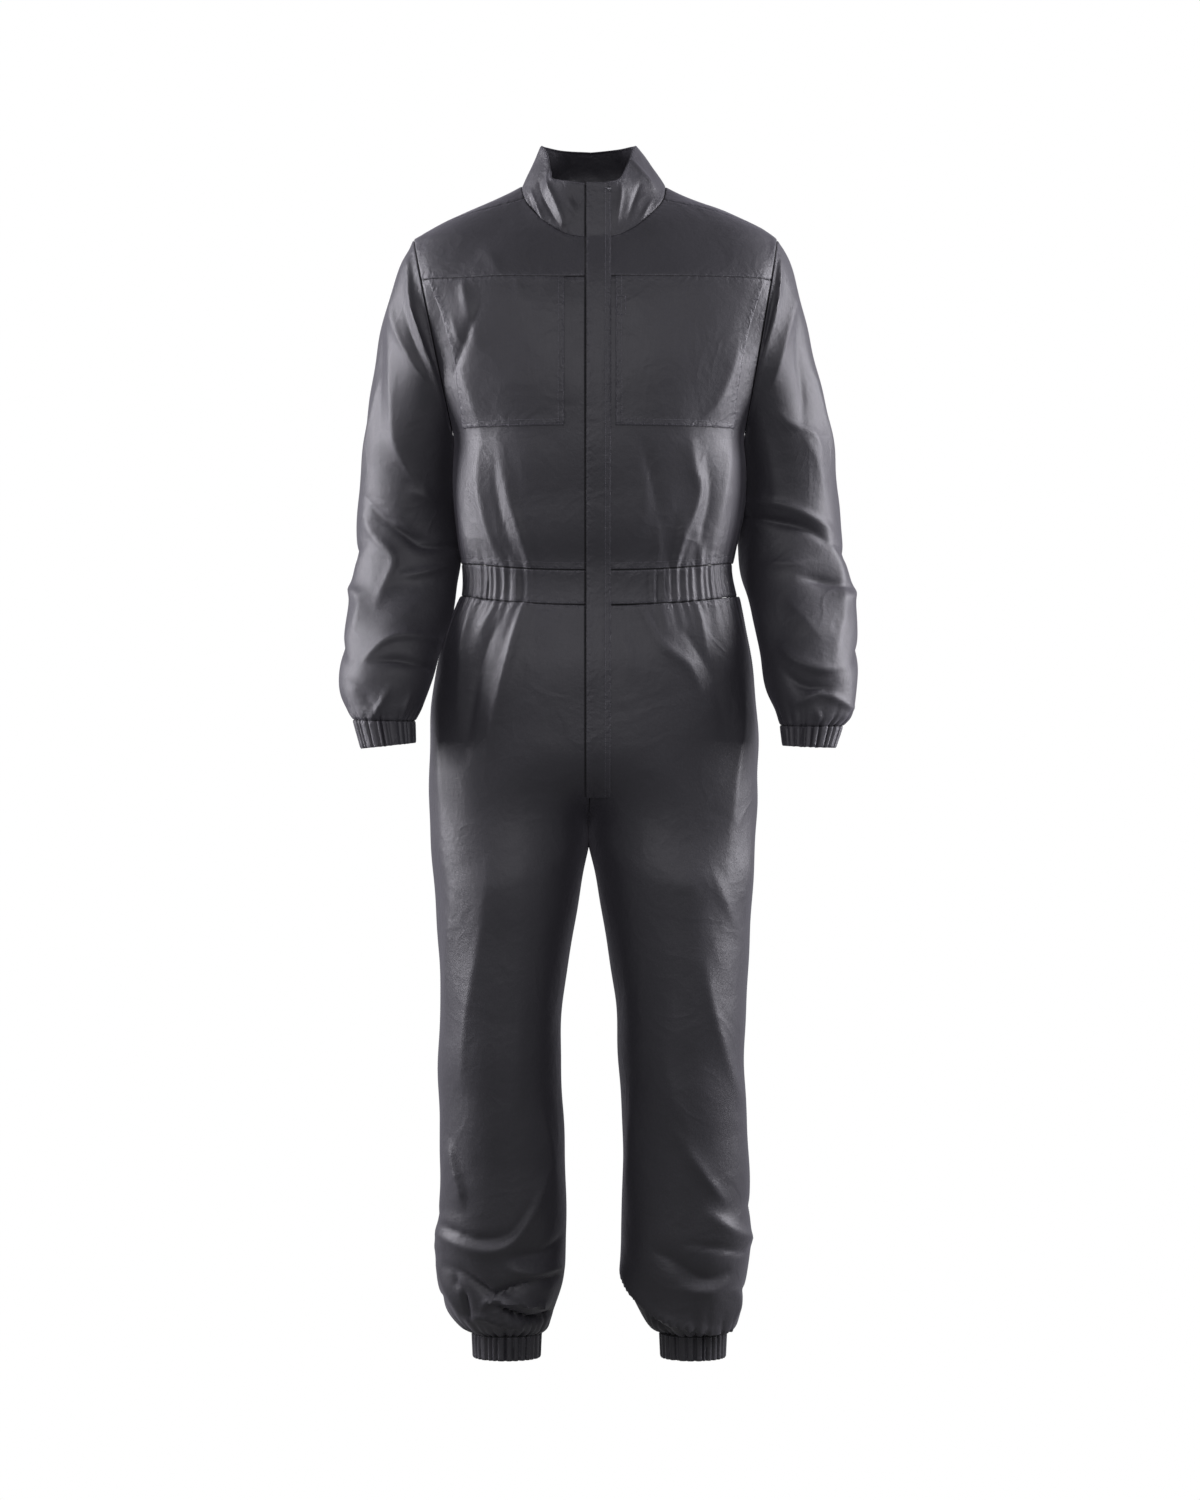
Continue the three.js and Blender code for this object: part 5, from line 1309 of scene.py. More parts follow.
LEG_CREASES = {
    "right": (
        Crease(View.FRONT, ((-156, -522, 6, 3), (-170, -575, 9, 4.5), (-177, -640, 14, 2.5),
         (-176, -700, 18, 0))),
        Crease(View.FRONT, ((-91, -528, 8, 4), (-108, -590, 14, 9), (-126, -660, 18, 8),
         (-142, -735, 22, 0)), 0.3),
        *folds(
            View.FRONT,
            ((-127, -529, 5, 2), (-140, -552, 6, 2.6), (-152, -575, 7, 0)),
            ((-120, -545, 7, 0), (-142, -592, 12, -5.5), (-158, -660, 16, -6), (-170, -750, 18, 0)),
            ((-206, -620, 12, 0), (-200, -720, 18, 5), (-196, -850, 22, 4), (-188, -940, 20, 0)),
            ((-135, -850, 16, 0), (-150, -980, 18, 3.5), (-168, -1090, 16, 4.5), (-172, -1170, 14, 0)),
            ((-182, -880, 14, 0), (-190, -985, 16, 4), (-194, -1090, 14, 0)),
            ((-90, -1000, 26, 0), (-98, -1120, 30, 3), (-110, -1230, 24, 0)),
        ),
        Crease(View.FRONT, ((-190, -1225, 9, 0), (-184, -1255, 14, 6), (-174, -1290, 16, 7),
         (-170, -1322, 12, 0)), -0.6),
        Crease(View.FRONT, ((-212, -1340, 6, -3), (-184, -1348, 7, -5), (-150, -1357, 8, -6),
         (-112, -1352, 9, -6), (-88, -1322, 10, -4), (-74, -1290, 10, 0))),
        Crease(View.FRONT, ((-214, -1352, 14, 3), (-181, -1364, 18, 6), (-142, -1373, 18, 8),
         (-111, -1364, 16, 8), (-86, -1332, 14, 6), (-66, -1290, 13, 4), (-54, -1262, 12, 0)), 0.25),
        *folds(
            View.FRONT,
            ((-116, -1380, 10, 0), (-88, -1380, 15, -10), (-62, -1376, 15, -10), (-40, -1360, 10, -4)),
            ((-118, -1392, 6, 0), (-86, -1402, 7, 6), (-44, -1398, 7, 4)),
            ((-200, -1393, 9, 0), (-171, -1402, 10, -7), (-146, -1420, 10, -12), (-128, -1430, 8, -12),
             (-100, -1420, 9, -10), (-50, -1410, 9, -7)),
            ((-204, -1398, 10, 3), (-190, -1430, 12, 5), (-176, -1458, 9, 3)),
        ),
        Crease(View.FRONT, ((-148, -1450, 5, 0), (-133, -1438, 5, 9), (-104, -1441, 7, 11),
         (-70, -1448, 7, 10)), 0.4),
        *folds(
            View.FRONT,
            ((-132, -1446, 4, -4), (-112, -1454, 4.5, -13), (-94, -1461, 4.5, -15), (-76, -1465, 5, -15),
             (-52, -1460, 4, -10)),
            ((-184, -1400, 4, 0), (-180, -1416, 4, -5), (-174, -1426, 4, 0)),
            ((-172, -1420, 3.5, 0), (-167, -1440, 4, -7), (-162, -1464, 3.5, -3)),
            ((-164, -1466, 5, 4), (-146, -1460, 6, 5), (-128, -1467, 6, 6), (-96, -1476, 6, 6)),
            ((-70, -1170, 14, 0), (-56, -1240, 16, 4), (-48, -1320, 12, 0)),
        ),
        *folds(
            View.BACK,
            ((-90, -520, 7, 2.5), (-104, -600, 16, 5), (-112, -690, 24, 0)),
            ((-40, -520, 7, 2.5), (-48, -590, 14, 4), (-50, -660, 20, 0)),
            ((-150, -522, 7, 2.5), (-164, -590, 12, 4.5), (-176, -680, 18, 0)),
            ((-30, -850, 14, 0), (-84, -872, 17, -6), (-150, -858, 18, -4), (-196, -830, 14, 0)),
            ((-24, -880, 14, 0), (-80, -910, 16, 5), (-150, -905, 16, 3), (-190, -880, 14, 0)),
            ((-60, -1090, 14, 0), (-110, -1108, 16, -6), (-170, -1096, 14, 0)),
            ((-70, -1118, 12, 0), (-120, -1142, 16, 5.5), (-180, -1130, 12, 0)),
            ((-150, -920, 18, 0), (-164, -1010, 20, 4.5), (-168, -1080, 16, 0)),
        ),
        Crease(View.BACK, ((-56, -1300, 14, 0), (-110, -1338, 16, 7), (-176, -1322, 14, 0)), -0.4),
        Crease(View.BACK, ((-50, -1362, 12, 0), (-112, -1382, 13, -8), (-180, -1366, 12, 0))),
        Crease(View.BACK, ((-52, -1402, 10, 0), (-110, -1428, 12, 7), (-176, -1414, 10, 0)), -0.4),
        Crease(View.BACK, ((-64, -1450, 7, 0), (-120, -1460, 9, -7), (-170, -1448, 7, 0))),
        *folds(
            View.RIGHT,
            ((-60, -1318, 12, 0), (0, -1332, 16, -3), (50, -1322, 14, 0)),
            ((-60, -1366, 12, 0), (0, -1374, 16, 2), (56, -1366, 14, 0)),
            ((-30, -1432, 8, 0), (10, -1444, 9, -5), (50, -1436, 8, 0)),
            ((10, -560, 12, 0), (16, -680, 20, 4), (10, -820, 22, 0)),
        ),
    ),
    "left": (
        *folds(
            View.FRONT,
            ((62, -536, 6, 2), (88, -582, 10, 4), (124, -612, 12, 4.5), (145, -660, 12, 0)),
            ((134, -529, 6, 3), (141, -562, 8, 4), (148, -606, 10, 0)),
            ((85, -530, 5, 2.5), (90, -551, 6, 2), (96, -575, 8, 0)),
            ((30, -545, 9, 0), (42, -590, 12, 2), (60, -630, 14, 0)),
            ((110, -560, 10, 0), (128, -580, 12, -3.5), (160, -640, 16, -3), (172, -720, 18, 0)),
            ((198, -620, 12, 0), (192, -700, 17, 5.5), (182, -780, 20, 5), (176, -860, 18, 0)),
            ((208, -800, 10, 0), (202, -870, 15, 4), (194, -950, 15, 0)),
            ((150, -870, 14, 0), (168, -912, 14, 3.5), (194, -968, 12, 0)),
            ((140, -980, 14, 0), (152, -1050, 16, 4.5), (174, -1130, 15, 5), (194, -1190, 12, 0)),
            ((84, -1100, 20, 0), (108, -1180, 20, 3.5), (130, -1240, 16, 0)),
            ((104, -1205, 10, 0), (128, -1250, 14, 5), (156, -1290, 12, 4.5), (178, -1318, 10, 0)),
        ),
        Crease(View.FRONT, ((140, -1314, 12, 0), (174, -1340, 22, 8), (206, -1360, 18, 6)), -0.5),
        *folds(
            View.FRONT,
            ((112, -1361, 5, 0), (160, -1368, 6, -4.5), (204, -1378, 6, -4)),
            ((66, -1366, 14, 0), (104, -1386, 15, -7), (142, -1410, 15, -9), (180, -1398, 12, 0)),
            ((104, -1418, 10, 0), (150, -1426, 14, 5), (184, -1408, 11, 0)),
        ),
        Crease(View.FRONT, ((26, -1388, 8, 7), (58, -1434, 9, 12), (100, -1463, 9, 13), (150, -1480, 7, 9),
         (178, -1480, 5, 4)), 0.7),
        *folds(
            View.FRONT,
            ((36, -1428, 6, -9), (62, -1464, 8, -15), (96, -1484, 6, -13)),
            ((186, -1415, 10, 0), (190, -1448, 13, 6), (176, -1476, 9, 4)),
            ((52, -1160, 14, 0), (48, -1240, 16, 4), (44, -1320, 12, 0)),
        ),
        *folds(
            View.BACK,
            ((90, -520, 7, 2.5), (108, -605, 16, 5), (118, -700, 24, 0)),
            ((36, -520, 7, 2.5), (46, -585, 14, 4), (50, -650, 20, 0)),
            ((148, -522, 7, 2.5), (166, -600, 12, 4.5), (178, -690, 18, 0)),
            ((30, -846, 14, 0), (88, -866, 17, -6), (150, -850, 18, -4), (194, -826, 14, 0)),
            ((28, -882, 14, 0), (90, -906, 16, 5), (150, -896, 16, 3), (190, -874, 14, 0)),
            ((56, -1080, 14, 0), (112, -1104, 16, -6), (172, -1088, 14, 0)),
            ((60, -1112, 12, 0), (118, -1138, 16, 5.5), (184, -1122, 12, 0)),
            ((146, -910, 18, 0), (160, -1000, 20, 4.5), (168, -1070, 16, 0)),
        ),
        Crease(View.BACK, ((50, -1310, 14, 0), (112, -1342, 16, 7), (184, -1328, 14, 0)), 0.4),
        Crease(View.BACK, ((52, -1370, 12, 0), (116, -1388, 13, -8), (184, -1372, 12, 0))),
        Crease(View.BACK, ((60, -1406, 10, 0), (120, -1432, 12, 7), (182, -1418, 10, 0)), 0.4),
        Crease(View.BACK, ((80, -1452, 7, 0), (130, -1462, 9, -7), (180, -1450, 7, 0))),
        *folds(
            View.LEFT,
            ((-60, -1308, 12, 0), (0, -1322, 16, -3), (50, -1312, 14, 0)),
            ((-60, -1352, 12, 0), (0, -1362, 16, 2), (56, -1354, 14, 0)),
            ((-30, -1424, 8, 0), (10, -1436, 9, -5), (50, -1428, 8, 0)),
            ((6, -560, 12, 0), (12, -680, 20, 4), (6, -820, 22, 0)),
        ),
    ),
}
SLEEVE_CREASES = {
    "right": (
        Crease(View.FRONT, ((-243, -78, 5, 2), (-238, -130, 6, 6.5), (-222, -190, 6, 7), (-203, -240, 6, 6.5),
         (-187, -290, 5, 3), (-185, -312, 5, 0)), -0.45),
        *folds(
            View.FRONT,
            ((-262, -100, 9, 0), (-263, -150, 12, 5.5), (-241, -205, 12, 5.5), (-216, -242, 10, 0)),
            ((-228, -92, 6, 0), (-224, -130, 6, -5), (-207, -200, 6, -6), (-190, -252, 5, 0)),
            ((-250, -130, 7, 0), (-234, -190, 7, -4), (-212, -240, 6, 0)),
            ((-279, -140, 10, 0), (-284, -190, 13, -6), (-284, -260, 15, -6), (-281, -318, 14, 0)),
        ),
        Crease(View.FRONT, ((-270, -160, 12, 0), (-268, -220, 15, 5), (-260, -313, 20, 6.5),
         (-236, -362, 16, 4.5), (-206, -402, 12, 0)), 0.3),
        *folds(
            View.FRONT,
            ((-306, -376, 9, 0), (-282, -410, 11, -6), (-238, -440, 10, -6), (-206, -446, 9, 0)),
            ((-246, -376, 9, 0), (-226, -386, 10, 4.5), (-204, -396, 9, 0)),
        ),
        *folds(
            View.LEFT,
            ((6, -290, 26, 4), (14, -320, 30, 9.5), (30, -384, 28, 5), (32, -418, 20, 2)),
            ((8, -410, 28, 4), (-2, -455, 34, 10), (-14, -495, 34, 9), (-26, -560, 30, 7),
             (-34, -640, 20, 0)),
        ),
        *folds(
            View.FRONT,
            ((-262, -428, 9, 0), (-226, -452, 10, -8), (-186, -452, 9, -4)),
            ((-308, -400, 12, 0), (-290, -435, 14, 6), (-262, -470, 13, 7), (-276, -510, 13, 4),
             (-290, -540, 12, 0)),
            ((-262, -492, 8, 0), (-232, -490, 10, 6), (-200, -480, 8, 3)),
            ((-318, -500, 10, 0), (-306, -530, 13, 5), (-316, -570, 12, 0)),
        ),
        Crease(View.FRONT, ((-300, -604, 8, 0), (-270, -578, 10, 6), (-236, -572, 10, 6),
         (-204, -578, 8, 3)), 0.4),
        *folds(
            View.FRONT,
            ((-298, -606, 8, 0), (-258, -602, 10, -8), (-212, -612, 8, -5)),
            ((-322, -625, 12, 0), (-298, -650, 14, -5), (-276, -672, 9, 0)),
            ((-262, -632, 7, 0), (-274, -656, 8, 5), (-290, -682, 6, 4)),
            ((-234, -640, 7, 0), (-244, -662, 8, 4), (-252, -684, 5, 3)),
        ),
        *folds(
            View.BACK,
            ((-206, -140, 14, 0), (-230, -230, 18, 5), (-244, -320, 16, 0)),
            ((-196, -300, 12, 0), (-240, -372, 16, -6), (-300, -392, 14, 0)),
            ((-190, -440, 10, 0), (-240, -438, 12, 6), (-306, -410, 12, 0)),
            ((-186, -466, 9, 0), (-240, -478, 11, -6), (-314, -456, 10, 0)),
            ((-200, -540, 9, 0), (-250, -530, 12, 6), (-320, -548, 11, 0)),
            ((-210, -596, 9, 0), (-262, -600, 11, -6), (-322, -584, 10, 0)),
            ((-252, -620, 8, 0), (-262, -650, 9, 5), (-268, -684, 6, 3)),
        ),
        *folds(
            View.RIGHT,
            ((-20, -200, 18, 0), (0, -300, 22, 5), (20, -380, 18, 0)),
            ((-30, -440, 12, 0), (20, -460, 14, -6), (70, -440, 12, 0)),
            ((-50, -520, 12, 0), (-10, -510, 14, 6), (40, -490, 12, 0)),
            ((-90, -610, 10, 0), (-50, -590, 12, -6), (-6, -570, 10, 0)),
        ),
    ),
    "left": (
        Crease(View.FRONT, ((243, -60, 5, 2), (241, -110, 5.5, 6), (234, -155, 6, 7), (216, -216, 6, 7),
         (204, -262, 5, 4), (201, -292, 5, 0)), 0.45),
        *folds(
            View.FRONT,
            ((233, -120, 6, 0), (226, -168, 8, -8), (209, -222, 8, -7), (201, -256, 6, 0)),
            ((272, -100, 10, 0), (261, -140, 12, 5), (244, -208, 13, 5.5), (232, -250, 10, 0)),
            ((266, -140, 10, 0), (272, -200, 15, -6), (276, -262, 17, -6), (270, -312, 14, 0)),
            ((236, -270, 10, 0), (254, -290, 12, 3.5), (286, -306, 12, 4.5), (298, -346, 13, 0)),
        ),
        Crease(View.RIGHT, ((6, -290, 26, 4), (14, -320, 30, 9), (30, -384, 28, 4.5), (32, -418, 20, 0))),
        *folds(
            View.FRONT,
            ((262, -290, 14, 0), (290, -340, 18, 5), (302, -392, 14, 0)),
            ((224, -300, 14, 0), (236, -360, 18, 4), (240, -404, 12, 0)),
            ((200, -412, 8, -4), (240, -420, 10, -9), (282, -430, 10, -8), (312, -452, 8, 0)),
        ),
        Crease(View.FRONT, ((206, -392, 10, 2), (250, -398, 13, 6), (300, -422, 12, 4),
         (320, -440, 8, 0)), -0.35),
        *folds(
            View.FRONT,
            ((300, -430, 14, 0), (322, -480, 18, 6), (326, -540, 18, 5), (312, -600, 14, 0)),
            ((262, -492, 8, 0), (294, -496, 9, -7), (330, -506, 8, -4)),
            ((214, -478, 10, 0), (250, -476, 12, 4), (300, -476, 10, 0)),
            ((250, -520, 14, 0), (272, -550, 18, 4), (300, -580, 14, 0)),
        ),
        Crease(View.FRONT, ((236, -578, 9, 0), (262, -604, 12, 7), (296, -616, 11, 6),
         (330, -612, 9, 0)), 0.35),
        *folds(
            View.FRONT,
            ((240, -610, 8, 0), (266, -634, 10, -7), (300, -642, 9, -5)),
            ((252, -664, 6, 0), (274, -654, 8, 5), (296, -646, 8, 6), (336, -664, 7, 3)),
            ((284, -660, 5, 0), (292, -678, 6, 4), (300, -692, 4, 3)),
            ((262, -672, 5, 0), (264, -684, 5, 3), (265, -692, 4, 2)),
        ),
        *folds(
            View.BACK,
            ((214, -140, 14, 0), (236, -230, 18, 5), (250, -320, 16, 0)),
            ((208, -304, 12, 0), (250, -376, 16, -6), (310, -398, 14, 0)),
            ((200, -446, 10, 0), (250, -440, 12, 6), (318, -414, 12, 0)),
            ((200, -470, 9, 0), (250, -482, 11, -6), (326, -462, 10, 0)),
            ((212, -544, 9, 0), (262, -534, 12, 6), (334, -552, 11, 0)),
            ((222, -600, 9, 0), (274, -606, 11, -6), (336, -590, 10, 0)),
            ((262, -626, 8, 0), (272, -656, 9, 5), (278, -690, 6, 3)),
        ),
        *folds(
            View.LEFT,
            ((-20, -200, 18, 0), (0, -300, 22, 5), (20, -380, 18, 0)),
            ((-30, -444, 12, 0), (20, -464, 14, -6), (70, -444, 12, 0)),
            ((-50, -524, 12, 0), (-10, -514, 14, 6), (40, -494, 12, 0)),
            ((-90, -614, 10, 0), (-50, -594, 12, -6), (-6, -574, 10, 0)),
        ),
    ),
}


@dataclass(frozen=True)
class Drape:
    """Folds that a part of the suit has: listed creases and a slow unevenness."""

    creases: tuple[Crease, ...]
    amount: float = 0.9
    lengths: tuple[float, float] = (70.0, 190.0)
    seed: int = 7

    def height(self, cloth: Cloth) -> Array:
        """Height of all folds over a grid of cloth."""
        total = unevenness(cloth.points, self.seed, self.amount, self.lengths)
        for crease in self.creases:
            total = total + crease.height(cloth.points, cloth.normals)
        return total


BODY_DRAPE = Drape(BODY_CREASES)
COLLAR_DRAPE = Drape(COLLAR_CREASES, 0.5, (26, 90))
LEG_DRAPE = {side: Drape(creases) for side, creases in LEG_CREASES.items()}
SLEEVE_DRAPE = {side: Drape(creases, 1.1, (55, 160)) for side, creases in SLEEVE_CREASES.items()}
WAIST_GATHERS = Gathers(104, 2.2, 11, (8.0, 46.0))
WRIST_GATHERS = {side: Gathers(25, -3.4, seed, (6.0, 26.0), (0.11, 0.22)) for side,
                 seed in (("right", 21), ("left", 22))}
ANKLE_GATHERS = {side: Gathers(32, -3.8, seed, (7.0, 30.0), (0.11, 0.22)) for side,
                 seed in (("right", 31), ("left", 32))}
PLAIN_FRONT = {"middle": -4.5, "from": 70.0, "to": 80.0}


def waist_gathers(cloth: Cloth) -> Array:
    """Gathers of the elastic at the waist: all round but for the plain middle of the front.

    Args:
        cloth: A piece at the waist.

    Returns:
        The height at each point, the same on either side of a seam.
    """
    x, y, z = np.moveaxis(cloth.points, -1, 0)
    front = y < 0
    turn = np.arctan2(y / 110, x / 180) / (2 * math.pi)
    share = np.clip(np.abs(x) / 180, 0, 1) ** (SQUARENESS / 2)
    share = 2 / math.pi * np.arcsin(share)
    top = np.where(front, waist_level(WAIST_TOP, Face.FRONT, share), waist_level(WAIST_TOP, Face.BACK, share))
    low = np.where(front, waist_level(WAIST_SEAM, Face.FRONT, share),
                   waist_level(WAIST_SEAM, Face.BACK, share))
    off = np.maximum(z - top, low - z)
    plain = smooth(np.abs(x - PLAIN_FRONT["middle"]), PLAIN_FRONT["from"], PLAIN_FRONT["to"])
    near = off < 150
    height = np.zeros(x.shape)
    height[near] = WAIST_GATHERS.height(turn[near], off[near])
    return height * np.where(front, plain, 1.0)


def body_folds(cloth: Cloth) -> Array:
    """Folds of the body and the waist's gathers, faded out at the armholes so that they meet the sleeves."""
    x, _, z = np.moveaxis(cloth.points, -1, 0)
    seam = np.where(x < 0, armhole_x(Side.RIGHT, z), armhole_x(Side.LEFT, z))
    above = smooth(z, ARMPIT_Z - 30, ARMPIT_Z)
    settled = 1 - above * (1 - smooth(seam - np.abs(x), 0, 14))
    return (BODY_DRAPE.height(cloth) + waist_gathers(cloth)) * settled


def ankle_gathers(side: Side, points: Array) -> Array:
    """Gathers of the elastic at an ankle, by the direction of each point from the cuff's middle."""
    table = LEG[side.value].rows[-1]
    inner, outer, mid = table[2], table[3], table[6]
    x = points[..., 0] * side.sign - (inner + outer) / 2
    turn = np.arctan2(points[..., 1] - mid, x) / (2 * math.pi)
    off = points[..., 2] - ANKLE["top"]
    height = np.zeros(turn.shape)
    near = off < 90
    height[near] = ANKLE_GATHERS[side.value].height(turn[near], off[near])
    return height


def tucked(cloth: Cloth) -> Array:
    """Depth by which the cloth's lower end turns in to pass inside a cuff."""
    return TUCK * np.exp(-((cloth.from_edge(Edge.BOTTOM) / 2.2) ** 2))


@dataclass
class Body:
    """Yokes, chest fronts and back, between the collar, the armholes and the waistband."""

    finishes: Finishes
    step: float = 4.0

    def front_yoke(self, side: Side) -> Cloth:
        """Front yoke, filled between the neck, the shoulder seam, the armhole and the chest seam."""
        seam_z = YOKE_SEAM["front"] + SEAM / 2
        us, vs = spaced(280, self.step), spaced(110, self.step)
        neck_share = 6 / 11
        turn = lerp(NECK_START_TURN, NECK_POINT_TURN, np.minimum(us / neck_share, 1))
        share = np.clip((us - neck_share) / (1 - neck_share), 0, 1)
        top = np.where((us <= neck_share)[:, None], neck_point(side, turn), shoulder_seam(side, share))
        bottom = section_point(side, Face.FRONT, us, np.full(us.shape, seam_z), ZIP["edge"])
        start = lerp(bottom[0], top[0], vs[:, None])
        end = armhole_edge(side, Face.FRONT, seam_z, vs)
        grid = fill_between(bottom, top, start, end, us, vs)
        placed = onto_body(grid)
        placed[-1], placed[:, -1] = grid[-1], grid[:, -1]
        return Cloth(placed[::-1], body_normals(placed)[::-1])

    def back_yoke(self) -> Cloth:
        """Back yoke, from the back seam over both shoulders to the neck and the two shoulder seams."""
        seam_z = YOKE_SEAM["back"] + SEAM / 2
        us, vs = spaced(620, self.step), spaced(190, self.step)
        seam_share = 5 / 11

        def half(side: Side, share: Array) -> tuple[Array, Array]:
            outer = np.clip(1 - share / seam_share, 0, 1)
            turn = lerp(NECK_POINT_TURN, NECK_TURNS, np.clip((share - seam_share) / (1 - seam_share), 0, 1))
            over = stack(0, SEAM * 0.6, SEAM * 0.8) * (1 - smooth(share, seam_share, 1.0))[:, None]
            top = np.where((share < seam_share)[:, None], shoulder_seam(side, outer), neck_point(side, turn))
            bottom = section_point(side, Face.BACK, 1 - share, np.full(share.shape, seam_z))
            return top + over, bottom

        share = np.where(us <= 0.5, us * 2, 2 - us * 2)
        right, left = half(Side.RIGHT, share), half(Side.LEFT, share)
        first = (us <= 0.5)[:, None]
        top, bottom = np.where(first, right[0], left[0]), np.where(first, right[1], left[1])
        start, end = (armhole_edge(side, Face.BACK, seam_z, vs) for side in (Side.RIGHT, Side.LEFT))
        start[-1], end[-1] = top[0], top[-1]
        grid = fill_between(bottom, top, start, end, us, vs)
        placed = onto_body(grid)
        placed[-1], placed[:, 0], placed[:, -1] = grid[-1], grid[:, 0], grid[:, -1]
        return Cloth(placed[::-1], body_normals(placed)[::-1])

    def front(self, side: Side) -> Cloth:
        """Chest front from the zip to the armhole and side seam, down to the waistband."""
        us, vs = spaced(235, self.step), spaced(380, self.step)
        angles = us[None, :]
        low = waist_level(WAIST_TOP, Face.FRONT, us)[None, :] + SEAM / 2
        z = lerp(YOKE_SEAM["front"] - SEAM / 2, low, vs[:, None])
        points = section_point(side, Face.FRONT, angles, z, ZIP["edge"])
        points[:, -1, 1] -= SEAM / 2
        return Cloth(points, body_normals(points))

    def back(self) -> Cloth:
        """Back in one piece from side seam to side seam."""
        us, vs = spaced(520, self.step), spaced(360, self.step)
        turn = np.abs(us * 2 - 1)[None, :]
        low = waist_level(WAIST_TOP, Face.BACK, turn) + SEAM / 2
        z = lerp(YOKE_SEAM["back"] - SEAM / 2, low, vs[:, None])
        right = section_point(Side.RIGHT, Face.BACK, turn, z)
        left = section_point(Side.LEFT, Face.BACK, turn, z)
        points = np.where((us <= 0.5)[None, :, None], right, left)
        points[:, [0, -1], 1] += SEAM / 2
        return Cloth(points, body_normals(points))

    def build(self) -> None:
        """Makes the pieces and their topstitching."""
        thread = Stitching("stitches_body")
        for side in Side:
            name = side.value
            yoke = self.front_yoke(side)
            piece = ClothPiece(f"cloth_front_yoke_{name}", (f"front_yoke_{name}",), "cloth", yoke, Sewing(),
                               "hung")
            done = piece.build([body_folds(yoke)], self.finishes.cloth)
            thread.run(done.line_in(Edge.BOTTOM, 2.2))
            thread.run(done.line_in(Edge.TOP, 2.0, 6 / 11, 1.0))
            front = self.front(side)
            piece = ClothPiece(f"cloth_front_{name}", (f"front_{name}",), "cloth", front, Sewing(), "hung",
                               (f"cloth_front_yoke_{name}",))
            done = piece.build([body_folds(front)], self.finishes.cloth)
            thread.run(done.line_in(Edge.TOP, 7.0))
            thread.run(done.line_in(Edge.BOTTOM, 2.0))
            thread.run(done.line_in(Edge.BOTTOM, 9.0))
        yoke = self.back_yoke()
        piece = ClothPiece("cloth_back_yoke", ("back_yoke",), "cloth", yoke, Sewing(), "hung")
        done = piece.build([body_folds(yoke)], self.finishes.cloth)
        thread.run(done.line_in(Edge.BOTTOM, 2.2))
        thread.run(done.line_in(Edge.BOTTOM, 8.2))
        back = self.back()
        piece = ClothPiece("cloth_back", ("back",), "cloth", back, Sewing(), "hung", ("cloth_back_yoke",))
        done = piece.build([body_folds(back)], self.finishes.cloth)
        thread.run(done.line_in(Edge.BOTTOM, 2.0))
        thread.run(done.line_in(Edge.BOTTOM, 9.0))
        thread.build(self.finishes.thread, "cloth")


@dataclass
class ChestPockets:
    """Two patch pockets, each made from the points of the front that it lies on."""

    finishes: Finishes
    step: float = 4.0
    lift: float = 1.9

    def reach(self, side: Side, z: Array) -> Array:
        """Distance of a pocket's outer edge from the middle: beside the armhole, then inside the width."""
        low = half_width(side, Face.FRONT, np.minimum(z, ARMPIT_Z)) * POCKET["outer_share"]
        share = np.clip((z - ARMPIT_Z) / (YOKE_SEAM["front"] - ARMPIT_Z), 0, 1)
        return lerp(low, armhole_x(side, z) - POCKET["from_armhole"], share)

    def pocket(self, side: Side) -> Cloth:
        """A pocket's grid on the front, before its lift."""
        us, vs = spaced(165, self.step), spaced(195, self.step)
        z = lerp(YOKE_SEAM["front"] - SEAM / 2, POCKET["bottom"], vs)[:, None]
        inner = section_angle(side, Face.FRONT, POCKET["inner"][side.value], z)
        outer = section_angle(side, Face.FRONT, self.reach(side, z), z)
        points = section_at(side, Face.FRONT, lerp(inner, outer, us[None, :]), z)
        return Cloth(points, body_normals(points))

    def build(self) -> None:
        """Makes both pockets with their rows of stitches and bar tacks."""
        thread = Stitching("stitches_pockets")
        for side in Side:
            name = side.value
            cloth = self.pocket(side)
            sewing = Sewing((Edge.TOP,), (Edge.BOTTOM, Edge.START, Edge.END), 1.1)
            edge = np.minimum(cloth.from_edge(Edge.START), cloth.from_edge(Edge.END))
            edge = np.minimum(edge, cloth.from_edge(Edge.BOTTOM))
            puff = 0.6 * smooth(edge, 6, 26)
            piece = ClothPiece(f"cloth_pocket_{name}", (f"chest_pocket_{name}",), "cloth", cloth, sewing,
                               "hung",
                               (f"cloth_front_{name}",))
            done = piece.build([body_folds(cloth), puff + self.lift], self.finishes.cloth)
            for inset in (1.8, 8.0):
                thread.run(done.line_in(Edge.BOTTOM, inset))
                thread.run(done.line_in(Edge.START, inset))
            thread.run(done.line_in(Edge.END, 2.0))
            self.tacks(side, done, thread)
        thread.build(self.finishes.thread, "cloth")

    def tacks(self, side: Side, pocket: Cloth, thread: Stitching) -> None:
        """Bar tacks: a short one over the pocket's outer edge, and on the left pocket a small box on its
        inner edge.
        """
        columns = pocket.points.shape[1]
        across, down = np.array([1.0, 0.0, 0.0]), np.array([0.0, 0.0, -1.0])
        outer = self.spot(pocket, 30, columns - 4)
        thread.bar(outer, across, (7.0, 1.6))
        if side is Side.RIGHT:
            return
        for below in (30.0, 54.0):
            thread.bar(self.spot(pocket, below, 3), across, (8.0, 1.6))
        for column in (1, 4):
            thread.bar(self.spot(pocket, 42, column), down, (24.0, 1.2))

    @staticmethod
    def spot(pocket: Cloth, below: float, column: int) -> tuple[Array, Array]:
        """Point and outward direction on a column at a length below the pocket's top."""
        row = int(np.argmin(np.abs(pocket.from_edge(Edge.TOP)[:, column] - below)))
        return pocket.points[row, column], pocket.normals[row, column]


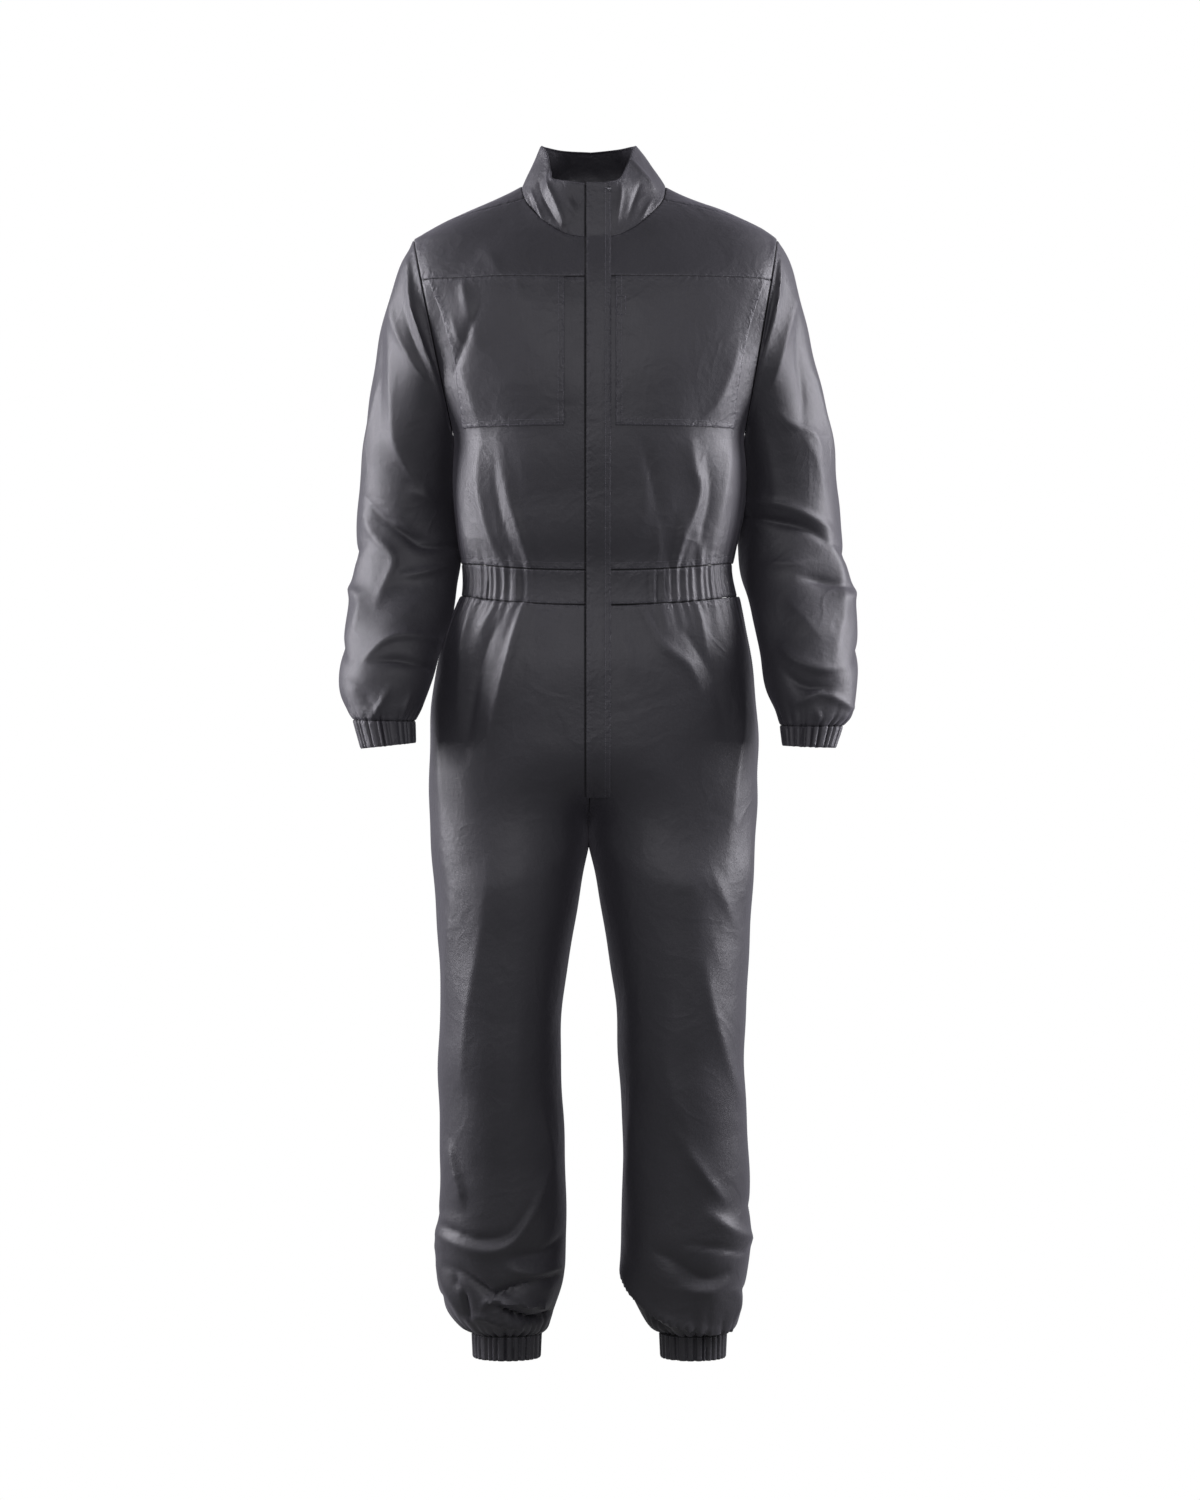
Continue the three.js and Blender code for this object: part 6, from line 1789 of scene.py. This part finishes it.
@dataclass
class Waistband:
    """Elastic waistband: plain at the middle of the front, gathered at the sides and round the back."""

    finishes: Finishes
    step: float = 2.6

    def half(self, side: Side, face: Face, us: Array, vs: Array) -> Array:
        """Points of one quarter of the band, between its two seams."""
        turn = us[None, :]
        top = waist_level(WAIST_TOP, face, turn) - SEAM / 2
        low = waist_level(WAIST_SEAM, face, turn) + SEAM / 2
        start = ZIP["edge"] if face is Face.FRONT else 0.0
        return section_point(side, face, turn, lerp(top, low, vs[:, None]), start)

    def build(self) -> None:
        """Makes the three bands and their stitches."""
        thread = Stitching("stitches_waistband")
        vs = spaced(43, 4.0)
        for side in Side:
            points = self.half(side, Face.FRONT, spaced(235, self.step), vs)
            points[:, -1, 1] -= SEAM / 2
            name = f"waistband_front_{side.value}"
            self.band(name, Cloth(points, body_normals(points)), thread)
        us = spaced(500, self.step)
        turn = np.abs(us * 2 - 1)
        right, left = (self.half(side, Face.BACK, turn, vs) for side in (Side.RIGHT, Side.LEFT))
        points = np.where((us <= 0.5)[None, :, None], right, left)
        points[:, [0, -1], 1] += SEAM / 2
        self.band("waistband_back", Cloth(points, body_normals(points)), thread)
        thread.build(self.finishes.thread, "band")

    def band(self, node: str, cloth: Cloth, thread: Stitching) -> None:
        """One band, raised by the gathers, with a row of stitches along each seam."""
        piece = ClothPiece(f"cloth_{node}", (node,), "band", cloth, Sewing(wall=1.2), "gathered")
        heights = [BODY_DRAPE.height(cloth) * 0.4, waist_gathers(cloth)]
        done = piece.build(heights, self.finishes.band)
        for edge in (Edge.TOP, Edge.BOTTOM):
            thread.run(done.line_in(edge, 2.2))


@dataclass
class Legs:
    """Front and back of each leg, from the waist seam down to the ankle cuffs that they hang over."""

    finishes: Finishes
    step: float = 4.6

    def rings(self, side: Side) -> Array:
        """Rings at even lengths down the front of a leg, with lines close to both ends."""
        fine = np.linspace(0, LEG_RINGS, 600)
        line = leg_point(side, Face.FRONT, np.full(600, 0.5), fine)
        along = np.concatenate([[0], np.cumsum(np.linalg.norm(np.diff(line, axis=0), axis=1))])
        return np.interp(spaced(along[-1], self.step) * along[-1], along, fine)

    def panel(self, side: Side, face: Face) -> Cloth:
        """One panel: columns from the inseam to the side seam, rows from the waist to the ankle."""
        ring = self.rings(side)[:, None]
        us = spaced(330, self.step)[None, :]
        points = leg_point(side, face, us, ring)
        gap = (SEAM / 2 + 0.05) * face.sign
        above = ring[:, 0] < CROTCH_RING + 0.5
        points[above, 0, 0] += side.sign * SEAM
        points[:, [0, -1], 1] += gap
        points[0, :, 2] -= SEAM
        points[-1, :, 2] -= TUCK
        table = LEG[side.value]
        wide = np.where(ring < CROTCH_RING, table.read("outer", ring) * 0.4,
                        (table.read("inner", ring) + table.read("outer", ring)) / 2)
        middle = stack(side.sign * wide, table.read("mid", ring), table.read("z", ring))
        cloth = Cloth.around(points, middle)
        across = (1 - smooth(cloth.from_edge(Edge.START), 0, 9)) * above[:, None]
        cloth.normals[..., 0] *= 1 - across
        cloth.normals = unit(cloth.normals)
        return cloth

    def folds(self, side: Side, cloth: Cloth) -> Array:
        """Folds of a leg: its drape, the waist's gathers at the top and the ankle's at the bottom."""
        folds = LEG_DRAPE[side.value].height(cloth) + waist_gathers(cloth) + ankle_gathers(side, cloth.points)
        return folds - tucked(cloth)

    def build(self) -> None:
        """Makes the four panels and the stitches along their seams."""
        thread = Stitching("stitches_legs")
        for side in Side:
            for face in Face:
                node = f"leg_{face.value}_{side.value}"
                cloth = self.panel(side, face)
                piece = ClothPiece(f"cloth_{node}", (node,), "cloth", cloth, Sewing(), "hung",
                                   (f"cloth_waistband_{face.value}"
                                    + (f"_{side.value}" if face is Face.FRONT else ""),))
                done = piece.build([self.folds(side, cloth)], self.finishes.cloth)
                thread.run(done.line_in(Edge.TOP, 2.0))
                if face is Face.BACK:
                    thread.run(done.line_in(Edge.END, 2.0))
                    thread.run(done.line_in(Edge.END, 8.0))
        thread.build(self.finishes.thread, "cloth")


@dataclass
class Sleeves:
    """Both sleeves from the armhole to the wrist cuff, each a tube of two pieces sewn together."""

    finishes: Finishes
    step: float = 3.4
    seam_turns: tuple[float, float] = (0.5, 0.875)

    def tube(self, side: Side) -> tuple[Cloth, Array]:
        """A sleeve's tube, whose columns start at the underarm seam.

        Args:
            side: Which sleeve.

        Returns:
            The cloth, and the turn of each column.
        """
        table = SLEEVE[side.value]
        fine = np.linspace(0, SLEEVE_RINGS, 600)
        line = oval_point(side, lambda name: table.read(name, fine), np.full(600, 0.12))
        along = np.concatenate([[0], np.cumsum(np.linalg.norm(np.diff(line, axis=0), axis=1))])
        ring = np.interp(spaced(along[-1], self.step) * along[-1], along, fine)[:, None]
        count = round(480 / self.step)
        turn = (self.seam_turns[0] + np.arange(count) / count)[None, :]
        points = oval_point(side, lambda name: table.read(name, ring), turn)
        middle = stack(side.sign * (table.read("in_x", ring) + table.read("out_x", ring)) / 2,
                       table.read("mid", ring), (table.read("in_z", ring) + table.read("out_z", ring)) / 2)
        cloth = Cloth.around(points, middle, closed=True)
        plane = unit(np.array([side.sign * (TIP_Z - ARMPIT_Z), 0, ARMPIT_X[side.value] - TIP_X[side.value]]))
        ease = (1 - smooth(ring, 0, 0.6))[..., None]
        normals = cloth.normals - ease * np.sum(cloth.normals * plane, -1, keepdims=True) * plane
        points = points + plane * (SEAM * 1.5) * (1 - smooth(ring, 0, 0.3))[..., None]
        end = CUFF_END[side.value]
        points[-1] += unit(oval_point(side, lambda name: np.array(end[name]), turn[0]) - points[-1]) * TUCK
        return Cloth(points, unit(normals), True), turn[0] % 1

    def build(self) -> None:
        """Makes the two sleeves and the stitches along their armholes."""
        thread = Stitching("stitches_sleeves")
        for side in Side:
            name = side.value
            cloth, turn = self.tube(side)
            from_top, from_end = cloth.from_edge(Edge.TOP), cloth.from_edge(Edge.BOTTOM)
            gathers = WRIST_GATHERS[name].height(np.broadcast_to(turn, from_end.shape), from_end) - 0.8
            gathers = gathers * (from_end < 120)
            folds = SLEEVE_DRAPE[name].height(cloth) * smooth(from_top, 0,
                                                              16) * (0.35 + 0.65 * smooth(from_end, 0, 22))
            around = np.concatenate([[0], np.cumsum(np.linalg.norm(np.diff(cloth.points[60], axis=0),
                                                                   axis=1))])
            groove = np.zeros(from_top.shape)
            for seam in self.seam_turns:
                apart = turn - seam
                gap = np.abs(apart - np.round(apart)) * around[-1]
                groove = groove - 0.8 * np.exp(-((gap / 1.8) ** 2))
            piece = ClothPiece(f"cloth_sleeve_{name}", (f"sleeve_top_{name}", f"sleeve_under_{name}"),
                               "cloth", cloth,
                               Sewing((Edge.TOP, Edge.BOTTOM)), "hung", ("cloth_back_yoke",))
            done = piece.build([folds, gathers * np.exp(-from_end / 60), groove - tucked(cloth)],
                               self.finishes.cloth)
            thread.run(done.line_in(Edge.TOP, 2.0))
        thread.build(self.finishes.thread, "cloth")


@dataclass
class Cuffs:
    """Gathered bands round the wrists and the ankles."""

    finishes: Finishes
    step: float = 1.5

    def wrist(self, side: Side) -> tuple[Cloth, Array]:
        """A wrist band between the sleeve's last ring and its own end."""
        count = round(250 / self.step)
        turn = (0.5 + np.arange(count) / count)[None, :]
        vs = spaced(34, 3.2)[:, None]
        table, end = SLEEVE[side.value], CUFF_END[side.value]

        def read(name: str) -> Array:
            drop = SEAM * 1.6 * (1 - vs) if name in ("out_z", "in_z") else 0
            return lerp(table.read(name, SLEEVE_RINGS), end[name], vs) - drop

        points = oval_point(side, read, turn)
        middle = stack(side.sign * (read("in_x") + read("out_x")) / 2, read("mid"),
                       (read("in_z") + read("out_z")) / 2)
        return Cloth.around(points, middle, closed=True), turn[0] % 1

    def ankle(self, side: Side) -> Cloth:
        """An ankle band, an ellipse that narrows a little downwards."""
        count = round(310 / self.step)
        angle = (np.arange(count) / count * 2 * math.pi)[None, :]
        vs = spaced(33, 3.2)[:, None]
        last = LEG_RINGS
        table = LEG[side.value]
        inner, outer, mid = (float(table.read(name, last)) for name in ("inner", "outer", "mid"))
        half = (outer - inner) / 2 - ANKLE["flare"] * vs
        deep = float(table.read("front", last)) - ANKLE["flare"] * vs
        x = side.sign * ((inner + outer) / 2 + half * np.cos(angle))
        z = lerp(ANKLE["top"], ANKLE["bottom"], vs)
        points = stack(x, mid - deep * np.sin(angle), z)
        middle = stack(side.sign * (inner + outer) / 2, mid, z)
        return Cloth.around(points, middle, closed=True)

    def build(self) -> None:
        """Makes the four bands and a row of stitches on each."""
        thread = Stitching("stitches_cuffs")
        sewing = Sewing((Edge.TOP,), (Edge.BOTTOM,), 1.2)
        for side in Side:
            name = side.value
            wrist, turn = self.wrist(side)
            heights = WRIST_GATHERS[name].height(np.broadcast_to(turn, wrist.points.shape[:2]),
                                                 np.zeros(1)) - 0.8
            piece = ClothPiece(f"cloth_wrist_cuff_{name}", (f"wrist_cuff_{name}",), "band", wrist, sewing,
                               "gathered",
                               (f"cloth_sleeve_{name}",))
            done = piece.build([heights], self.finishes.band)
            thread.run(done.line_in(Edge.TOP, 2.2))
            ankle = self.ankle(side)
            piece = ClothPiece(f"cloth_ankle_cuff_{name}", (f"ankle_cuff_{name}",), "band", ankle, sewing,
                               "gathered",
                               (f"cloth_leg_front_{name}", f"cloth_leg_back_{name}"))
            done = piece.build([ankle_gathers(side, ankle.points) - 0.8], self.finishes.band)
            thread.run(done.line_in(Edge.TOP, 2.2))
        thread.build(self.finishes.thread, "band")


@dataclass
class Collar:
    """Stand collar, folded at its top edge and open at the front, where the zip ends."""

    finishes: Finishes
    step: float = 2.4

    def grid(self) -> Cloth:
        """The collar from its top edge down to the neck seam, from the right front end to the left one."""
        us, vs = spaced(500, self.step), spaced(85, self.step)
        turn = lerp(NECK_START_TURN, NECK_TURNS, np.where(us <= 0.5, us * 2, 2 - us * 2))
        turns, ups = np.broadcast_arrays(turn[None, :], 1 - vs[:, None])
        right, left = (collar_point(side, turns, ups) for side in (Side.RIGHT, Side.LEFT))
        points = np.where((us <= 0.5)[None, :, None], right, left)
        return Cloth.around(points, np.array([0.0, 0.0, 20.0]))

    def build(self) -> None:
        """Makes the collar with its topstitching."""
        cloth = self.grid()
        sewing = Sewing((Edge.BOTTOM,), (Edge.TOP, Edge.START, Edge.END), COLLAR_WALL)
        piece = ClothPiece("cloth_collar", ("collar",), "cloth", cloth, sewing, "hung", ("cloth_back_yoke",))
        done = piece.build([COLLAR_DRAPE.height(cloth)], self.finishes.cloth)
        thread = Stitching("stitches_collar")
        thread.run(done.line_in(Edge.TOP, 2.2))
        thread.run(done.line_in(Edge.BOTTOM, 2.2))
        thread.build(self.finishes.thread, "cloth")


class FrontLine:
    """Depth of the suit's front near its middle, which the zip and its flap follow."""

    @staticmethod
    def leg_y(side: Side, x: Array, z: Array) -> Array:
        """Depth of a leg's front, found by halving on its ring and its turn in turns."""
        turn, ring = np.zeros(x.shape), np.zeros(x.shape)
        for _ in range(4):
            low, high = np.zeros(x.shape), np.full(x.shape, CROTCH_RING)
            for _ in range(20):
                middle = (low + high) / 2
                above = leg_point(side, Face.FRONT, turn, middle)[..., 2] > z
                low, high = np.where(above, middle, low), np.where(above, high, middle)
            ring = (low + high) / 2
            low, high = np.zeros(x.shape), np.full(x.shape, 0.5)
            for _ in range(20):
                middle = (low + high) / 2
                above = side.sign * leg_point(side, Face.FRONT, middle, ring)[..., 0] < np.abs(x)
                low, high = np.where(above, middle, low), np.where(above, high, middle)
            turn = (low + high) / 2
        return leg_point(side, Face.FRONT, turn, ring)[..., 1]

    @classmethod
    def y(cls, x: Array, z: Array) -> Array:
        """Depth of the front: the collar, the chest's section or the leg, by the height."""
        x, z = np.broadcast_arrays(np.asarray(x, float), np.asarray(z, float))
        result = np.zeros(x.shape)
        neck_z, top_z = NECK.rows[0, 3], COLLAR_TOP["left"].rows[0, 3]
        for side in Side:
            ours = (x < 0) == (side is Side.RIGHT)
            up = np.clip((z - neck_z) / (top_z - neck_z), 0, 1.05)
            collar = collar_point(side, np.clip(np.abs(x) / 31, 0.1, 1), up)[..., 1]
            chest = section_at(side, Face.FRONT, section_angle(side, Face.FRONT, np.abs(x), z), z)[..., 1]
            leg = cls.leg_y(side, x, np.minimum(z, WAIST_SEAM["front"]))
            depth = np.where(z > neck_z, collar, np.where(z < WAIST_SEAM["front"], leg, chest))
            result = np.where(ours, depth, result)
        return result


@dataclass
class Fly:
    """Zip with its tape and teeth, the flap over it, the slider and the stud at the collar."""

    finishes: Finishes

    def flap(self) -> None:
        """Flap over the zip: sewn on the wearer's left and free on the right, with two rows of stitches along
        the sewn edge.
        """
        xs = np.linspace(FLAP["free"], FLAP["sewn"], 15)
        xs = np.sort(np.concatenate([xs, [FLAP["free"] + 0.7, FLAP["sewn"] - 0.7]]))[None, :]
        length = FLAP["top"] - FLAP["bottom"]
        zs = (FLAP["top"] - length * spaced(length, 4.0))[:, None]
        slant = smooth(zs, FLAP["top"] - 30, FLAP["top"]) * (xs - FLAP["free"]) * -0.02
        points = stack(xs, FrontLine.y(xs, zs), zs + slant)
        cloth = Cloth.around(points, stack(6.0, 0.0, zs))
        rise = lerp(FLAP["lift"], 1.15, smooth(xs, 8, FLAP["sewn"]))
        heights = [np.broadcast_to(rise, cloth.points.shape[:2]), self.settle(cloth)]
        # The free edge is among the shaded edges: painted shadow along its rim.
        sewing = Sewing((), (Edge.TOP, Edge.BOTTOM, Edge.START, Edge.END), 1.0, (Edge.START,))
        piece = ClothPiece("cloth_front_flap", ("front_flap",), "cloth", cloth, sewing, "hung",
                           ("cloth_front_left", "cloth_front_yoke_left"))
        done = piece.build(heights, self.finishes.cloth)
        thread = Stitching("stitches_fly")
        for inset in (2.0, 8.0):
            thread.run(done.line_in(Edge.END, inset))
        thread.build(self.finishes.thread, "cloth")

    def settle(self, cloth: Cloth) -> Array:
        """Folds of what the flap lies on: the body's drape above the waist seam, the legs' below it."""
        above = BODY_DRAPE.height(cloth)
        low = unevenness(cloth.points, LEG_DRAPE["left"].seed, LEG_DRAPE["left"].amount,
                         LEG_DRAPE["left"].lengths)
        share = smooth(cloth.points[..., 2], WAIST_SEAM["front"] - 4, WAIST_SEAM["front"] + 4)
        return lerp(low, above, share)

    def zip(self) -> None:
        """Zip tape behind the fronts' edges, with two rows of moulded teeth that mesh."""
        xs = np.linspace(-ZIP["half"], ZIP["half"], 9)[None, :]
        top = COLLAR_TOP["left"].rows[0, 3] - 3
        length = top - ZIP["bottom"]
        zs = (top - length * spaced(length, 5.0))[:, None]
        depth = FrontLine.y(np.array([-ZIP["half"], 0.0, ZIP["half"]])[None, :], zs).max(axis=1,
                                                                                         keepdims=True)
        points = stack(xs, depth + 2.75, zs)
        cloth = Cloth.around(points, stack(0.0, 60.0, zs))
        heights = [unevenness(cloth.points, BODY_DRAPE.seed, BODY_DRAPE.amount, BODY_DRAPE.lengths)]
        piece = ClothPiece("cloth_zip_tape", ("zip_tape",), "zip_tape", cloth, Sewing((), (), 0.8), "hung",
                           ("cloth_front_left", "cloth_front_right"))
        done = piece.build(heights, self.finishes.tape)
        pitch = 1.6
        rows = np.arange(4, length - 4, pitch)
        along = done.lengths(0)[:, 4]
        line = np.stack([np.interp(rows, along, done.points[:, 4, k]) for k in range(3)], axis=1)
        side = np.where(np.arange(len(rows)) % 2, 1, -1)
        centres = line + stack(side * 1.1, -0.75, 0.0)
        signs = np.array([[x, y, z] for x in (-1, 1) for y in (-1, 1) for z in (-1, 1)], float)
        size = np.array([1.75, 0.8, 0.62])
        taper = 1 - 0.25 * (signs[:, 1:2] < 0)
        corners = centres[:, None] + signs[None] * size * taper
        box = np.array([(0, 1, 3, 2), (4, 6, 7, 5), (0, 4, 5, 1), (2, 3, 7, 6), (0, 2, 6, 4), (1, 5, 7, 3)])
        faces = (np.arange(len(rows))[:, None, None] * 8 + box[None]).reshape(-1, 4)
        teeth = ShellMaker.object_of("zip_teeth", corners.reshape(-1, 3), faces, self.finishes.teeth)
        ShellMaker.place(teeth, "zip_tape")

    def build(self) -> None:
        """Makes the zip, the flap and the two small fittings."""
        self.zip()
        self.flap()
        self.slider()
        self.stud()

    def fitting(self, x: float, z: float, out: float) -> tuple[Array, float]:
        """Place of a small fitting on the collar's front, and how far it leans back with the collar."""
        lean = math.atan2(float(FrontLine.y(0.0, z + 5) - FrontLine.y(0.0, z - 5)), 10)
        y = float(FrontLine.y(np.array([FLAP["free"], 0.0, FLAP["sewn"]]), z).min())
        return np.array([x, y - out, z]), lean

    @staticmethod
    def leaned(points: Array, at: Array, lean: float) -> Array:
        """Points turned about X by a lean and moved to a place."""
        y, z = points[..., 1], points[..., 2]
        turned = stack(points[..., 0], y * math.cos(lean) + z * math.sin(lean),
                       z * math.cos(lean) - y * math.sin(lean))
        return turned + at

    def slider(self) -> None:
        """Slider: a waisted body with rounded edges, a bridge over it and a pull that hangs down."""
        at, lean = self.fitting(SLIDER["x"], SLIDER["z"], -0.7)
        parts = [
            rounded_block((SLIDER["width"], SLIDER["thick"] * 0.62, SLIDER["height"]), (0, 0.3, 0), 5.0),
            rounded_block((1.1, 1.0, 4.4), (0, -1.0, 0.9), 4.0),
            rounded_block((2.6, 0.6, 6.0), (0, -1.15, -1.9), 4.0),
        ]
        points, faces = joined(parts)
        piece = ShellMaker.object_of("slider", self.leaned(points, at, lean), faces, self.finishes.metal)
        ShellMaker.place(piece, "metal", ["zip_slider"])

    def stud(self) -> None:
        """Stud: a domed cap with a turned rim, spun from its profile round Y."""
        at, lean = self.fitting(STUD["x"], STUD["z"], FLAP["lift"] + 0.5)
        radius, thick = STUD["radius"], STUD["thick"]
        t = np.linspace(0, 1, 9)
        reach = np.concatenate([[0.001], radius * 0.82 * np.sin(t[1:] * math.pi / 2),
                                [radius, radius, radius * 0.9, 0.001]])
        rise = np.concatenate([[thick], thick * (0.45 + 0.55 * np.cos(t[1:] * math.pi / 2)),
                               [thick * 0.4, 0.15, 0.0, 0.0]])
        angle = np.arange(28) / 28 * 2 * math.pi
        points = stack(reach[:, None] * np.cos(angle), -rise[:, None], reach[:, None] * np.sin(angle))
        index = np.arange(points.shape[0] * 28).reshape(-1, 28)
        index = np.concatenate([index, index[:, :1]], axis=1)
        faces = np.stack([index[:-1, :-1], index[:-1, 1:], index[1:, 1:], index[1:, :-1]], -1).reshape(-1, 4)
        placed = self.leaned(points.reshape(-1, 3), at, lean)
        piece = ShellMaker.object_of("stud", placed, faces, self.finishes.metal)
        ShellMaker.place(piece, "metal", ["collar_stud"])


def rounded_block(size: Sequence[float], at: Sequence[float], power: float) -> tuple[Array, Array]:
    """A block with rounded edges: a superellipsoid of an even power, with 20 by 12 faces.

    Args:
        size: Full width, depth and height.
        at: Middle.
        power: How square it is, where 2 is an ellipsoid.

    Returns:
        Points and faces.
    """
    around, up = 20, 12
    a = (np.arange(around) / around * 2 * math.pi)[None, :]
    b = np.linspace(-math.pi / 2, math.pi / 2, up + 1)[:, None]
    e = 2 / power
    x = signed_power(np.cos(b), e) * signed_power(np.cos(a), e) * size[0] / 2
    y = signed_power(np.cos(b), e) * signed_power(np.sin(a), e) * size[1] / 2
    z = signed_power(np.sin(b), e) * size[2] / 2
    points = stack(x, y, z).reshape(-1, 3) + np.array(at, float)
    index = np.arange((up + 1) * around).reshape(up + 1, around)
    index = np.concatenate([index, index[:, :1]], axis=1)
    faces = np.stack([index[:-1, :-1], index[:-1, 1:], index[1:, 1:], index[1:, :-1]], -1).reshape(-1, 4)
    return points, faces


def joined(parts: Sequence[tuple[Array, Array]]) -> tuple[Array, Array]:
    """Several meshes as one: the points in a row and the faces counted on."""
    offsets = np.cumsum([0] + [len(points) for points, _ in parts[:-1]])
    faces = [part[1] + offset for part, offset in zip(parts, offsets)]
    return np.concatenate([points for points, _ in parts]), np.concatenate(faces)


@dataclass
class SideTab:
    """Small plain woven tab, a loop of ribbon that stands out of the wearer's left side seam."""

    finishes: Finishes

    def build(self) -> None:
        """Makes the tab: its section leaves the seam, turns round at its end and comes back."""
        bend = LABEL["thick"] / 2
        t = np.linspace(0, 1, 17)[None, :]
        turn = (t - 0.5) * math.pi
        straight = np.clip((0.5 - np.abs(t - 0.5)) / 0.5, 0, 1) * (LABEL["width"] + 1.4)
        z = (LABEL["z"] + LABEL["height"] / 2 - LABEL["height"] * np.linspace(0, 1, 9))[:, None]
        seam = half_width(Side.LEFT, Face.FRONT, z) - 0.8
        points = stack(seam + straight, bend * np.sin(turn) * (1 + 0.2 * np.cos(turn)), z)
        cloth = Cloth.around(points, stack(seam, 0.0, z))
        piece = ClothPiece("cloth_side_tab", ("side_label",), "label", cloth, Sewing((), (), 0.3), "folded",
                           ("cloth_front_left",))
        piece.build([np.zeros(points.shape[:2])], self.finishes.label)


@dataclass
class Studio:
    """Camera at the photograph's angle, soft white light from both sides and the front, and a pale floor."""

    distance: float = 6.0
    eye: tuple[float, float] = (0.0079, -0.7194)
    picture_height: float = 1.98
    floor_z: float = -1.5235
    floor_radius: float = 0.6

    def camera(self) -> None:
        """A level camera whose long side takes in the picture's height at the suit."""
        data = bpy.data.cameras.new("camera")
        data.sensor_width = 36
        data.lens = 36 * self.distance / self.picture_height
        item = bpy.data.objects.new("camera", data)
        item.location = (self.eye[0], -self.distance, self.eye[1])
        item.rotation_euler = (math.pi / 2, 0, 0)
        bpy.context.scene.collection.objects.link(item)
        bpy.context.scene.camera = item

    def light(self, name: str, at: Sequence[float], size: tuple[float, float], power: float) -> None:
        """A rectangular softbox that faces the suit's middle.

        Args:
            name: Name of the light.
            at: Its place.
            size: Width and height.
            power: Watts.
        """

        data = bpy.data.lights.new(name, "AREA")
        data.shape = "RECTANGLE"
        data.size, data.size_y = size
        data.energy = power
        data.color = (0.95, 0.93, 1.0)
        item = bpy.data.objects.new(name, data)
        item.location = at
        item.rotation_euler = (Vector((0, 0, self.eye[1])) - Vector(at)).to_track_quat("-Z", "Y").to_euler()
        bpy.context.scene.collection.objects.link(item)

    def world(self) -> None:
        """White seen straight on, and a weaker white that fills the shadows."""
        world = bpy.data.worlds.new("studio white")
        bpy.context.scene.world = world
        world.use_nodes = True
        graph = Graph(world.node_tree)
        world.node_tree.nodes.clear()
        seen = graph.add("Background", {"Color": (1, 1, 1, 1), "Strength": 1.0})
        fill = graph.add("Background", {"Color": (0.93, 0.92, 1.0, 1), "Strength": 0.3})
        path = graph.add("LightPath")
        mix = graph.add("MixShader", {0: path.outputs["Is Camera Ray"], 1: fill.outputs[0],
                                      2: seen.outputs[0]})
        graph.add("OutputWorld", {0: mix.outputs[0]})

    def floor(self) -> None:
        """A pale disc under the cuffs that passes into the white towards its rim."""
        angle = np.arange(96) / 96 * 2 * math.pi
        rings = np.array([0.0001, 0.2, 0.4, self.floor_radius])
        points = stack(rings[:, None] * np.cos(angle), rings[:, None] * np.sin(angle), self.floor_z)
        index = np.arange(len(rings) * 96).reshape(-1, 96)
        index = np.concatenate([index, index[:, :1]], axis=1)
        faces = np.stack([index[:-1, :-1], index[1:, :-1], index[1:, 1:], index[:-1, 1:]], -1).reshape(-1, 4)
        mesh = bpy.data.meshes.new("floor")
        mesh.from_pydata(points.reshape(-1, 3), [], faces)
        item = bpy.data.objects.new("floor", mesh)
        bpy.context.scene.collection.objects.link(item)
        paint = bpy.data.materials.new("pale floor")
        paint.use_nodes = True
        graph = Graph(paint.node_tree)
        shader = paint.node_tree.nodes["Principled BSDF"]
        shader.inputs["Base Color"].default_value = (0.93, 0.93, 0.94, 1)
        shader.inputs["Roughness"].default_value = 0.9
        shader.inputs["Specular IOR Level"].default_value = 0.1
        place = graph.add("TexCoord").outputs["Object"]
        radius = graph.add("VectorMath", {0: place}, operation="LENGTH").outputs["Value"]
        fade = graph.add("MapRange", {"Value": radius, "From Min": 0.15,
                                      "From Max": self.floor_radius - 0.05},
                         interpolation_type="SMOOTHERSTEP").outputs[0]
        seen = graph.add("LightPath").outputs["Is Camera Ray"]
        glow = graph.math("MAXIMUM", seen, 0.22)
        white = graph.add("Emission", {"Color": (1, 1, 1, 1), "Strength": glow})
        mix = graph.add("MixShader", {0: fade, 1: shader.outputs[0], 2: white.outputs[0]})
        paint.node_tree.links.new(mix.outputs[0], paint.node_tree.nodes["Material Output"].inputs[0])
        mesh.materials.append(paint)

    def build(self) -> None:
        """Sets up the camera, the world, the lights and the floor."""
        bpy.context.scene.view_settings.view_transform = "Standard"
        self.camera()
        self.world()
        self.floor()
        self.light("left softbox", (-1.95, 0.1, 0.0), (0.6, 1.9), 66)
        self.light("right softbox", (1.95, 0.1, 0.0), (0.6, 1.9), 66)
        self.light("front softbox", (0, -4.5, 1.2), (2.4, 1.6), 50)


def main() -> None:
    """Builds the studio and the suit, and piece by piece."""
    logging.basicConfig(level=logging.INFO, format="%(name)s: %(message)s")
    Studio().build()
    finishes = Finishes()
    for part in (Body, ChestPockets, Waistband, Legs, Sleeves, Cuffs, Collar, Fly, SideTab):
        part(finishes).build()
        log.info("%s is made", part.__name__)


if __name__ == "__main__":
    main()
